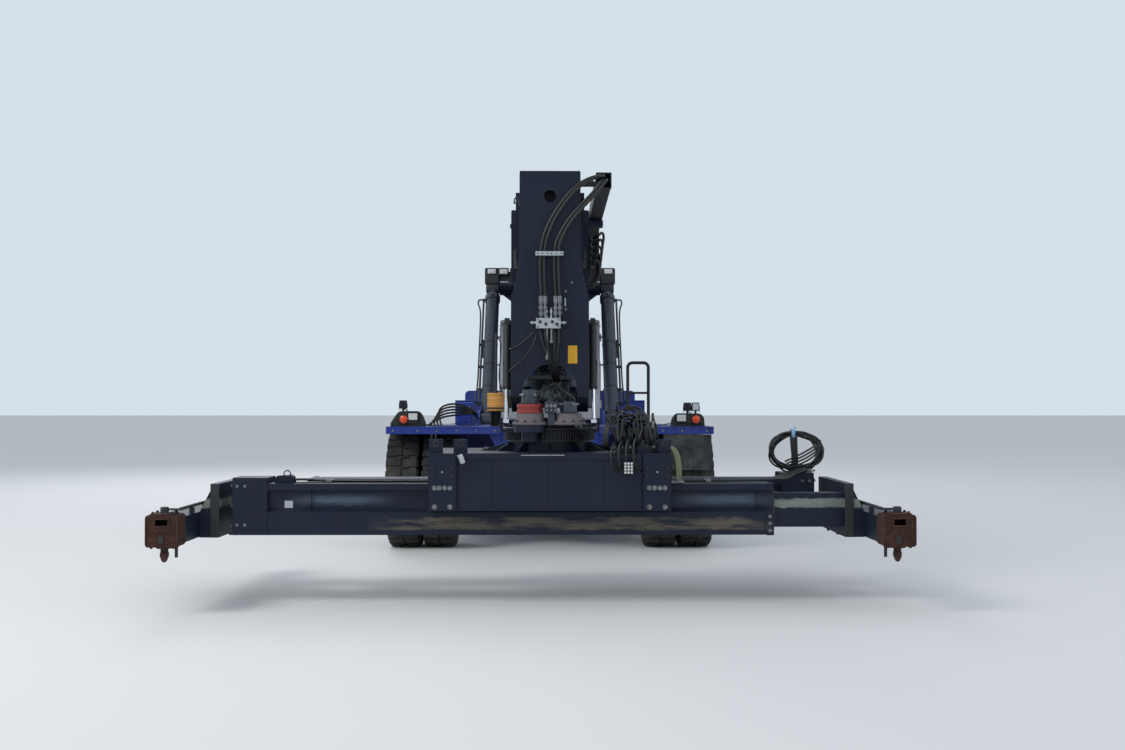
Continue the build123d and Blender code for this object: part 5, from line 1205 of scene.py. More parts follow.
def makeLiftCylinder(side):
    name = sideName(side)
    length = math.dist(liftPlaces["foot"], liftPlaces["top"])
    gland, dark, metal = newBmesh(), newBmesh(), newBmesh()
    top = liftPlaces["gland"]
    addTurned(gland, [(0.092, 0.0), (0.103, 0.004), (0.105, 0.008), (0.105, 0.030), (0.099, 0.034),
                      (0.099, 0.044), (0.105, 0.048), (0.105, 0.086),
                      (0.098, 0.094), (0.070, 0.096), (0.066, 0.098)], alongLift(side, top - 0.092),
              alongLift(side, top + 0.006), 48)
    addHexBolts(metal, [alongLift(side, top, away, up) for away, up in around(8, 0.083)],
                alongLift(side, 1.0) - alongLift(side, 0.0), 0.018, 0.014)
    # weld beads where the barrel meets its foot and its head
    for at in (0.125, top - 0.094):
        addTurned(gland, [(0.091, 0.0), (0.096, 0.003), (0.097, 0.007), (0.096, 0.011), (0.091, 0.014)],
                  alongLift(side, at - 0.007), alongLift(side, at + 0.007), 40)
    # clamps of the pipe and its end fittings
    for at in (0.55, 0.95, 1.35):
        addTurned(dark, [(0.0925, 0.0), (0.0955, 0.001), (0.0955, 0.024), (0.0925, 0.025)],
                  alongLift(side, at - 0.0125), alongLift(side, at + 0.0125), 40)
        addRod(dark, alongLift(side, at, 0.085), alongLift(side, at, 0.144), 0.019, 12, bevel=0.003)
        addRod(metal, alongLift(side, at, 0.144), alongLift(side, at, 0.152), 0.008, 6)
    for at in (0.33, top - 0.06):
        addFitting(metal, alongLift(side, at, 0.092), alongLift(side, at, 0.2) - alongLift(side, at), 0.017,
                   0.042)
        addBlock(dark, *(alongLift(side, at, 0.122) + way * Vector((0.019, 0.019, 0.019)) for way in (-1, 1)),
                 0.004)
    addFitting(metal, alongLift(side, top - 0.05, 0.0, 0.096), alongLift(side, 0, 0, 1) - alongLift(side, 0),
               0.016, 0.045)
    # grease nipples and pin keepers at the foot
    foot = alongLift(side, 0.0)
    for face in (-1, 1):
        place = foot + Vector((face * 0.087, 0, 0))
        addTurned(dark, [(0.044, 0.0), (0.060, 0.0), (0.062, 0.003), (0.060, 0.006), (0.044, 0.006)], place,
                  place + Vector((face * 0.006, 0, 0)), 32)
    finishPiece("lift_gland_" + name, gland, greyEnamel, "lift_barrel_" + name, smooth=True,
                slot="blue_paint")
    finishPiece("lift_clamps_" + name, dark, blackEnamel, "lift_barrel_" + name)
    finishPiece("lift_fittings_" + name, metal, boltSteel, "lift_barrel_" + name)
    fittingTop = alongLift(side, top - 0.06, 0.145)
    hose = [[fittingTop, fittingTop + Vector((side * 0.045, -0.02, 0.012)),
             fittingTop + Vector((side * 0.055, -0.035, -0.06)), alongLift(side, top - 0.25, 0.165, 0.03),
             alongLift(side, top - 0.45, 0.150, 0.03), alongLift(side, 1.0, 0.150, 0.028),
             alongLift(side, 0.6, 0.150, 0.028), alongLift(side, 0.36, 0.17, 0.05),
             alongLift(side, 0.24, 0.16, 0.07), alongLift(side, 0.20, 0.10, 0.09)]]
    hosePiece("lift_hose_" + name, hose, 0.011, "lift_barrel_" + name)
    rodEnd = newBmesh()
    eye = alongLift(side, length)
    for face in (-1, 1):
        place = eye + Vector((face * 0.086, 0, 0))
        addTurned(rodEnd, [(0.046, 0.0), (0.062, 0.0), (0.065, 0.004), (0.062, 0.008), (0.046, 0.008)], place,
                  place + Vector((face * 0.008, 0, 0)), 32)
    addTurned(rodEnd, [(0.062, 0.0), (0.069, 0.006), (0.070, 0.016), (0.066, 0.024), (0.062, 0.026)],
              alongLift(side, length - 0.135), alongLift(side, length - 0.109), 40)
    addFitting(rodEnd, eye + Vector((0, -0.02, 0.10)), (0, -0.2, 1), 0.008, 0.02)
    finishPiece("lift_rod_eye_trim_" + name, rodEnd, castIron, "lift_rod_" + name, smooth=True)


for side in (-1, 1):
    makeLiftCylinder(side)
print("lift cylinders made")


# Boom: work lamps with diodes, the collar's pads and bolts, side welds, pipe fittings and hoses

def makeBoomTrim():
    lens, box, metal, seams, pads = (newBmesh() for index in range(5))
    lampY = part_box("boom_lamps")[0][1] - shift.y
    for side in (-1, 1):
        x0, x1 = sorted((side * 0.69, side * 0.895))
        z0, z1 = 3.32, 3.55
        # housing: rounded cast box with a front bezel and a finned back
        addBlock(box, (x0, lampY, z0), (x1, lampY + 0.14, z1), 0.022, 4)
        for index in range(6):
            x = x0 + 0.025 + index * 0.028
            addBlock(box, (x, lampY + 0.135, z0 + 0.02), (x + 0.007, lampY + 0.152, z1 - 0.02), 0.002)
        middle = side * 0.8
        addBlock(box, (middle - 0.068, lampY - 0.010, 3.455), (middle + 0.068, lampY + 0.004, 3.545), 0.008,
                 3)
        addBlock(lens, (middle - 0.056, lampY - 0.016, 3.467), (middle + 0.056, lampY - 0.006, 3.533), 0.010,
                 3)
        for x in (middle - 0.085, middle + 0.085):
            addHexBolts(metal, [(x, lampY, z) for z in (3.345, 3.525)], (0, -1, 0), 0.012, 0.006)
        # arm: bent plate with bolts, and the second small lamp on it at the left
        x0, x1 = sorted((side * 0.372, side * 0.69))
        addBlock(box, (x0, lampY + 0.04, 3.37), (x1, lampY + 0.048, 3.50), 0.003)
        addBlock(box, (x0, lampY + 0.048, 3.37), (x1, lampY + 0.12, 3.378), 0.002)
        addBlock(box, (x0, lampY + 0.048, 3.492), (x1, lampY + 0.12, 3.50), 0.002)
        addHexBolts(metal, [(side * x, lampY + 0.04, z) for x in (0.40, 0.66) for z in (3.40, 3.47)],
                    (0, -1, 0), 0.02, 0.012)
        if side < 0:
            addBlock(box, (-0.705, lampY - 0.03, 3.440), (-0.565, lampY + 0.045, 3.548), 0.016, 3)
            addBlock(lens, (-0.692, lampY - 0.036, 3.462), (-0.580, lampY - 0.026, 3.530), 0.010, 3)
    finishPiece("boom_lamp_housings", box, blackPlastic, "boom", replaces=("boom_lamps",))
    finishPiece("boom_lamp_diodes", lens, clearLens, "boom", smooth=True)
    # outer boom: collar bolts, slide pads in front, doubler seams and a lubrication block
    collar = -2.40
    for side in (-1, 1):
        for y in (collar + 0.05, collar + 0.13, collar + 0.21):
            for z in (3.05, 3.5):
                addHexBolts(metal, [(side * 0.39, y, z)], (side, 0, 0), 0.03, 0.018)
        for z in (2.95, 3.61):
            addWeld(seams, (side * 0.371, collar + 0.27, z), (side * 0.371, 5.2, z), 0.006, 0.16)
        for y in (-1.2, 0.0, 1.2):
            addWeld(seams, (side * 0.3715, y, 2.96), (side * 0.3715, y, 3.60), 0.004, 0.06)
        addWeld(seams, (side * 0.391, collar + 0.01, 2.92), (side * 0.391, collar + 0.01, 3.64), 0.005, 0.05)
        addBlock(pads, (side * 0.312, collar - 0.012, 3.05), (side * 0.368, collar + 0.02, 3.25), 0.003)
    for x in (-0.25, 0.05):
        addBlock(pads, (x, collar - 0.012, 2.945), (x + 0.20, collar + 0.02, 2.985), 0.003)
        addBlock(pads, (x, collar - 0.012, 3.575), (x + 0.20, collar + 0.02, 3.615), 0.003)
        addHexBolts(metal, [(x + dx, collar + dy, 3.65) for dx in (0.05, 0.15) for dy in (0.08, 0.18)],
                    (0, 0, 1), 0.026, 0.014)
    finishPiece("outer_boom_welds", seams, navyEnamel, "boom")
    finishPiece("outer_boom_bolts", metal, castIron, "boom")
    finishPiece("outer_boom_slide_pads", pads, nylonPad, "boom")
    # hose loops at the boom's right shoulder, in front of the pipes' bracket plate
    loops = []
    for index in range(5):
        z = 3.08 + index * 0.07
        y = collar + 0.03
        loops.append([(0.431, y + 0.01, z), (0.431, y - 0.07, z), (0.44 + 0.012 * index, y - 0.11, z + 0.02),
                      (0.47 + 0.014 * index, y - 0.11, z + 0.06),
                      (0.50 + 0.012 * index, y - 0.08, z + 0.02), (0.505 + 0.006 * index, y - 0.05, z - 0.10),
                      (0.47, y - 0.04, 2.93 - 0.01 * index), (0.43 - 0.02 * index, y - 0.02, 2.86)])
    hosePiece("boom_side_hose_loops", loops, 0.013, "boom")
    fittings = newBmesh()
    for index in range(5):
        z = 3.08 + index * 0.07
        addFitting(fittings, (0.431, collar + 0.032, z), (0, -1, 0), 0.020, 0.06)
        addFitting(fittings, (0.431, 2.36, z), (0, 1, 0), 0.020, 0.06)
        for y in (-0.88, 0.32, 1.32):
            addHexBolts(fittings, [(0.4585, y, z + 0.035)], (1, 0, 0), 0.018, 0.010)
    finishPiece("boom_pipe_fittings", fittings, boltSteel, "boom")
    # behind the pipes: five hoses to a bulkhead on the boom's side, near its foot
    rear, bulkhead = [], newBmesh()
    for index in range(5):
        z, low = 3.08 + index * 0.07, 3.03 + index * 0.055
        rear.append([(0.431, 2.41, z), (0.431, 2.62, z), (0.438, 2.9, z - 0.02),
                     (0.432, 3.2, (z + low) / 2 - 0.03), (0.404, 3.45, low), (0.400, 3.60, low)])
        addFitting(bulkhead, (0.400, 3.58, low), (0, 1, 0), 0.019, 0.05)
    addBlock(bulkhead, (0.3712, 3.62, 2.99), (0.428, 3.69, 3.29), 0.004)
    addHexBolts(bulkhead, [(0.428, 3.655, z) for z in (3.005, 3.14, 3.275)], (1, 0, 0), 0.018, 0.010)
    hosePiece("boom_rear_hoses", rear, 0.013, "boom")
    finishPiece("boom_rear_bulkhead", bulkhead, castIron, "boom")


makeBoomTrim()
print("boom trim made")


# Hose duct along the boom: clips, a rolled mouth and the bracket's bolts

def makeDuctTrim():
    duct, clips = newBmesh(), newBmesh()
    x0, x1, y0, y1, z0, z1 = 0.404, 0.530, -4.39, 0.40, 3.56, 3.69
    for y, way in ((y0, -1), (y1, 1)):
        for low, high in (((x0 - 0.006, z0 - 0.006), (x1 + 0.006, z0 + 0.004)),
                          ((x0 - 0.006, z1 - 0.004), (x1 + 0.006, z1 + 0.006)),
                          ((x0 - 0.006, z0), (x0 + 0.004, z1)), ((x1 - 0.004, z0), (x1 + 0.006, z1))):
            addBlock(duct, (low[0], y, low[1]), (high[0], y + way * 0.012, high[1]), 0.003)
    for index in range(9):
        y = y0 + 0.25 + index * 0.53
        addBlock(duct, (x0 - 0.004, y, z1 - 0.02), (x1 + 0.004, y + 0.035, z1 + 0.004), 0.002)
        addHexBolts(clips, [(x0 + 0.03, y + 0.018, z1 + 0.004), (x1 - 0.03, y + 0.018, z1 + 0.004)],
                    (0, 0, 1), 0.018, 0.010)
    addHexBolts(clips, [(x, y0 + t, 3.62) for x in (0.30, 0.37) for t in (0.03, 0.09)], (0, 0, 1), 0.022,
                0.012)
    finishPiece("duct_straps", duct, blackEnamel, "boom_section")
    finishPiece("duct_bolts", clips, boltSteel, "boom_section")


makeDuctTrim()
print("duct made")


# Dampers between the head and the yoke: gland rings, a boot strip and pin washers

def makeDamperTrim():
    top, foot = (-4.20, 2.40), (-4.41, 1.525)
    length = math.hypot(foot[0] - top[0], foot[1] - top[1])
    for side in (-1, 1):
        name = sideName(side)
        bm, ring = newBmesh(), newBmesh()

        def at(distance, away=0.0):
            share = distance / length
            return Vector((side * (0.378 + away), top[0] + (foot[0] - top[0]) * share,
                           top[1] + (foot[1] - top[1]) * share))
        addTurned(ring, [(0.034, 0.0), (0.0365, 0.002), (0.037, 0.006), (0.037, 0.034), (0.034, 0.040),
                         (0.018, 0.041)], at(0.565), at(0.606), 32)
        addTurned(ring, [(0.034, 0.0), (0.038, 0.002), (0.038, 0.014), (0.034, 0.016)], at(0.075), at(0.091),
                  32)
        for face in (-1, 1):
            addTurned(bm, [(0.0, 0.008), (0.016, 0.008), (0.024, 0.006), (0.024, 0.0)],
                      at(0.0, face * 0.0225), at(0.0, face * 0.0305), 20)
        addBlock(bm, tuple(at(0.45) + Vector((side * 0.034, -0.010, -0.20))),
                 tuple(at(0.45) + Vector((side * 0.034 + 0.004, 0.010, 0.10))), 0.001)
        finishPiece("damper_glands_" + name, ring, blackEnamel, "damper_barrels", smooth=True)
        finishPiece("damper_washers_" + name, bm, boltSteel, "damper_barrels")


makeDamperTrim()


# Deck: head-lamp housings with an orange and a clear lamp each, work lamps on top, tread plates with
# raised lozenges, blue locks and edge strips, the canister and its pole

deckPlaces = {"front": -0.75, "top": 1.422}


def addRoundLamp(casing, lens, place, radius, depth=0.02):
    x, y, z = place
    addTurned(casing, [(radius, 0.0), (radius + 0.010, 0.0), (radius + 0.013, depth * 0.3),
                       (radius + 0.008, depth * 0.8), (radius, depth * 0.8), (radius, 0.0)],
              place, (x, y - depth, z), 36)
    addTurned(lens, [(0.0, depth * 1.05), (radius * 0.5, depth * 0.98), (radius * 0.85, depth * 0.75),
                     (radius, depth * 0.45), (radius, 0.0)], place, (x, y - depth, z), 36)


def makeLampHousings():
    casing, orange, clear, backs, feet = (newBmesh() for index in range(5))
    y0, y1 = -0.71, -0.56
    for foot, top, high, side in (((-1.817, -1.417), (-1.737, -1.474), 1.600, -1),
                                  ((1.380, 1.766), (1.420, 1.737), 1.574, 1)):
        low = deckPlaces["top"] + 0.0003
        outline = [(foot[0], low), (foot[1], low), (foot[1] - 0.006, low + 0.05),
                   (top[1] + 0.02, high - 0.05), (top[1] - 0.01, high - 0.012), (top[1] - 0.04, high),
                   (top[0] + 0.04, high), (top[0] + 0.01, high - 0.012), (top[0] - 0.02, high - 0.05),
                   (foot[0] + 0.006, low + 0.05)]
        verts = addPlate(casing, [(x, y0 + 0.01, z) for x, z in outline], (0, 1, 0), 0.139)
        edges = {edge for vert in verts for edge in vert.link_edges}
        bmesh.ops.bevel(casing, geom=list(edges), offset=0.008, segments=2, affect="EDGES", profile=0.5,
                        material=-1)
        # a raised front frame around the lamps
        addBlock(casing, (top[0] + 0.012, y0 - 0.004, low + 0.030),
                 (top[1] - 0.012, y0 + 0.014, high - 0.028), 0.010, 3)
        outer = top[0] + 0.075 if side < 0 else top[1] - 0.075
        inner = top[1] - 0.082 if side < 0 else top[0] + 0.075
        addRoundLamp(casing, orange, (outer, y0 - 0.004, low + 0.085), 0.047)
        z = low + 0.115 if side < 0 else low + 0.10
        # the clear lamp: a rounded rectangle lens with a bezel
        addBlock(casing, (inner - 0.064, y0 - 0.014, z - 0.051), (inner + 0.064, y0, z + 0.051), 0.014, 3)
        addBlock(clear, (inner - 0.052, y0 - 0.019, z - 0.039), (inner + 0.052, y0 - 0.010, z + 0.039), 0.010,
                 3)
        for x in (foot[0] + 0.03, foot[1] - 0.03):
            addHexBolts(feet, [(x, y1 - 0.05, low)], (0, 0, 1), 0.022, 0.012)
    for x, high, front in ((-1.676, 1.600, False), (1.571, 1.574, False), (1.664, 1.574, True)):
        low, y = high + 0.02, -0.635
        addTurned(feet, [(0.0, 0.0), (0.012, 0.0), (0.012, 0.04), (0.018, 0.045), (0.018, 0.055),
                         (0.0, 0.056)], (x, y, high - 0.012), (x, y, high + 0.044), 16)
        for side in (-1, 1):
            addBlock(feet, (x + side * 0.047 - 0.002, y - 0.012, low - 0.006),
                     (x + side * 0.047 + 0.002, y + 0.012, low + 0.065), 0.001)
        addBlock(feet, (x - 0.049, y - 0.012, low - 0.008), (x + 0.049, y + 0.012, low - 0.004), 0.001)
        addBlock(backs, (x - 0.044, y - 0.03, low + 0.006), (x + 0.044, y + 0.028, low + 0.103), 0.014, 3)
        for index in range(5):
            fin = low + 0.022 + index * 0.016
            ends = sorted((y + 0.028, y + 0.038)) if front else sorted((y - 0.030, y - 0.040))
            addBlock(backs, (x - 0.034, ends[0], fin), (x + 0.034, ends[1], fin + 0.005), 0.001)
        face = y - 0.031 if front else y + 0.029
        addBlock(clear, (x - 0.036, face, low + 0.016), (x + 0.036, face + (-0.007 if front else 0.007),
                                                         low + 0.092), 0.005, 2)
    finishPiece("lamp_housings_moulded", casing, blackPlastic, "chassis", replaces=("lamp_housings",))
    finishPiece("orange_lamps", orange, orangeLens, "chassis", smooth=True)
    finishPiece("clear_lamps", clear, clearLens, "chassis")
    finishPiece("work_lamps", backs, castIron, "chassis")
    finishPiece("work_lamp_brackets", feet, blackEnamel, "chassis")
    hosePiece("lamp_cables", [[(-1.50, -0.58, 1.46), (-1.44, -0.55, 1.45), (-1.36, -0.50, 1.43),
                               (-1.20, -0.50, 1.427), (-0.9, -0.48, 1.427)],
                              [(1.40, -0.58, 1.46), (1.34, -0.55, 1.45), (1.25, -0.50, 1.43),
                               (1.1, -0.50, 1.427), (0.8, -0.48, 1.427)],
                              [(1.571, -0.63, 1.60), (1.60, -0.60, 1.585), (1.62, -0.58, 1.56),
                               (1.61, -0.555, 1.53)],
                              [(-1.676, -0.63, 1.64), (-1.64, -0.60, 1.61), (-1.62, -0.575, 1.58),
                               (-1.62, -0.555, 1.54)]], 0.006, "chassis")


makeLampHousings()


def makeDeckTrim():
    at = deckPlaces
    tread, strips, bolts, blue = (newBmesh() for index in range(4))
    top = at["top"]
    # lozenges: every 60 mm, turned by turns
    for side in (-1, 1):
        for column in range(20):
            for row in range(24):
                x = side * (0.60 + column * 0.062)
                y = at["front"] + 0.06 + row * 0.0625
                if abs(x) < 0.60 or abs(x) > 1.83 or (abs(x) > 1.36 and y < -0.54):
                    continue
                turn = math.radians(45 if (row + column) % 2 else -45)
                along = Vector((math.cos(turn), math.sin(turn), 0)) * 0.016
                across = Vector((-math.sin(turn), math.cos(turn), 0)) * 0.005
                base = Vector((x, y, top))
                peak = base + Vector((0, 0, 0.0022))
                verts = [tread.verts.new(base + v) for v in (along, across, -along, -across)]
                tops = [tread.verts.new(peak + v * 0.5) for v in (along, across, -along, -across)]
                tread.faces.new(tops)
                for index in range(4):
                    tread.faces.new((verts[index], verts[(index + 1) % 4], tops[(index + 1) % 4],
                                     tops[index]))
        # edge strip and lip bolts; lip's slanted end seam
        x0, x1 = sorted((side * 0.57, side * 1.85))
        addBlock(strips, (x0, at["front"] - 0.004, top - 0.014), (x1, at["front"] + 0.02, top + 0.003), 0.003)
        addHexBolts(bolts, [(side * x, at["front"], top - 0.045) for x in (0.62, 0.84, 1.06, 1.28, 1.50,
            1.78)], (0, -1, 0), 0.020, 0.010)
        addHexBolts(bolts, [(side * x, y, top) for x in (0.62, 1.80) for y in (-0.3, 0.1, 0.5)], (0, 0, 1),
                    0.020, 0.008)
        # locker: lid with a lip, hinges and a turn handle, and shorter stand beside it
        x0, x1 = sorted((side * 0.975, side * 1.205))
        addBlock(blue, (x0 - 0.006, 1.194, 1.712), (x1 + 0.006, 1.606, 1.728), 0.004)
        for x in (x0 + 0.04, x1 - 0.07):
            addRod(bolts, (x, 1.61, 1.715), (x + 0.03, 1.61, 1.715), 0.008, 12)
        addBlock(blue, (x0 + 0.02, 1.190, 1.46), (x1 - 0.02, 1.201, 1.68), 0.004)
        addTurned(bolts, [(0.0, 0.014), (0.016, 0.013), (0.020, 0.006), (0.020, 0.0)],
                  ((x0 + x1) / 2, 1.190, 1.60), ((x0 + x1) / 2, 1.176, 1.60), 20)
        addBlock(bolts, ((x0 + x1) / 2 - 0.006, 1.168, 1.575), ((x0 + x1) / 2 + 0.006, 1.178, 1.625), 0.002)
    # blocks in front of the cylinder feet, and a lashing eye on each side
    for x0, x1, high in ((-1.14, -0.93, 1.70), (0.93, 1.12, 1.60)):
        addBlock(blue, (x0, 0.30, top), (x1, 0.62, high), 0.008)
        addBlock(blue, (x0 + 0.02, 0.292, top + 0.04), (x1 - 0.02, 0.301, high - 0.04), 0.003)
        addHexBolts(bolts, [(x, 0.292, z) for x in (x0 + 0.035, x1 - 0.035) for z in (top + 0.055,
            high - 0.055)], (0, -1, 0), 0.016, 0.009)
    for x in (-0.86, 0.86):
        addBlock(blue, (x - 0.06, 0.02, top), (x + 0.06, 0.10, top + 0.012), 0.003)
        addArc(blue, (x, 0.06, top + 0.012), 0.03, 0.035, 0.007, 10)
    finishPiece("deck_lozenges", tread, blueEnamel, "chassis")
    finishPiece("deck_edge_strips", strips, blueEnamel, "chassis")
    finishPiece("deck_bolts", bolts, boltSteel, "chassis")
    finishPiece("deck_blocks_and_lids", blue, blueEnamel, "chassis")
    arcs = []
    for index in range(5):
        lift = (index - 2) * 0.034
        arcs.append([(-1.42 + 0.04 * index, -0.36, 1.428), (-1.40 + 0.02 * index, -0.34 + 0.02 * index,
                                                            1.52 + lift), (-1.25, -0.28 + 0.03 * index,
                                                                1.60 + lift), (-1.10, -0.20 + 0.03 * index,
                                                                    1.62 + lift), (-0.96, -0.10, 1.60 +
                                                                        0.5 * lift),
                     (-0.90 + 0.01 * index, 0.02, 1.56), (-0.88, 0.15, 1.52), (-0.86, 0.3, 1.50)])
    hosePiece("deck_left_hose_arcs", arcs, 0.012, "chassis")
    arcs = []
    for index in range(3):
        arcs.append([(1.02 + 0.05 * index, -0.42, 1.428), (1.03 + 0.05 * index, -0.40, 1.52),
                     (1.00 + 0.03 * index, -0.34, 1.60 + 0.02 * index), (0.90, -0.26, 1.62 + 0.02 * index),
                     (0.78, -0.16, 1.56), (0.72, -0.05, 1.50), (0.70, 0.10, 1.45)])
    hosePiece("deck_right_hose_arcs", arcs, 0.012, "chassis")


makeDeckTrim()
print("deck made")


def makeCanister():
    x, y, top = -0.622, -0.500, deckPlaces["top"]
    drum, stand, pole = newBmesh(), newBmesh(), newBmesh()
    addTurned(drum, [(0.0, 0.0), (0.094, 0.0), (0.101, 0.004), (0.103, 0.010), (0.103, 0.022),
                     (0.1005, 0.026), (0.1005, 0.060), (0.1025, 0.066), (0.1005, 0.072),
                     (0.1005, 0.130), (0.1025, 0.136), (0.1005, 0.142), (0.1005, 0.182), (0.103, 0.186),
                     (0.103, 0.198), (0.100, 0.203), (0.094, 0.205), (0.088, 0.199), (0.0, 0.199)],
              (x, y, 1.602), (x, y, 1.807), 56)
    addTurned(drum, [(0.0, 0.016), (0.020, 0.016), (0.024, 0.012), (0.024, 0.0)], (x + 0.05, y + 0.02, 1.801),
              (x + 0.05, y + 0.02, 1.817), 20)
    addTurned(stand, [(0.020, 0.0), (0.112, 0.0), (0.112, 0.006), (0.104, 0.010), (0.020, 0.010),
                      (0.020, 0.0)], (x, y, 1.592), (x, y, 1.602), 40)
    for side in (-1, 1):
        addBlock(stand, (x + side * 0.055 - 0.005, y - 0.055, top),
                 (x + side * 0.055 + 0.005, y + 0.055, 1.592), 0.002)
    addBlock(stand, (x - 0.05, y + 0.045, top), (x + 0.05, y + 0.053, 1.592), 0.002)
    addBlock(stand, (x - 0.069, y - 0.059, top), (x + 0.056, y + 0.059, top + 0.010), 0.003)
    addTurned(stand, [(0.1035, 0.0), (0.1055, 0.001), (0.1055, 0.019), (0.1035, 0.020)], (x, y, 1.622),
              (x, y, 1.634), 48)
    addHexBolts(stand, [(x + dx, y + dy, top + 0.010) for dx in (-0.055, 0.042) for dy in (-0.045, 0.045)],
                (0, 0, 1), 0.016, 0.009)
    addTurned(pole, [(0.0, 0.0), (0.022, 0.0), (0.022, 0.02), (0.0168, 0.024), (0.0168, 0.688),
                     (0.012, 0.693), (0.0, 0.694)], (x, y, 1.806), (x, y, 2.50), 20)
    finishPiece("canister_drum", drum, ochreEnamel, "chassis", smooth=True, replaces=("canister",))
    finishPiece("canister_stand", stand, blackEnamel, "chassis")
    finishPiece("canister_pole", pole, castIron, "chassis", smooth=True)
    hosePiece("canister_hoses", [[(x + 0.05, y + 0.02, 1.815), (x + 0.07, y + 0.03, 1.88),
                                  (x + 0.10, y + 0.08, 1.90), (x + 0.13, y + 0.16, 1.80),
                                  (x + 0.14, y + 0.22, 1.60), (x + 0.12, y + 0.26, 1.43)],
                                 [(x + 0.017, y, 2.44), (x + 0.06, y + 0.01, 2.42), (x + 0.05, y + 0.02, 2.2),
                                  (x + 0.03, y + 0.02, 2.0), (x + 0.05, y + 0.05, 1.86),
                                  (x + 0.12, y + 0.1, 1.70), (x + 0.12, y + 0.2, 1.45)]],
              0.0075, "chassis")


makeCanister()


# Handrail bases and clamps, the steps' grip treads, and the mud flap with its stripe and clamp bar

def makeAccessTrim():
    rail, grips, flap, stripe, clamp = (newBmesh() for index in range(5))
    for x in (0.98, 1.24):
        addBlock(rail, (x - 0.05, 0.92, 1.422), (x + 0.05, 1.0, 1.432), 0.003)
        addHexBolts(rail, [(x + dx, 0.96 + dy, 1.432) for dx in (-0.035, 0.035) for dy in (-0.028, 0.028)],
                    (0, 0, 1), 0.016, 0.010)
        addTurned(rail, [(0.020, 0.0), (0.027, 0.002), (0.027, 0.01), (0.020, 0.016)], (x, 0.96, 1.432),
                  (x, 0.96, 1.448), 24)
    addRod(rail, (0.98, 0.96, 1.82), (1.24, 0.96, 1.82), 0.014, 20)
    for z in (0.50, 0.79, 1.08):
        for row in range(5):
            for column in range(11):
                x, y = 1.045 + column * 0.033, 0.95 + row * 0.055 + (0.0 if column % 2 else 0.02)
                addTurned(grips, [(0.0085, 0.0), (0.0085, 0.003), (0.006, 0.005), (0.004, 0.005),
                                  (0.004, 0.0)], (x, y, z), (x, y, z + 0.005), 10)
        addBlock(grips, (1.026, 0.918, z - 0.028), (1.394, 0.926, z + 0.003), 0.002)
    x0, x1, y = 1.295, 1.830, -0.738
    addBlock(clamp, (x0, y - 0.010, 1.385), (x1, y + 0.002, 1.412), 0.003)
    addHexBolts(clamp, [(x0 + 0.03 + index * 0.095, y - 0.010, 1.398) for index in range(6)], (0, -1, 0),
                0.018, 0.010)
    addPlate(stripe, [(1.335, y - 0.0015, 1.355), (1.825, y - 0.0015, 1.372), (1.825, y - 0.0015, 1.330)],
             (0, -1, 0), 0.002)
    # slack lower half of the flap: vertical ribs and a hem
    for index in range(9):
        x = x0 + 0.03 + index * 0.06
        addBlock(flap, (x - 0.006, y - 0.005, 0.955), (x + 0.006, y + 0.001, 1.25), 0.002)
    addBlock(flap, (x0, y - 0.006, 0.931), (x1, y + 0.001, 0.951), 0.003)
    addBlock(flap, (x0, y - 0.003, 1.248), (x1, y + 0.001, 1.256), 0.001)
    finishPiece("handrail_feet", rail, blackEnamel, "chassis")
    finishPiece("step_grips", grips, blackEnamel, "chassis")
    finishPiece("mud_flap_ribs", flap, flapRubber, "chassis")
    finishPiece("mud_flap_stripe", stripe, aluminium, "chassis")
    finishPiece("mud_flap_clamp", clamp, blackEnamel, "chassis")


makeAccessTrim()
print("canister, rail, steps and flap made")


# Cab: window seals, wipers, mirrors, door handle and hinge covers, roof hatch and lamps, and inside it
# a cloth-covered seat, armrest controls, a dished wheel, a dash and pedals

cabPlaces = {"front": 2.90, "roof": 2.86, "lean": 0.09 / 0.81}


def addFrameStrip(bm, corners, width, depth, normal):
    # a raised strip along a closed outline of corners
    for index, (start, end) in enumerate(zip(corners, list(corners[1:]) + [corners[0]])):
        start, end = Vector(start), Vector(end)
        along = (end - start).normalized() * (width / 2 if index % 2 == 0 else -width / 2)
        outline = [start - along, end + along]
        inward = Vector(normal).cross(end - start).normalized() * width / 2
        face = [outline[0] - inward, outline[1] - inward, outline[1] + inward, outline[0] + inward]
        addPlate(bm, face, normal, depth)


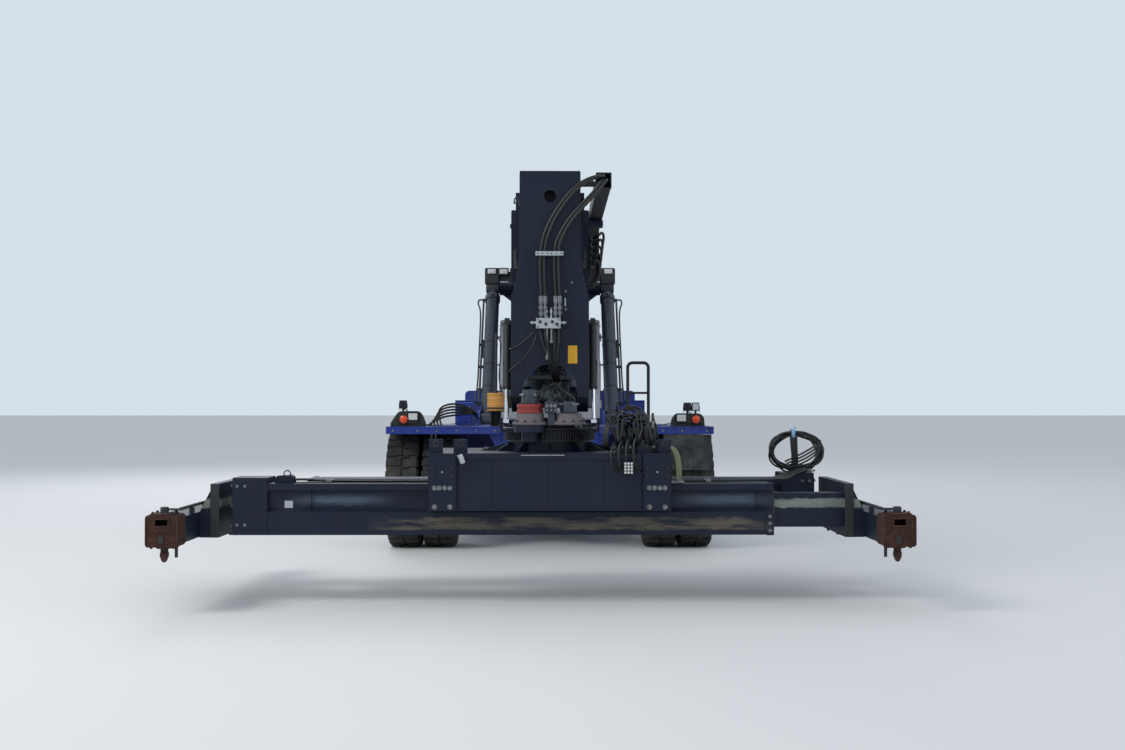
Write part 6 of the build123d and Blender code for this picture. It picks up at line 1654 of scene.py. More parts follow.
def makeCabTrim():
    at = cabPlaces
    seals, dark, metal, lens, mirror, beacon = (newBmesh() for index in range(6))
    lean = at["lean"]

    def frontAt(z):
        return at["front"] + max(0.0, (z - 2.05)) * lean
    out = Vector((0, -1, lean)).normalized()
    addFrameStrip(seals, [(-0.62, frontAt(2.07), 2.07), (0.62, frontAt(2.07), 2.07),
                          (0.62, frontAt(2.74), 2.74), (-0.62, frontAt(2.74), 2.74)], 0.028, 0.008, out)
    addFrameStrip(seals, [(-0.62, 2.90, 1.64), (0.62, 2.90, 1.64), (0.62, 2.90, 2.04), (-0.62, 2.90, 2.04)],
                  0.028, 0.008, (0, -1, 0))
    addFrameStrip(seals, [(-0.70, 3.03, 1.90), (-0.70, 3.91, 1.90), (-0.70, 3.91, 2.74), (-0.70, 3.03, 2.74)],
                  0.028, 0.008, (-1, 0, 0))
    addFrameStrip(seals, [(-0.58, 4.18, 1.95), (0.58, 4.18, 1.95), (0.58, 4.18, 2.74), (-0.58, 4.18, 2.74)],
                  0.028, 0.008, (0, 1, 0))
    addBlock(seals, (-0.70, 3.45, 1.90), (-0.672, 3.475, 2.74), 0.004)
    # wipers: arm, blade holder and blade
    for base, tip in (((-0.15, 2.10), (-0.42, 2.60)), ((0.20, 2.10), (-0.06, 2.60))):
        start = Vector((base[0], frontAt(base[1]) - 0.030, base[1]))
        end = Vector((tip[0], frontAt(tip[1]) - 0.022, tip[1]))
        addTurned(dark, [(0.0, 0.0), (0.022, 0.0), (0.024, 0.01), (0.018, 0.03), (0.0, 0.034)],
                  start + Vector((0, 0.028, 0)), start + Vector((0, -0.006, 0)), 20)
        addRod(dark, start, end, 0.007, 10, 0.004)
        low, high = end - Vector((0.0, -0.006, 0.26)), end + Vector((0.0, 0.030 - 0.006, 0.12))
        addRod(dark, low, high, 0.006, 8)
        addRod(dark, low + Vector((0.004, 0.008, 0)), high + Vector((0.004, 0.008, 0)), 0.004, 6)
    # mirrors on arms at the front corners
    for side in (-1, 1):
        root = Vector((side * 0.70, 2.96, 2.62))
        out2 = root + Vector((side * 0.17, -0.10, 0.0))
        addRod(dark, root, out2, 0.011, 14)
        addRod(dark, out2, out2 + Vector((0, 0, -0.34)), 0.011, 14)
        addRod(dark, root + Vector((0, 0, -0.40)), out2 + Vector((0, 0, -0.34)), 0.010, 14)
        middle = out2 + Vector((side * 0.012, -0.005, -0.17))
        addBlock(dark, (middle.x - 0.085, middle.y - 0.045, middle.z - 0.13),
                 (middle.x + 0.085, middle.y + 0.008, middle.z + 0.13), 0.022, 4)
        addBlock(mirror, (middle.x - 0.072, middle.y + 0.006, middle.z - 0.115),
                 (middle.x + 0.072, middle.y + 0.011, middle.z + 0.115), 0.003)
        # rain gutter and grab handle beside the door
        x0, x1 = sorted((side * 0.70, side * 0.712))
        addBlock(seals, (x0, 2.99, 2.775), (x1, 4.12, 2.787), 0.003)
        addRod(dark, (side * 0.742, 4.05, 1.70), (side * 0.742, 4.05, 2.30), 0.012, 16)
        for z in (1.70, 2.30):
            addRod(dark, (side * 0.70, 4.05, z), (side * 0.748, 4.05, z), 0.012, 16)
    # roof: hatch, ribs, two front work lamps, a beacon on its base and an aerial
    roof = at["roof"]
    addBlock(seals, (-0.30, 3.30, roof - 0.002), (0.30, 3.85, roof + 0.022), 0.012, 3)
    for x in (-0.55, -0.43, 0.43, 0.55):
        addBlock(seals, (x - 0.014, 3.15, roof - 0.002), (x + 0.014, 4.05, roof + 0.010), 0.005)
    for x in (-0.45, 0.45):
        addBlock(metal, (x - 0.06, 2.985, roof + 0.02), (x + 0.06, 3.05, roof + 0.12), 0.014, 3)
        addBlock(dark, (x - 0.012, 3.00, roof - 0.004), (x + 0.012, 3.03, roof + 0.03), 0.002)
        addBlock(lens, (x - 0.05, 2.978, roof + 0.032), (x + 0.05, 2.987, roof + 0.108), 0.006, 2)
    addTurned(dark, [(0.0, 0.0), (0.060, 0.0), (0.064, 0.008), (0.050, 0.016), (0.046, 0.03), (0.0, 0.03)],
              (0.52, 4.0, roof - 0.004), (0.52, 4.0, roof + 0.026), 28)
    addTurned(beacon, [(0.044, 0.0), (0.047, 0.01), (0.045, 0.075), (0.036, 0.092), (0.018, 0.099),
                       (0.0, 0.100)], (0.52, 4.0, roof + 0.026), (0.52, 4.0, roof + 0.126), 28)
    addRod(dark, (-0.58, 4.05, roof - 0.01), (-0.58, 4.09, roof + 0.36), 0.0035, 8, 0.002)
    # base: bolts of the cab mounts
    for x in (-0.62, 0.62):
        for y in (2.98, 4.10):
            addTurned(dark, [(0.0, 0.0), (0.05, 0.0), (0.054, 0.01), (0.05, 0.03), (0.054, 0.05),
                             (0.0, 0.05)], (x, y, 1.40), (x, y, 1.45), 24)
    finishPiece("cab_seals_and_ribs", seals, blackPlastic, "chassis")
    finishPiece("cab_wipers_and_mirrors", dark, blackPlastic, "chassis")
    finishPiece("cab_roof_lamps", metal, castIron, "chassis")
    finishPiece("cab_roof_lamp_lenses", lens, clearLens, "chassis")
    finishPiece("cab_mirror_glass", mirror, mirrorGlass, "chassis")
    finishPiece("cab_beacon", beacon, orangeLens, "chassis", smooth=True)


makeCabTrim()


def makeDoorTrim():
    seals, handle = newBmesh(), newBmesh()
    addFrameStrip(seals, [(0.70, 3.11, 1.90), (0.70, 3.83, 1.90), (0.70, 3.83, 2.67), (0.70, 3.11, 2.67)],
                  0.026, 0.007, (1, 0, 0))
    addBlock(handle, (0.699, 3.745, 1.745), (0.706, 3.815, 1.895), 0.004)
    addBlock(handle, (0.706, 3.762, 1.775), (0.733, 3.798, 1.868), 0.010, 3)
    addTurned(handle, [(0.0, 0.008), (0.010, 0.008), (0.012, 0.005), (0.012, 0.0)], (0.706, 3.78, 1.758),
              (0.714, 3.78, 1.758), 16)
    addRod(handle, (0.655, 3.10, 1.75), (0.655, 3.10, 2.0), 0.011, 16)
    addBlock(seals, (0.700, 3.06, 1.56), (0.704, 3.88, 1.86), 0.004)
    finishPiece("door_seal_and_panel", seals, blackPlastic, "cab_door")
    finishPiece("door_handle", handle, blackPlastic, "cab_door")


makeDoorTrim()


def makeCabInside():
    wheel, dash, screen, metal, trim = (newBmesh() for index in range(5))
    hub, way = Vector((0, 3.284, 2.186)), Vector((0, 0.160, 0.680)).normalized()
    rim = [(0.190 + 0.014 * math.cos(a * math.pi / 6), 0.014 * math.sin(a * math.pi / 6)) for a in range(13)]
    addTurned(wheel, rim, hub, hub + way * 0.001, 56)
    addTurned(wheel, [(0.0, 0.016), (0.036, 0.014), (0.048, 0.004), (0.050, -0.02), (0.030, -0.05),
                      (0.0, -0.05)], hub, hub + way * 0.066, 32)
    side = Vector((1, 0, 0))
    front = way.cross(side)
    for angle in (0.0, math.pi, 1.5 * math.pi):
        direction = side * math.cos(angle) + front * math.sin(angle)
        addRod(wheel, hub + direction * 0.04 - way * 0.01, hub + direction * 0.185, 0.011, 12, 0.008)
    addTurned(wheel, [(0.0, 0.03), (0.016, 0.03), (0.022, 0.022), (0.018, 0.0), (0.0, 0.0)],
              hub + side * -0.15 + way * 0.01, hub + side * -0.15 + way * 0.04, 20)
    column = hub - way * 0.066
    foot = Vector((0, 3.125, 1.49))
    addRod(trim, foot, column, 0.040, 24, 0.030)
    addTurned(trim, [(0.045, 0.0), (0.075, 0.0), (0.080, 0.02), (0.060, 0.07), (0.045, 0.09), (0.052, 0.11),
                     (0.042, 0.13)], foot, foot + (column - foot).normalized() * 0.13, 32)
    # dash box with a dark screen, stalks and a row of rocker switches
    addBlock(dash, (-0.60, 2.97, 1.50), (-0.14, 3.10, 2.02), 0.02, 3)
    addBlock(dash, (0.14, 2.97, 1.50), (0.60, 3.10, 2.02), 0.02, 3)
    addBlock(dash, (-0.16, 3.06, 1.92), (0.16, 3.16, 2.10), 0.03, 4)
    addBlock(screen, (-0.12, 3.155, 1.945), (0.12, 3.163, 2.07), 0.003)
    for angle in (-1, 1):
        addRod(trim, column + Vector((angle * 0.03, 0, 0)), column + Vector((angle * 0.16, 0.02, 0.02)),
               0.007, 12, 0.010)
    # pedals on the floor, their rubber grooves
    for x, wide in ((-0.24, 0.045), (0.16, 0.05), (0.27, 0.04)):
        addBlock(metal, (x - wide, 3.10, 1.51), (x + wide, 3.28, 1.525), 0.004)
        for row in range(5):
            addBlock(trim, (x - wide + 0.006, 3.12 + row * 0.034, 1.524),
                     (x + wide - 0.006, 3.136 + row * 0.034, 1.531), 0.002)
    # consoles beside the seat: armrest pads, a joystick with a boot, knobs
    for side0, x0 in ((1, 0.33), (-1, -0.47)):
        addBlock(dash, (x0, 3.42, 1.49 if side0 > 0 else 1.74), (x0 + 0.14, 3.88, 1.972), 0.018, 3)
        addBlock(trim, (x0 + 0.01, 3.56, 1.970), (x0 + 0.13, 3.87, 2.015), 0.018, 3)
        stick = Vector((x0 + 0.07, 3.49, 1.972))
        addTurned(trim, [(0.036, 0.0), (0.034, 0.012), (0.026, 0.018), (0.028, 0.024), (0.018, 0.034),
                         (0.020, 0.040), (0.010, 0.052)], stick, stick + Vector((0, 0, 0.052)), 28)
        addTurned(trim, [(0.0, 0.128), (0.012, 0.126), (0.021, 0.112), (0.022, 0.09), (0.016, 0.06),
                         (0.018, 0.03), (0.009, 0.0)], stick + Vector((0, 0, 0.045)),
                  stick + Vector((0, 0.0, 0.173)), 28)
    for row in range(2):
        for column in range(4):
            addBlock(trim, (0.35 + column * 0.026, 3.418, 1.90 - row * 0.05),
                     (0.372 + column * 0.026, 3.432, 1.935 - row * 0.05), 0.003)
    # seat base: bellows, rails and a belt reel
    for index in range(6):
        z = 1.50 + index * 0.035
        grow = 0.004 if index % 2 else 0.014
        addBlock(trim, (-0.17 - grow, 3.50 - grow, z), (0.17 + grow, 3.86 + grow, z + 0.034), 0.012, 2)
    addBlock(dash, (-0.23, 3.44, 1.712), (0.23, 3.92, 1.742), 0.012, 2)
    addRod(metal, (-0.235, 3.88, 1.80), (-0.235, 3.88, 1.90), 0.028, 20, bevel=0.004)
    addBlock(metal, (-0.30, 3.40, 1.488), (0.30, 3.95, 1.502), 0.004)
    finishPiece("steering_wheel", wheel, blackPlastic, "chassis", smooth=True)
    finishPiece("cab_dash_and_consoles", dash, blackPlastic, "chassis",
                replaces=("cab_controls", "operator_seat"), slot="plastic")
    finishPiece("cab_screen", screen, screenGlass, "chassis")
    finishPiece("cab_pedals_and_rails", metal, castIron, "chassis")
    finishPiece("cab_grips_and_bellows", trim, flapRubber, "chassis")


makeCabInside()


# The seat's cushions: cloth covers over foam, each blown up by pressure with a cap on how far it may swell,
# and two sewn channels pressed in afterwards

cushionLook = {"voxel": 0.007, "pressure": 4.0, "frames": 20, "cap": 0.012, "seamDepth": 0.006,
               "seamWidth": 0.010}


def makeCushion(name, low, high, channels):
    bm = newBmesh()
    addBlock(bm, low, high, 0.026, 3)
    piece = finishPiece(name, bm, clothCover, "chassis")
    remesh = piece.modifiers.new("remesh", "REMESH")
    remesh.mode = "VOXEL"
    remesh.voxel_size = cushionLook["voxel"]
    scene = bpy.context.scene
    start = bpy.data.meshes.new_from_object(piece.evaluated_get(bpy.context.evaluated_depsgraph_get()))
    piece.modifiers.clear()
    piece.data = start
    rest = [v.co.copy() for v in start.vertices]
    cloth = piece.modifiers.new("cloth", "CLOTH")
    cloth.settings.use_pressure = True
    cloth.settings.uniform_pressure_force = cushionLook["pressure"]
    cloth.settings.effector_weights.gravity = 0.0
    cloth.settings.quality = 4
    cloth.point_cache.frame_start = 1
    cloth.point_cache.frame_end = cushionLook["frames"]
    for number in range(1, cushionLook["frames"] + 1):
        scene.frame_set(number)
    settled = bpy.data.meshes.new_from_object(piece.evaluated_get(bpy.context.evaluated_depsgraph_get()))
    piece.modifiers.clear()
    piece.data = settled
    scene.frame_set(1)
    mesh = piece.data
    place = [(a + b) / 2 + s for a, b, s in zip(low, high, shift)]
    half = [(b - a) / 2 for a, b in zip(low, high)]
    seamAt = [place[0] + c for c in channels]
    thin = min(range(3), key=lambda index: half[index])
    for vert, before in zip(mesh.vertices, rest):
        move = vert.co - before
        if move.length > cushionLook["cap"]:
            vert.co = before + move.normalized() * cushionLook["cap"]
        for seam in seamAt:
            gap = abs(vert.co.x - seam)
            if gap < cushionLook["seamWidth"] and abs(vert.co[thin] - place[thin]) > half[thin] * 0.6:
                vert.co[thin] -= math.copysign(cushionLook["seamDepth"] * (1 -
                    gap / cushionLook["seamWidth"]), vert.co[thin] - place[thin])
    mesh.materials.clear()
    mesh.materials.append(clothCover)
    for face in mesh.polygons:
        face.use_smooth = True
    smooth = piece.modifiers.new("subdivision", "SUBSURF")
    smooth.levels = smooth.render_levels = 1
    return piece


cushionPieces = [makeCushion("seat_base_cushion", (-0.235, 3.440, 1.755), (0.235, 3.825, 1.860),
                             (-0.11, 0.11)),
                 makeCushion("seat_back_cushion", (-0.235, 3.850, 1.885), (0.235, 3.920, 2.285),
                             (-0.11, 0.11)),
                 makeCushion("seat_head_cushion", (-0.13, 3.852, 2.335), (0.13, 3.915, 2.485), ())]
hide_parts("seat_cushions")
posts = newBmesh()
for x in (-0.06, 0.06):
    addRod(posts, (x, 3.885, 2.24), (x, 3.885, 2.38), 0.007, 14)
addBlock(posts, (-0.225, 3.915, 1.78), (0.225, 3.930, 2.25), 0.012, 3)
finishPiece("seat_back_panel_and_posts", posts, blackPlastic, "chassis")
print("cab and seat made")


# Rear: counterweight seams and lamps, towing pin, engine cover hatches, louvres and exhaust cap, tank caps
# and straps, and chassis fittings

rearPlaces = {"end": 7.10, "half": 1.40}


def makeRearTrim():
    at = rearPlaces
    blue, dark, red, orange, clear, metal, pale, hollow = (newBmesh() for index in range(8))
    end = at["end"]
    for side in (-1, 1):
        # recessed lamp tray at each rear corner: red, orange and clear lamps
        x0, x1 = sorted((side * 0.62, side * 1.02))
        addBlock(dark, (x0, end - 0.004, 1.52), (x1, end + 0.022, 1.66), 0.010, 3)
        for index, lamp in enumerate((red, orange, clear)):
            x = side * (0.95 - index * 0.125)
            addTurned(dark, [(0.046, 0.0), (0.054, 0.001), (0.054, 0.014), (0.046, 0.016), (0.046, 0.0)],
                      (x, end + 0.020, 1.59), (x, end + 0.036, 1.59), 32)
            addTurned(lamp, [(0.0, 0.018), (0.026, 0.016), (0.042, 0.010), (0.046, 0.0)],
                      (x, end + 0.020, 1.59), (x, end + 0.038, 1.59), 32)
        # lifting eyes on top, and a rubbing strip along each flank
        for y in (6.45, 6.85):
            addTurned(blue, [(0.0, 0.0), (0.050, 0.0), (0.054, 0.008), (0.030, 0.020), (0.0, 0.020)],
                      (side, y, 1.90), (side, y, 1.92), 24)
            addArc(blue, (side, y, 1.915), 0.035, 0.045, 0.010, 12)
        x = side * at["half"]
        addBlock(dark, (x, 6.32, 0.98), (x + side * 0.018, 6.76, 1.06), 0.008, 2)
        addHexBolts(metal, [(side * x0, 6.30, 1.90) for x0 in (0.3, 0.9)], (0, 0, 1), 0.05, 0.03)
    # the seam between the two cast layers, and a stiffened blank plate with four bolts
    corner = at["half"] - 1.085
    seam = [Vector((-at["half"], 6.30, 1.25))]
    for side in (-1, 1):
        for index in range(13):
            angle = math.pi / 2 * (index / 12 if side < 0 else 1 - index / 12)
            seam.append(Vector((side * (1.085 + corner * math.cos(angle)),
                                end - corner + corner * math.sin(angle), 1.25)))
    seam.append(Vector((at["half"], 6.30, 1.25)))
    for start, stop in zip(seam, seam[1:]):
        addRod(dark, start, stop, 0.003, 6)
    addBlock(blue, (-0.24, end - 0.002, 1.36), (0.24, end + 0.008, 1.72), 0.004)
    addHexBolts(metal, [(x, end + 0.008, z) for x in (-0.21, 0.21) for z in (1.39, 1.69)], (0, 1, 0), 0.022,
                0.014)
    addBlock(pale, (-0.16, end + 0.0075, 1.45), (0.16, end + 0.0100, 1.56), 0.001)
    # towing pin with its handle and chain eye
    addTurned(metal, [(0.0, 0.0), (0.020, 0.002), (0.0245, 0.012), (0.0245, 0.30), (0.038, 0.302),
                      (0.040, 0.312), (0.036, 0.322), (0.0, 0.323)], (0, end - 0.09, 0.735),
              (0, end - 0.09, 1.058), 28)
    addRod(metal, (-0.055, end - 0.09, 1.075), (0.055, end - 0.09, 1.075), 0.009, 16, bevel=0.003)
    addRod(metal, (0, end - 0.09, 1.05), (0, end - 0.09, 1.08), 0.012, 16)
    # engine cover: a split lid with handles and hinges, louvres, the exhaust's cap
    cover = 0.52
    for side in (-1, 1):
        face = side * cover
        for y in (5.66, 5.98):
            addBlock(dark, (face, y, 2.12), (face + side * 0.014, y + 0.06, 2.20), 0.003)
        addRod(dark, (face + side * 0.018, 5.78, 1.42), (face + side * 0.018, 5.92, 1.42), 0.008, 14)
        for z in range(12):
            zz = 1.560 + z * 0.06
            if zz < 2.2:
                y0, y1 = 5.73, 6.15
                outline = [(face, y0, zz + 0.027), (face, y1, zz + 0.027),
                           (face + side * 0.022, y1, zz + 0.010), (face + side * 0.022, y0, zz + 0.010)]
                addPlate(blue, outline, (0, 0, 1), 0.003)
    addBlock(blue, (-0.50, 5.62, 2.298), (0.28, 6.10, 2.312), 0.006)
    addBlock(dark, (-0.515, 5.60, 2.2985), (0.515, 5.607, 2.304), 0.002)
    for x in (-0.40, 0.10):
        addRod(dark, (x, 6.125, 2.300), (x + 0.12, 6.125, 2.300), 0.012, 16)
    addRod(dark, (-0.20, 5.625, 2.345), (-0.04, 5.625, 2.345), 0.008, 14)
    for x in (-0.20, -0.04):
        addRod(dark, (x, 5.625, 2.310), (x, 5.625, 2.350), 0.008, 14)
    px, py = 0.33, 6.02
    addTurned(dark, [(0.0552, 0.0), (0.085, 0.0), (0.085, 0.006), (0.0575, 0.010), (0.0575, 0.455),
                     (0.0552, 0.457)], (px, py, 2.302), (px, py, 2.759), 32)
    addTurned(dark, [(0.072, 0.0), (0.076, 0.0), (0.076, 0.26), (0.072, 0.26), (0.072, 0.0)], (px, py, 2.43),
              (px, py, 2.69), 36)
    # near-black discs on the heat shield where its holes would be: painted shade instead of real holes
    for ring in range(5):
        for dx, dy in around(12, 0.0755, (ring % 2) * math.pi / 12):
            spot = Vector((px + dx, py + dy, 2.46 + ring * 0.048))
            out = Vector((dx, dy, 0)).normalized()
            addTurned(hollow, [(0.0, 0.0), (0.010, 0.0), (0.011, 0.0012), (0.0, 0.0012)], spot,
                      spot + out * 0.0012, 12)
    addPlate(dark, [(px - 0.058, py - 0.055, 2.762), (px + 0.058, py - 0.055, 2.762),
                    (px + 0.058, py + 0.06, 2.80), (px - 0.058, py + 0.06, 2.80)], (0, -0.3, 1), 0.004)
    addRod(dark, (px - 0.05, py - 0.057, 2.763), (px + 0.05, py - 0.057, 2.763), 0.006, 10)
    # air cleaner on the other side of the lid, with its clip band and rain cap
    ax, ay = -0.36, 5.86
    addTurned(dark, [(0.0, 0.0), (0.05, 0.0), (0.05, 0.05), (0.105, 0.07), (0.110, 0.08), (0.110, 0.22),
                     (0.105, 0.235), (0.06, 0.25), (0.06, 0.28), (0.095, 0.29), (0.10, 0.30), (0.07, 0.335),
                     (0.0, 0.345)], (ax, ay, 2.31), (ax, ay, 2.655), 40)
    addTurned(metal, [(0.110, 0.0), (0.1125, 0.001), (0.1125, 0.016), (0.110, 0.017)], (ax, ay, 2.44),
              (ax, ay, 2.457), 40)
    finishPiece("rear_blue_trim", blue, blueEnamel, "chassis")
    finishPiece("rear_dark_trim", dark, blackEnamel, "chassis")
    finishPiece("rear_red_lamps", red, redLens, "chassis", smooth=True)
    finishPiece("rear_orange_lamps", orange, orangeLens, "chassis", smooth=True)
    finishPiece("rear_clear_lamps", clear, clearLens, "chassis", smooth=True)
    finishPiece("rear_steel_fittings", metal, boltSteel, "chassis")
    finishPiece("rear_blank_plate", pale, cabEnamel, "chassis")
    finishPiece("exhaust_holes", hollow, holeShadeBlack, "chassis")


makeRearTrim()


def makeSideTrim():
    blue, dark, metal, sight = (newBmesh() for index in range(4))
    pivotFace = 0.56
    for side in (-1, 1):
        face = side * 1.45
        # straps around the tank, caps on top, ribs on the face, drain plug
        for y in (2.1, 3.0, 3.9):
            addBlock(dark, (face, y - 0.03, 0.76), (face + side * 0.006, y + 0.03, 1.36), 0.002)
            addHexBolts(metal, [(face + side * 0.006, y, z) for z in (0.80, 1.32)], (side, 0, 0), 0.022,
                        0.014)
            addBlock(dark, (side * 0.58, y - 0.03, 1.400), (side * 1.40, y + 0.03, 1.406), 0.002)
        for y0, y1 in ((1.80, 2.0), (2.2, 2.9), (3.1, 3.8), (4.0, 4.25)):
            addBlock(blue, (face, y0, 0.83), (face + side * 0.004, y1, 1.30), 0.0035)
        x, y = side * 1.20, 2.45 if side < 0 else 3.6
        addTurned(dark, [(0.0, 0.055), (0.042, 0.052), (0.050, 0.042), (0.050, 0.018), (0.040, 0.016),
                         (0.040, 0.0), (0.058, 0.0), (0.058, -0.006)],
                  (x, y, 1.40), (x, y, 1.455), 36)
        addHexBolts(metal, [(x + dx, y + dy, 1.400) for dx, dy in around(8, 0.052)], (0, 0, 1), 0.010, 0.006)
        addBlock(sight, (face, 2.56, 0.92), (face + side * 0.008, 2.60, 1.24), 0.004)
        addTurned(metal, [(0.0, 0.012), (0.018, 0.012), (0.022, 0.0)], (side * 1.2, 3.3, 0.72),
                  (side * 1.2, 3.3, 0.708), 6)
    # chassis: boom pivot caps and bearing bolts, and a round cap beside each lift cylinder's foot
    for side in (-1, 1):
        for radius, high in ((0.115, 0.010), (0.085, 0.022)):
            addTurned(metal if radius < 0.1 else dark, [(0.0, high), (radius - 0.004, high),
                                                        (radius, high - 0.004), (radius, 0.0)],
                      (side * pivotFace, 4.80, 2.80), (side * (pivotFace + high), 4.80, 2.80), 40)
        addHexBolts(metal, [(side * (pivotFace + 0.010), 4.80 + dy, 2.80 + dz) for dy, dz in around(8, 0.1)],
                    (side, 0, 0), 0.016, 0.012)
        addTurned(dark, [(0.0, 0.012), (0.050, 0.012), (0.055, 0.008), (0.055, 0.0)],
                  (side * 0.925, 1.33, 1.45), (side * 0.937, 1.33, 1.45), 32)
    finishPiece("tank_panels", blue, blueEnamel, "chassis")
    finishPiece("tank_straps_and_caps", dark, blackEnamel, "chassis")
    finishPiece("tank_bolts", metal, boltSteel, "chassis")
    finishPiece("tank_sight_glass", sight, screenGlass, "chassis")


makeSideTrim()
print("rear and sides made")


# Axles: drive housing's bolted cover, brake chambers and lines; steering cylinder glands, kingpin caps
# and hub hoses

def makeAxleTrim():
    cast, metal, lines = newBmesh(), newBmesh(), []
    for face in (-1, 1):
        addTurned(cast, [(0.0, 0.16), (0.10, 0.158), (0.17, 0.13), (0.205, 0.06), (0.215, 0.02),
                         (0.245, 0.016), (0.245, 0.0), (0.20, 0.0)], (0, face * 0.12, 0.69),
                  (0, face * 0.28, 0.69), 48)
        addHexBolts(metal, [(dx, face * 0.136, 0.69 + dz) for dx, dz in around(16, 0.231)], (0, face, 0),
                    0.018, 0.014)
    addTurned(cast, [(0.0, 0.0), (0.085, 0.0), (0.09, 0.02), (0.06, 0.05), (0.055, 0.12), (0.08, 0.13),
                     (0.08, 0.16), (0.0, 0.16)], (0, 0.27, 0.69), (0, 0.43, 0.69), 32)
    addRod(cast, (0, 0.42, 0.69), (0, 1.5, 0.95), 0.045, 24)
    for side in (-1, 1):
        for y in (-0.11, 0.11):
            x = side * 0.80
            addTurned(cast, [(0.0, 0.0), (0.055, 0.0), (0.062, 0.01), (0.062, 0.05), (0.068, 0.055),
                             (0.068, 0.065), (0.062, 0.07), (0.05, 0.12), (0.02, 0.13), (0.0, 0.13)],
                      (x, y, 0.86), (x - side * 0.13, y, 0.86), 32)
        for face in (-1, 1):
            lines.append([(side * x, face * y, z) for x, y, z in ((0.68, 0.11, 0.86), (0.60, 0.16, 0.88),
                                                                  (0.5, 0.17, 0.82), (0.3, 0.15, 0.85),
                                                                  (0.12, 0.13, 0.86), (0.0, 0.10, 0.88))])
        # steering cylinder: end caps and rod glands
        y = 5.59
        addTurned(cast, [(0.028, 0.0), (0.064, 0.0), (0.066, 0.004), (0.066, 0.034), (0.060, 0.040),
                         (0.036, 0.042), (0.034, 0.060), (0.028, 0.062)],
                  (side * 0.296, y, 0.69), (side * 0.358, y, 0.69), 36)
        addFitting(metal, (side * 0.27, y, 0.745), (0, 0, 1), 0.013, 0.04)
        lines.append([(side * 0.27, y, 0.78), (side * 0.26, y - 0.02, 0.88), (side * 0.22, y - 0.12, 0.96),
                      (side * 0.16, y - 0.25, 0.99), (side * 0.12, y - 0.35, 0.98)])
    finishPiece("axle_castings", cast, castIron, "chassis", smooth=True)
    finishPiece("axle_bolts", metal, boltSteel, "chassis")
    hosePiece("axle_lines", lines, 0.008, "chassis")
    for side in (-1, 1):
        name = sideName(side)
        knuckle = newBmesh()
        for z, way in ((0.88, 1), (0.50, -1)):
            addTurned(knuckle, [(0.0, 0.018), (0.050, 0.016), (0.062, 0.010), (0.066, 0.0)],
                      (side * 0.96, 5.40, z), (side * 0.96, 5.40, z + way * 0.018), 32)
            addHexBolts(knuckle, [(side * 0.96 + dx, 5.40 + dy, z) for dx, dy in around(6, 0.068)],
                        (0, 0, way), 0.014, 0.010)
        finishPiece("kingpin_caps_" + name, knuckle, castIron, "knuckle_" + name)


makeAxleTrim()


# Wheels: tyres and rim trim, each on its own body

for side in (-1, 1):
    name = sideName(side)
    tyres, trim = newBmesh(), newBmesh()
    for x in (side * 1.285, side * 1.695):
        addTyre(tyres, (x, 0.0, 0.69))
    addRimTrim(trim, (side * 1.695, 0.0, 0.69), side, side * 1.5, 0.0, 0, 0.25)
    hub = side * 1.74
    addTurned(trim, [(0.185, 0.0), (0.150, 0.012), (0.122, 0.014)], (hub, 0, 0.69),
              (hub + side * 0.014, 0, 0.69), 40)
    for dy, dz in around(12, 0.155):
        addHexBolts(trim, [(hub, dy, 0.69 + dz)], (side, 0, 0), 0.032, 0.030)
        addRod(trim, (hub, dy, 0.69 + dz), (hub + side * 0.044, dy, 0.69 + dz), 0.010, 10)
    cap = hub + side * 0.03
    addTurned(trim, [(0.0, 0.014), (0.070, 0.012), (0.100, 0.006), (0.112, 0.0)], (cap, 0, 0.69),
              (cap + side * 0.014, 0, 0.69), 40)
    addHexBolts(trim, [(cap, dy, 0.69 + dz) for dy, dz in around(8, 0.094)], (side, 0, 0), 0.016, 0.018)
    finishPiece("drive_tyre_treads_" + name, tyres, tyreRubber, "drive_wheels_" + name, smooth=True,
                replaces=("drive_tyres_" + name,))
    finishPiece("drive_rim_trim_" + name, trim, blueEnamel, "drive_wheels_" + name, slot="rim_paint")
    tyres, trim = newBmesh(), newBmesh()
    addTyre(tyres, (side * 1.30, 5.40, 0.69))
    addRimTrim(trim, (side * 1.30, 5.40, 0.69), side, side * 1.353, 0.10, 10, 0.20)
    finishPiece("steer_tyre_tread_" + name, tyres, tyreRubber, "steer_wheel_" + name, smooth=True,
                replaces=("steer_tyre_" + name,))
    finishPiece("steer_rim_trim_" + name, trim, blueEnamel, "steer_wheel_" + name, slot="rim_paint")
print("axles and wheels made")


# Coil of spare hose on the spreader: wound turns, a pale blue tie, and fittings below

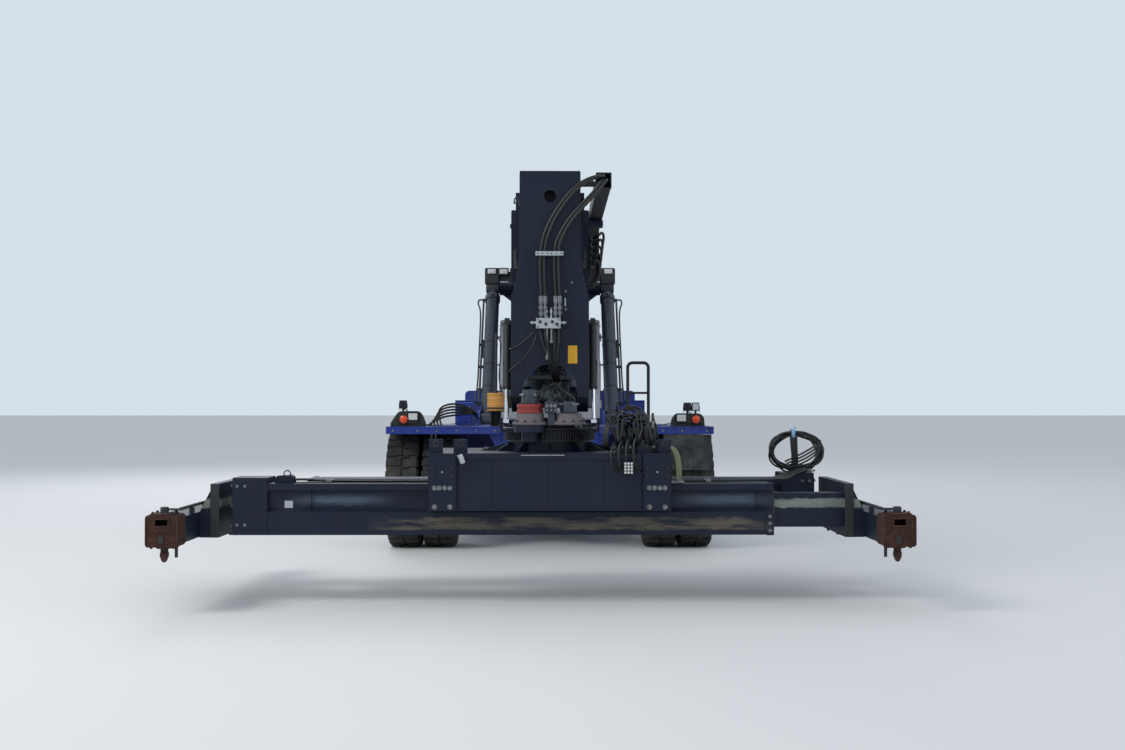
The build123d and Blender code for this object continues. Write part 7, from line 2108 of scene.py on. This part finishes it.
def makeHoseCoil():
    # the solid coil it replaces is an upright ring; loose turns of thin hose hang in it, wider than high
    x, y, low = 2.235, -3.85, 1.0603
    middle = Vector((x, y, low + 0.190))
    loose = random.Random(7)
    routes = []
    for turn in range(11):
        wide = 0.205 + 0.045 * loose.random()
        high = 0.150 + 0.040 * loose.random()
        depth = (turn - 5) * 0.009
        lean = loose.uniform(-0.10, 0.10)
        drift = loose.uniform(-0.02, 0.02)
        route = []
        for index in range(25):
            angle = index * math.pi / 12 + turn * 0.9
            wave = 0.012 * math.sin(3 * angle + turn * 1.7)
            across = (wide + wave) * math.cos(angle) + drift
            route.append(middle + Vector((across, depth + 0.012 * math.sin(2 * angle + turn) +
                                          0.2 * lean * across,
                                          (high + wave) * math.sin(angle) + lean * across)))
        routes.append(route)
    hosePiece("hose_coil_turns", routes, 0.0082, "spreader")
    strands, tie, metal, base = [], newBmesh(), newBmesh(), newBmesh()
    for index in range(5):
        step = (index - 2) * 0.013
        strands.append([(x - 0.03 + step, y - 0.045, low + 0.335), (x - 0.03 + step, y - 0.055, low + 0.26),
                        (x - 0.02 + step * 0.8, y - 0.05, low + 0.14),
                        (x - 0.02 + step, y - 0.045, low + 0.03)])
    for index in range(4):
        loop = loose.uniform(-0.02, 0.02)
        strands.append([(x - 0.10 - loop, y - 0.06, low + 0.04 + 0.02 * index),
                        (x + 0.02, y - 0.075, low + 0.07 + 0.03 * index),
                        (x + 0.16, y - 0.06, low + 0.15 + 0.03 * index),
                        (x + 0.215 + loop, y - 0.03, low + 0.22 + 0.02 * index),
                        (x + 0.19, y, low + 0.30), (x + 0.08, y + 0.01, low + 0.34)])
    hosePiece("hose_coil_strands", strands, 0.0082, "spreader")
    addTurned(tie, [(0.045, 0.0), (0.052, 0.003), (0.052, 0.030), (0.045, 0.033), (0.045, 0.0)],
              middle + Vector((-0.05, -0.01, 0.155)),
              middle + Vector((-0.017, -0.01, 0.155)), 24)
    addRod(tie, middle + Vector((-0.03, -0.03, 0.19)), middle + Vector((-0.01, -0.045, 0.225)), 0.005, 8)
    addBlock(base, (x - 0.075, y - 0.045, low - 0.0003), (x + 0.075, y + 0.045, low + 0.012), 0.004)
    for dx in (-0.05, 0.05):
        addBlock(base, (x + dx - 0.006, y - 0.04, low), (x + dx + 0.006, y + 0.04, low + 0.075), 0.003)
        addHexBolts(metal, [(x + dx * 1.2, y + dy, low + 0.012) for dy in (-0.03, 0.03)], (0, 0, 1), 0.014,
                    0.009)
    leads = []
    for index in range(4):
        start = Vector((x - 0.01 + index * 0.03, y - 0.10, low + 0.03))
        addFitting(metal, start + Vector((0.07, 0.0, -0.002 * index)), (-1, -0.1, -0.2), 0.012, 0.055)
        leads.append([start + Vector((0.02, 0, 0)), start + Vector((-0.06, -0.03, -0.02)),
                      start + Vector((-0.16, -0.20, -0.035)),
                      start + Vector((-0.26, -0.42, -0.045 - 0.006 * index)),
                      start + Vector((-0.36, -0.52, -0.055)),
                      start + Vector((-0.50, -0.55 - 0.020 * index, -0.062)),
                      (1.40, y - 0.65 - 0.022 * index, 1.0235), (0.75, y - 0.65 - 0.022 * index, 1.0235)])
    hosePiece("hose_coil_leads", leads, 0.0095, "spreader")
    finishPiece("hose_coil_tie", tie, paleTie, "spreader")
    finishPiece("hose_coil_stand", base, blackEnamel, "spreader", replaces=("hose_coil",))
    # hoses along the front tube's top on the left, out of the hooded cover, and between the tubes
    along = []
    for index in range(4):
        across = y - 0.66 - 0.024 * index
        along.append([(-2.19, across, 1.035), (-2.10, across, 1.040),
                      (-1.9, across + 0.006 * (index % 2), 1.0235), (-1.4, across - 0.004, 1.0235),
                      (-1.0, across + 0.006, 1.0235), (-0.60, across, 1.0235)])
    for index in range(4):
        across = -4.03 - index * 0.035
        along.append([(1.35, across, 0.905), (0.9, across, 0.90 + 0.01 * index), (0.4, across, 0.92),
                      (-0.1, across, 0.93),
                      (-0.6, across, 0.91), (-1.2, across, 0.90), (-1.7, across, 0.91)])
    hosePiece("spreader_tube_hoses", along, 0.0095, "spreader")
    for place in ((-1.88, y - 0.696), (1.35, y - 0.683)):
        addBlock(metal, (place[0] - 0.025, place[1] - 0.055, 1.0105),
                 (place[0] + 0.025, place[1] + 0.055, 1.038), 0.005, 2)
        addHexBolts(metal, [(place[0], place[1] + dy, 1.038) for dy in (-0.042, 0.042)], (0, 0, 1), 0.012,
                    0.008)
    finishPiece("hose_coil_fittings", metal, boltSteel, "spreader")


makeHoseCoil()
print("hose coil made")


# Camera, lamps and floor

cameraPlace = {"height": 1.68, "front": -16.24, "lens": 43.68, "pitch": 1.217, "yaw": 0.525}


def makeCamera():
    data = bpy.data.cameras.new("camera")
    data.lens = cameraPlace["lens"]
    data.sensor_width = 36.0
    data.clip_end = 200.0
    camera = bpy.data.objects.new("camera", data)
    camera.location = Vector((0, cameraPlace["front"], cameraPlace["height"])) + shift
    camera.rotation_euler = (math.radians(90 + cameraPlace["pitch"]), 0, math.radians(-cameraPlace["yaw"]))
    bpy.context.scene.collection.objects.link(camera)
    bpy.context.scene.camera = camera


def makeFloor():
    bm = newBmesh()
    bmesh.ops.create_grid(bm, x_segments=1, y_segments=1, size=400.0)
    mesh = bpy.data.meshes.new("floor")
    bm.to_mesh(mesh)
    bm.free()
    floor = bpy.data.objects.new("floor", mesh)
    bpy.context.scene.collection.objects.link(floor)
    material, shader = newMaterial("pale_floor")
    shader.inputs["Base Color"].default_value = hexColour("#d9dadb")
    shader.inputs["Roughness"].default_value = 0.85
    mesh.materials.append(material)


def makeLight(name, place, target, size, watts, colour=(1, 1, 1)):
    data = bpy.data.lights.new(name, "AREA")
    data.shape = "RECTANGLE"
    data.size, data.size_y = size
    data.energy = watts
    data.color = colour
    light = bpy.data.objects.new(name, data)
    light.location = Vector(place)
    light.rotation_euler = (Vector(target) - Vector(place)).to_track_quat("-Z", "Y").to_euler()
    bpy.context.scene.collection.objects.link(light)


def makeWorld():
    # one sky lights the scene; the camera, mirrors and glass see a quieter one
    world = bpy.data.worlds.new("studio")
    world.use_nodes = True
    world.node_tree.nodes.clear()
    path = addNode(world, "LightPath").outputs
    lit = addNode(world, "Background", {"Color": (0.86, 0.93, 1.0, 1.0), "Strength": 0.7})
    seen = addNode(world, "Background", {"Color": (0.66, 0.75, 0.82, 1.0), "Strength": 1.0})
    straight = combine(world, "ADD", path["Is Camera Ray"], path["Is Glossy Ray"], clamp=True)
    straight = combine(world, "ADD", straight, path["Is Transmission Ray"], clamp=True)
    mix = addNode(world, "MixShader", {0: straight, 1: lit.outputs[0], 2: seen.outputs[0]})
    addNode(world, "OutputWorld", {"Surface": mix.outputs[0]})
    bpy.context.scene.world = world


makeCamera()
makeFloor()
makeWorld()
makeLight("key", (-11, -12, 12), (0, -2, 1.2), (6, 6), 1250, (1.0, 0.97, 0.92))
makeLight("fill", (12, -11, 7), (0, -2, 1.2), (8, 8), 250, (0.92, 0.96, 1.0))
makeLight("back", (-6, 13, 12), (0, 2, 1.5), (8, 8), 800)
bpy.context.scene.view_settings.view_transform = "Standard"
print("camera, floor and lamps made")
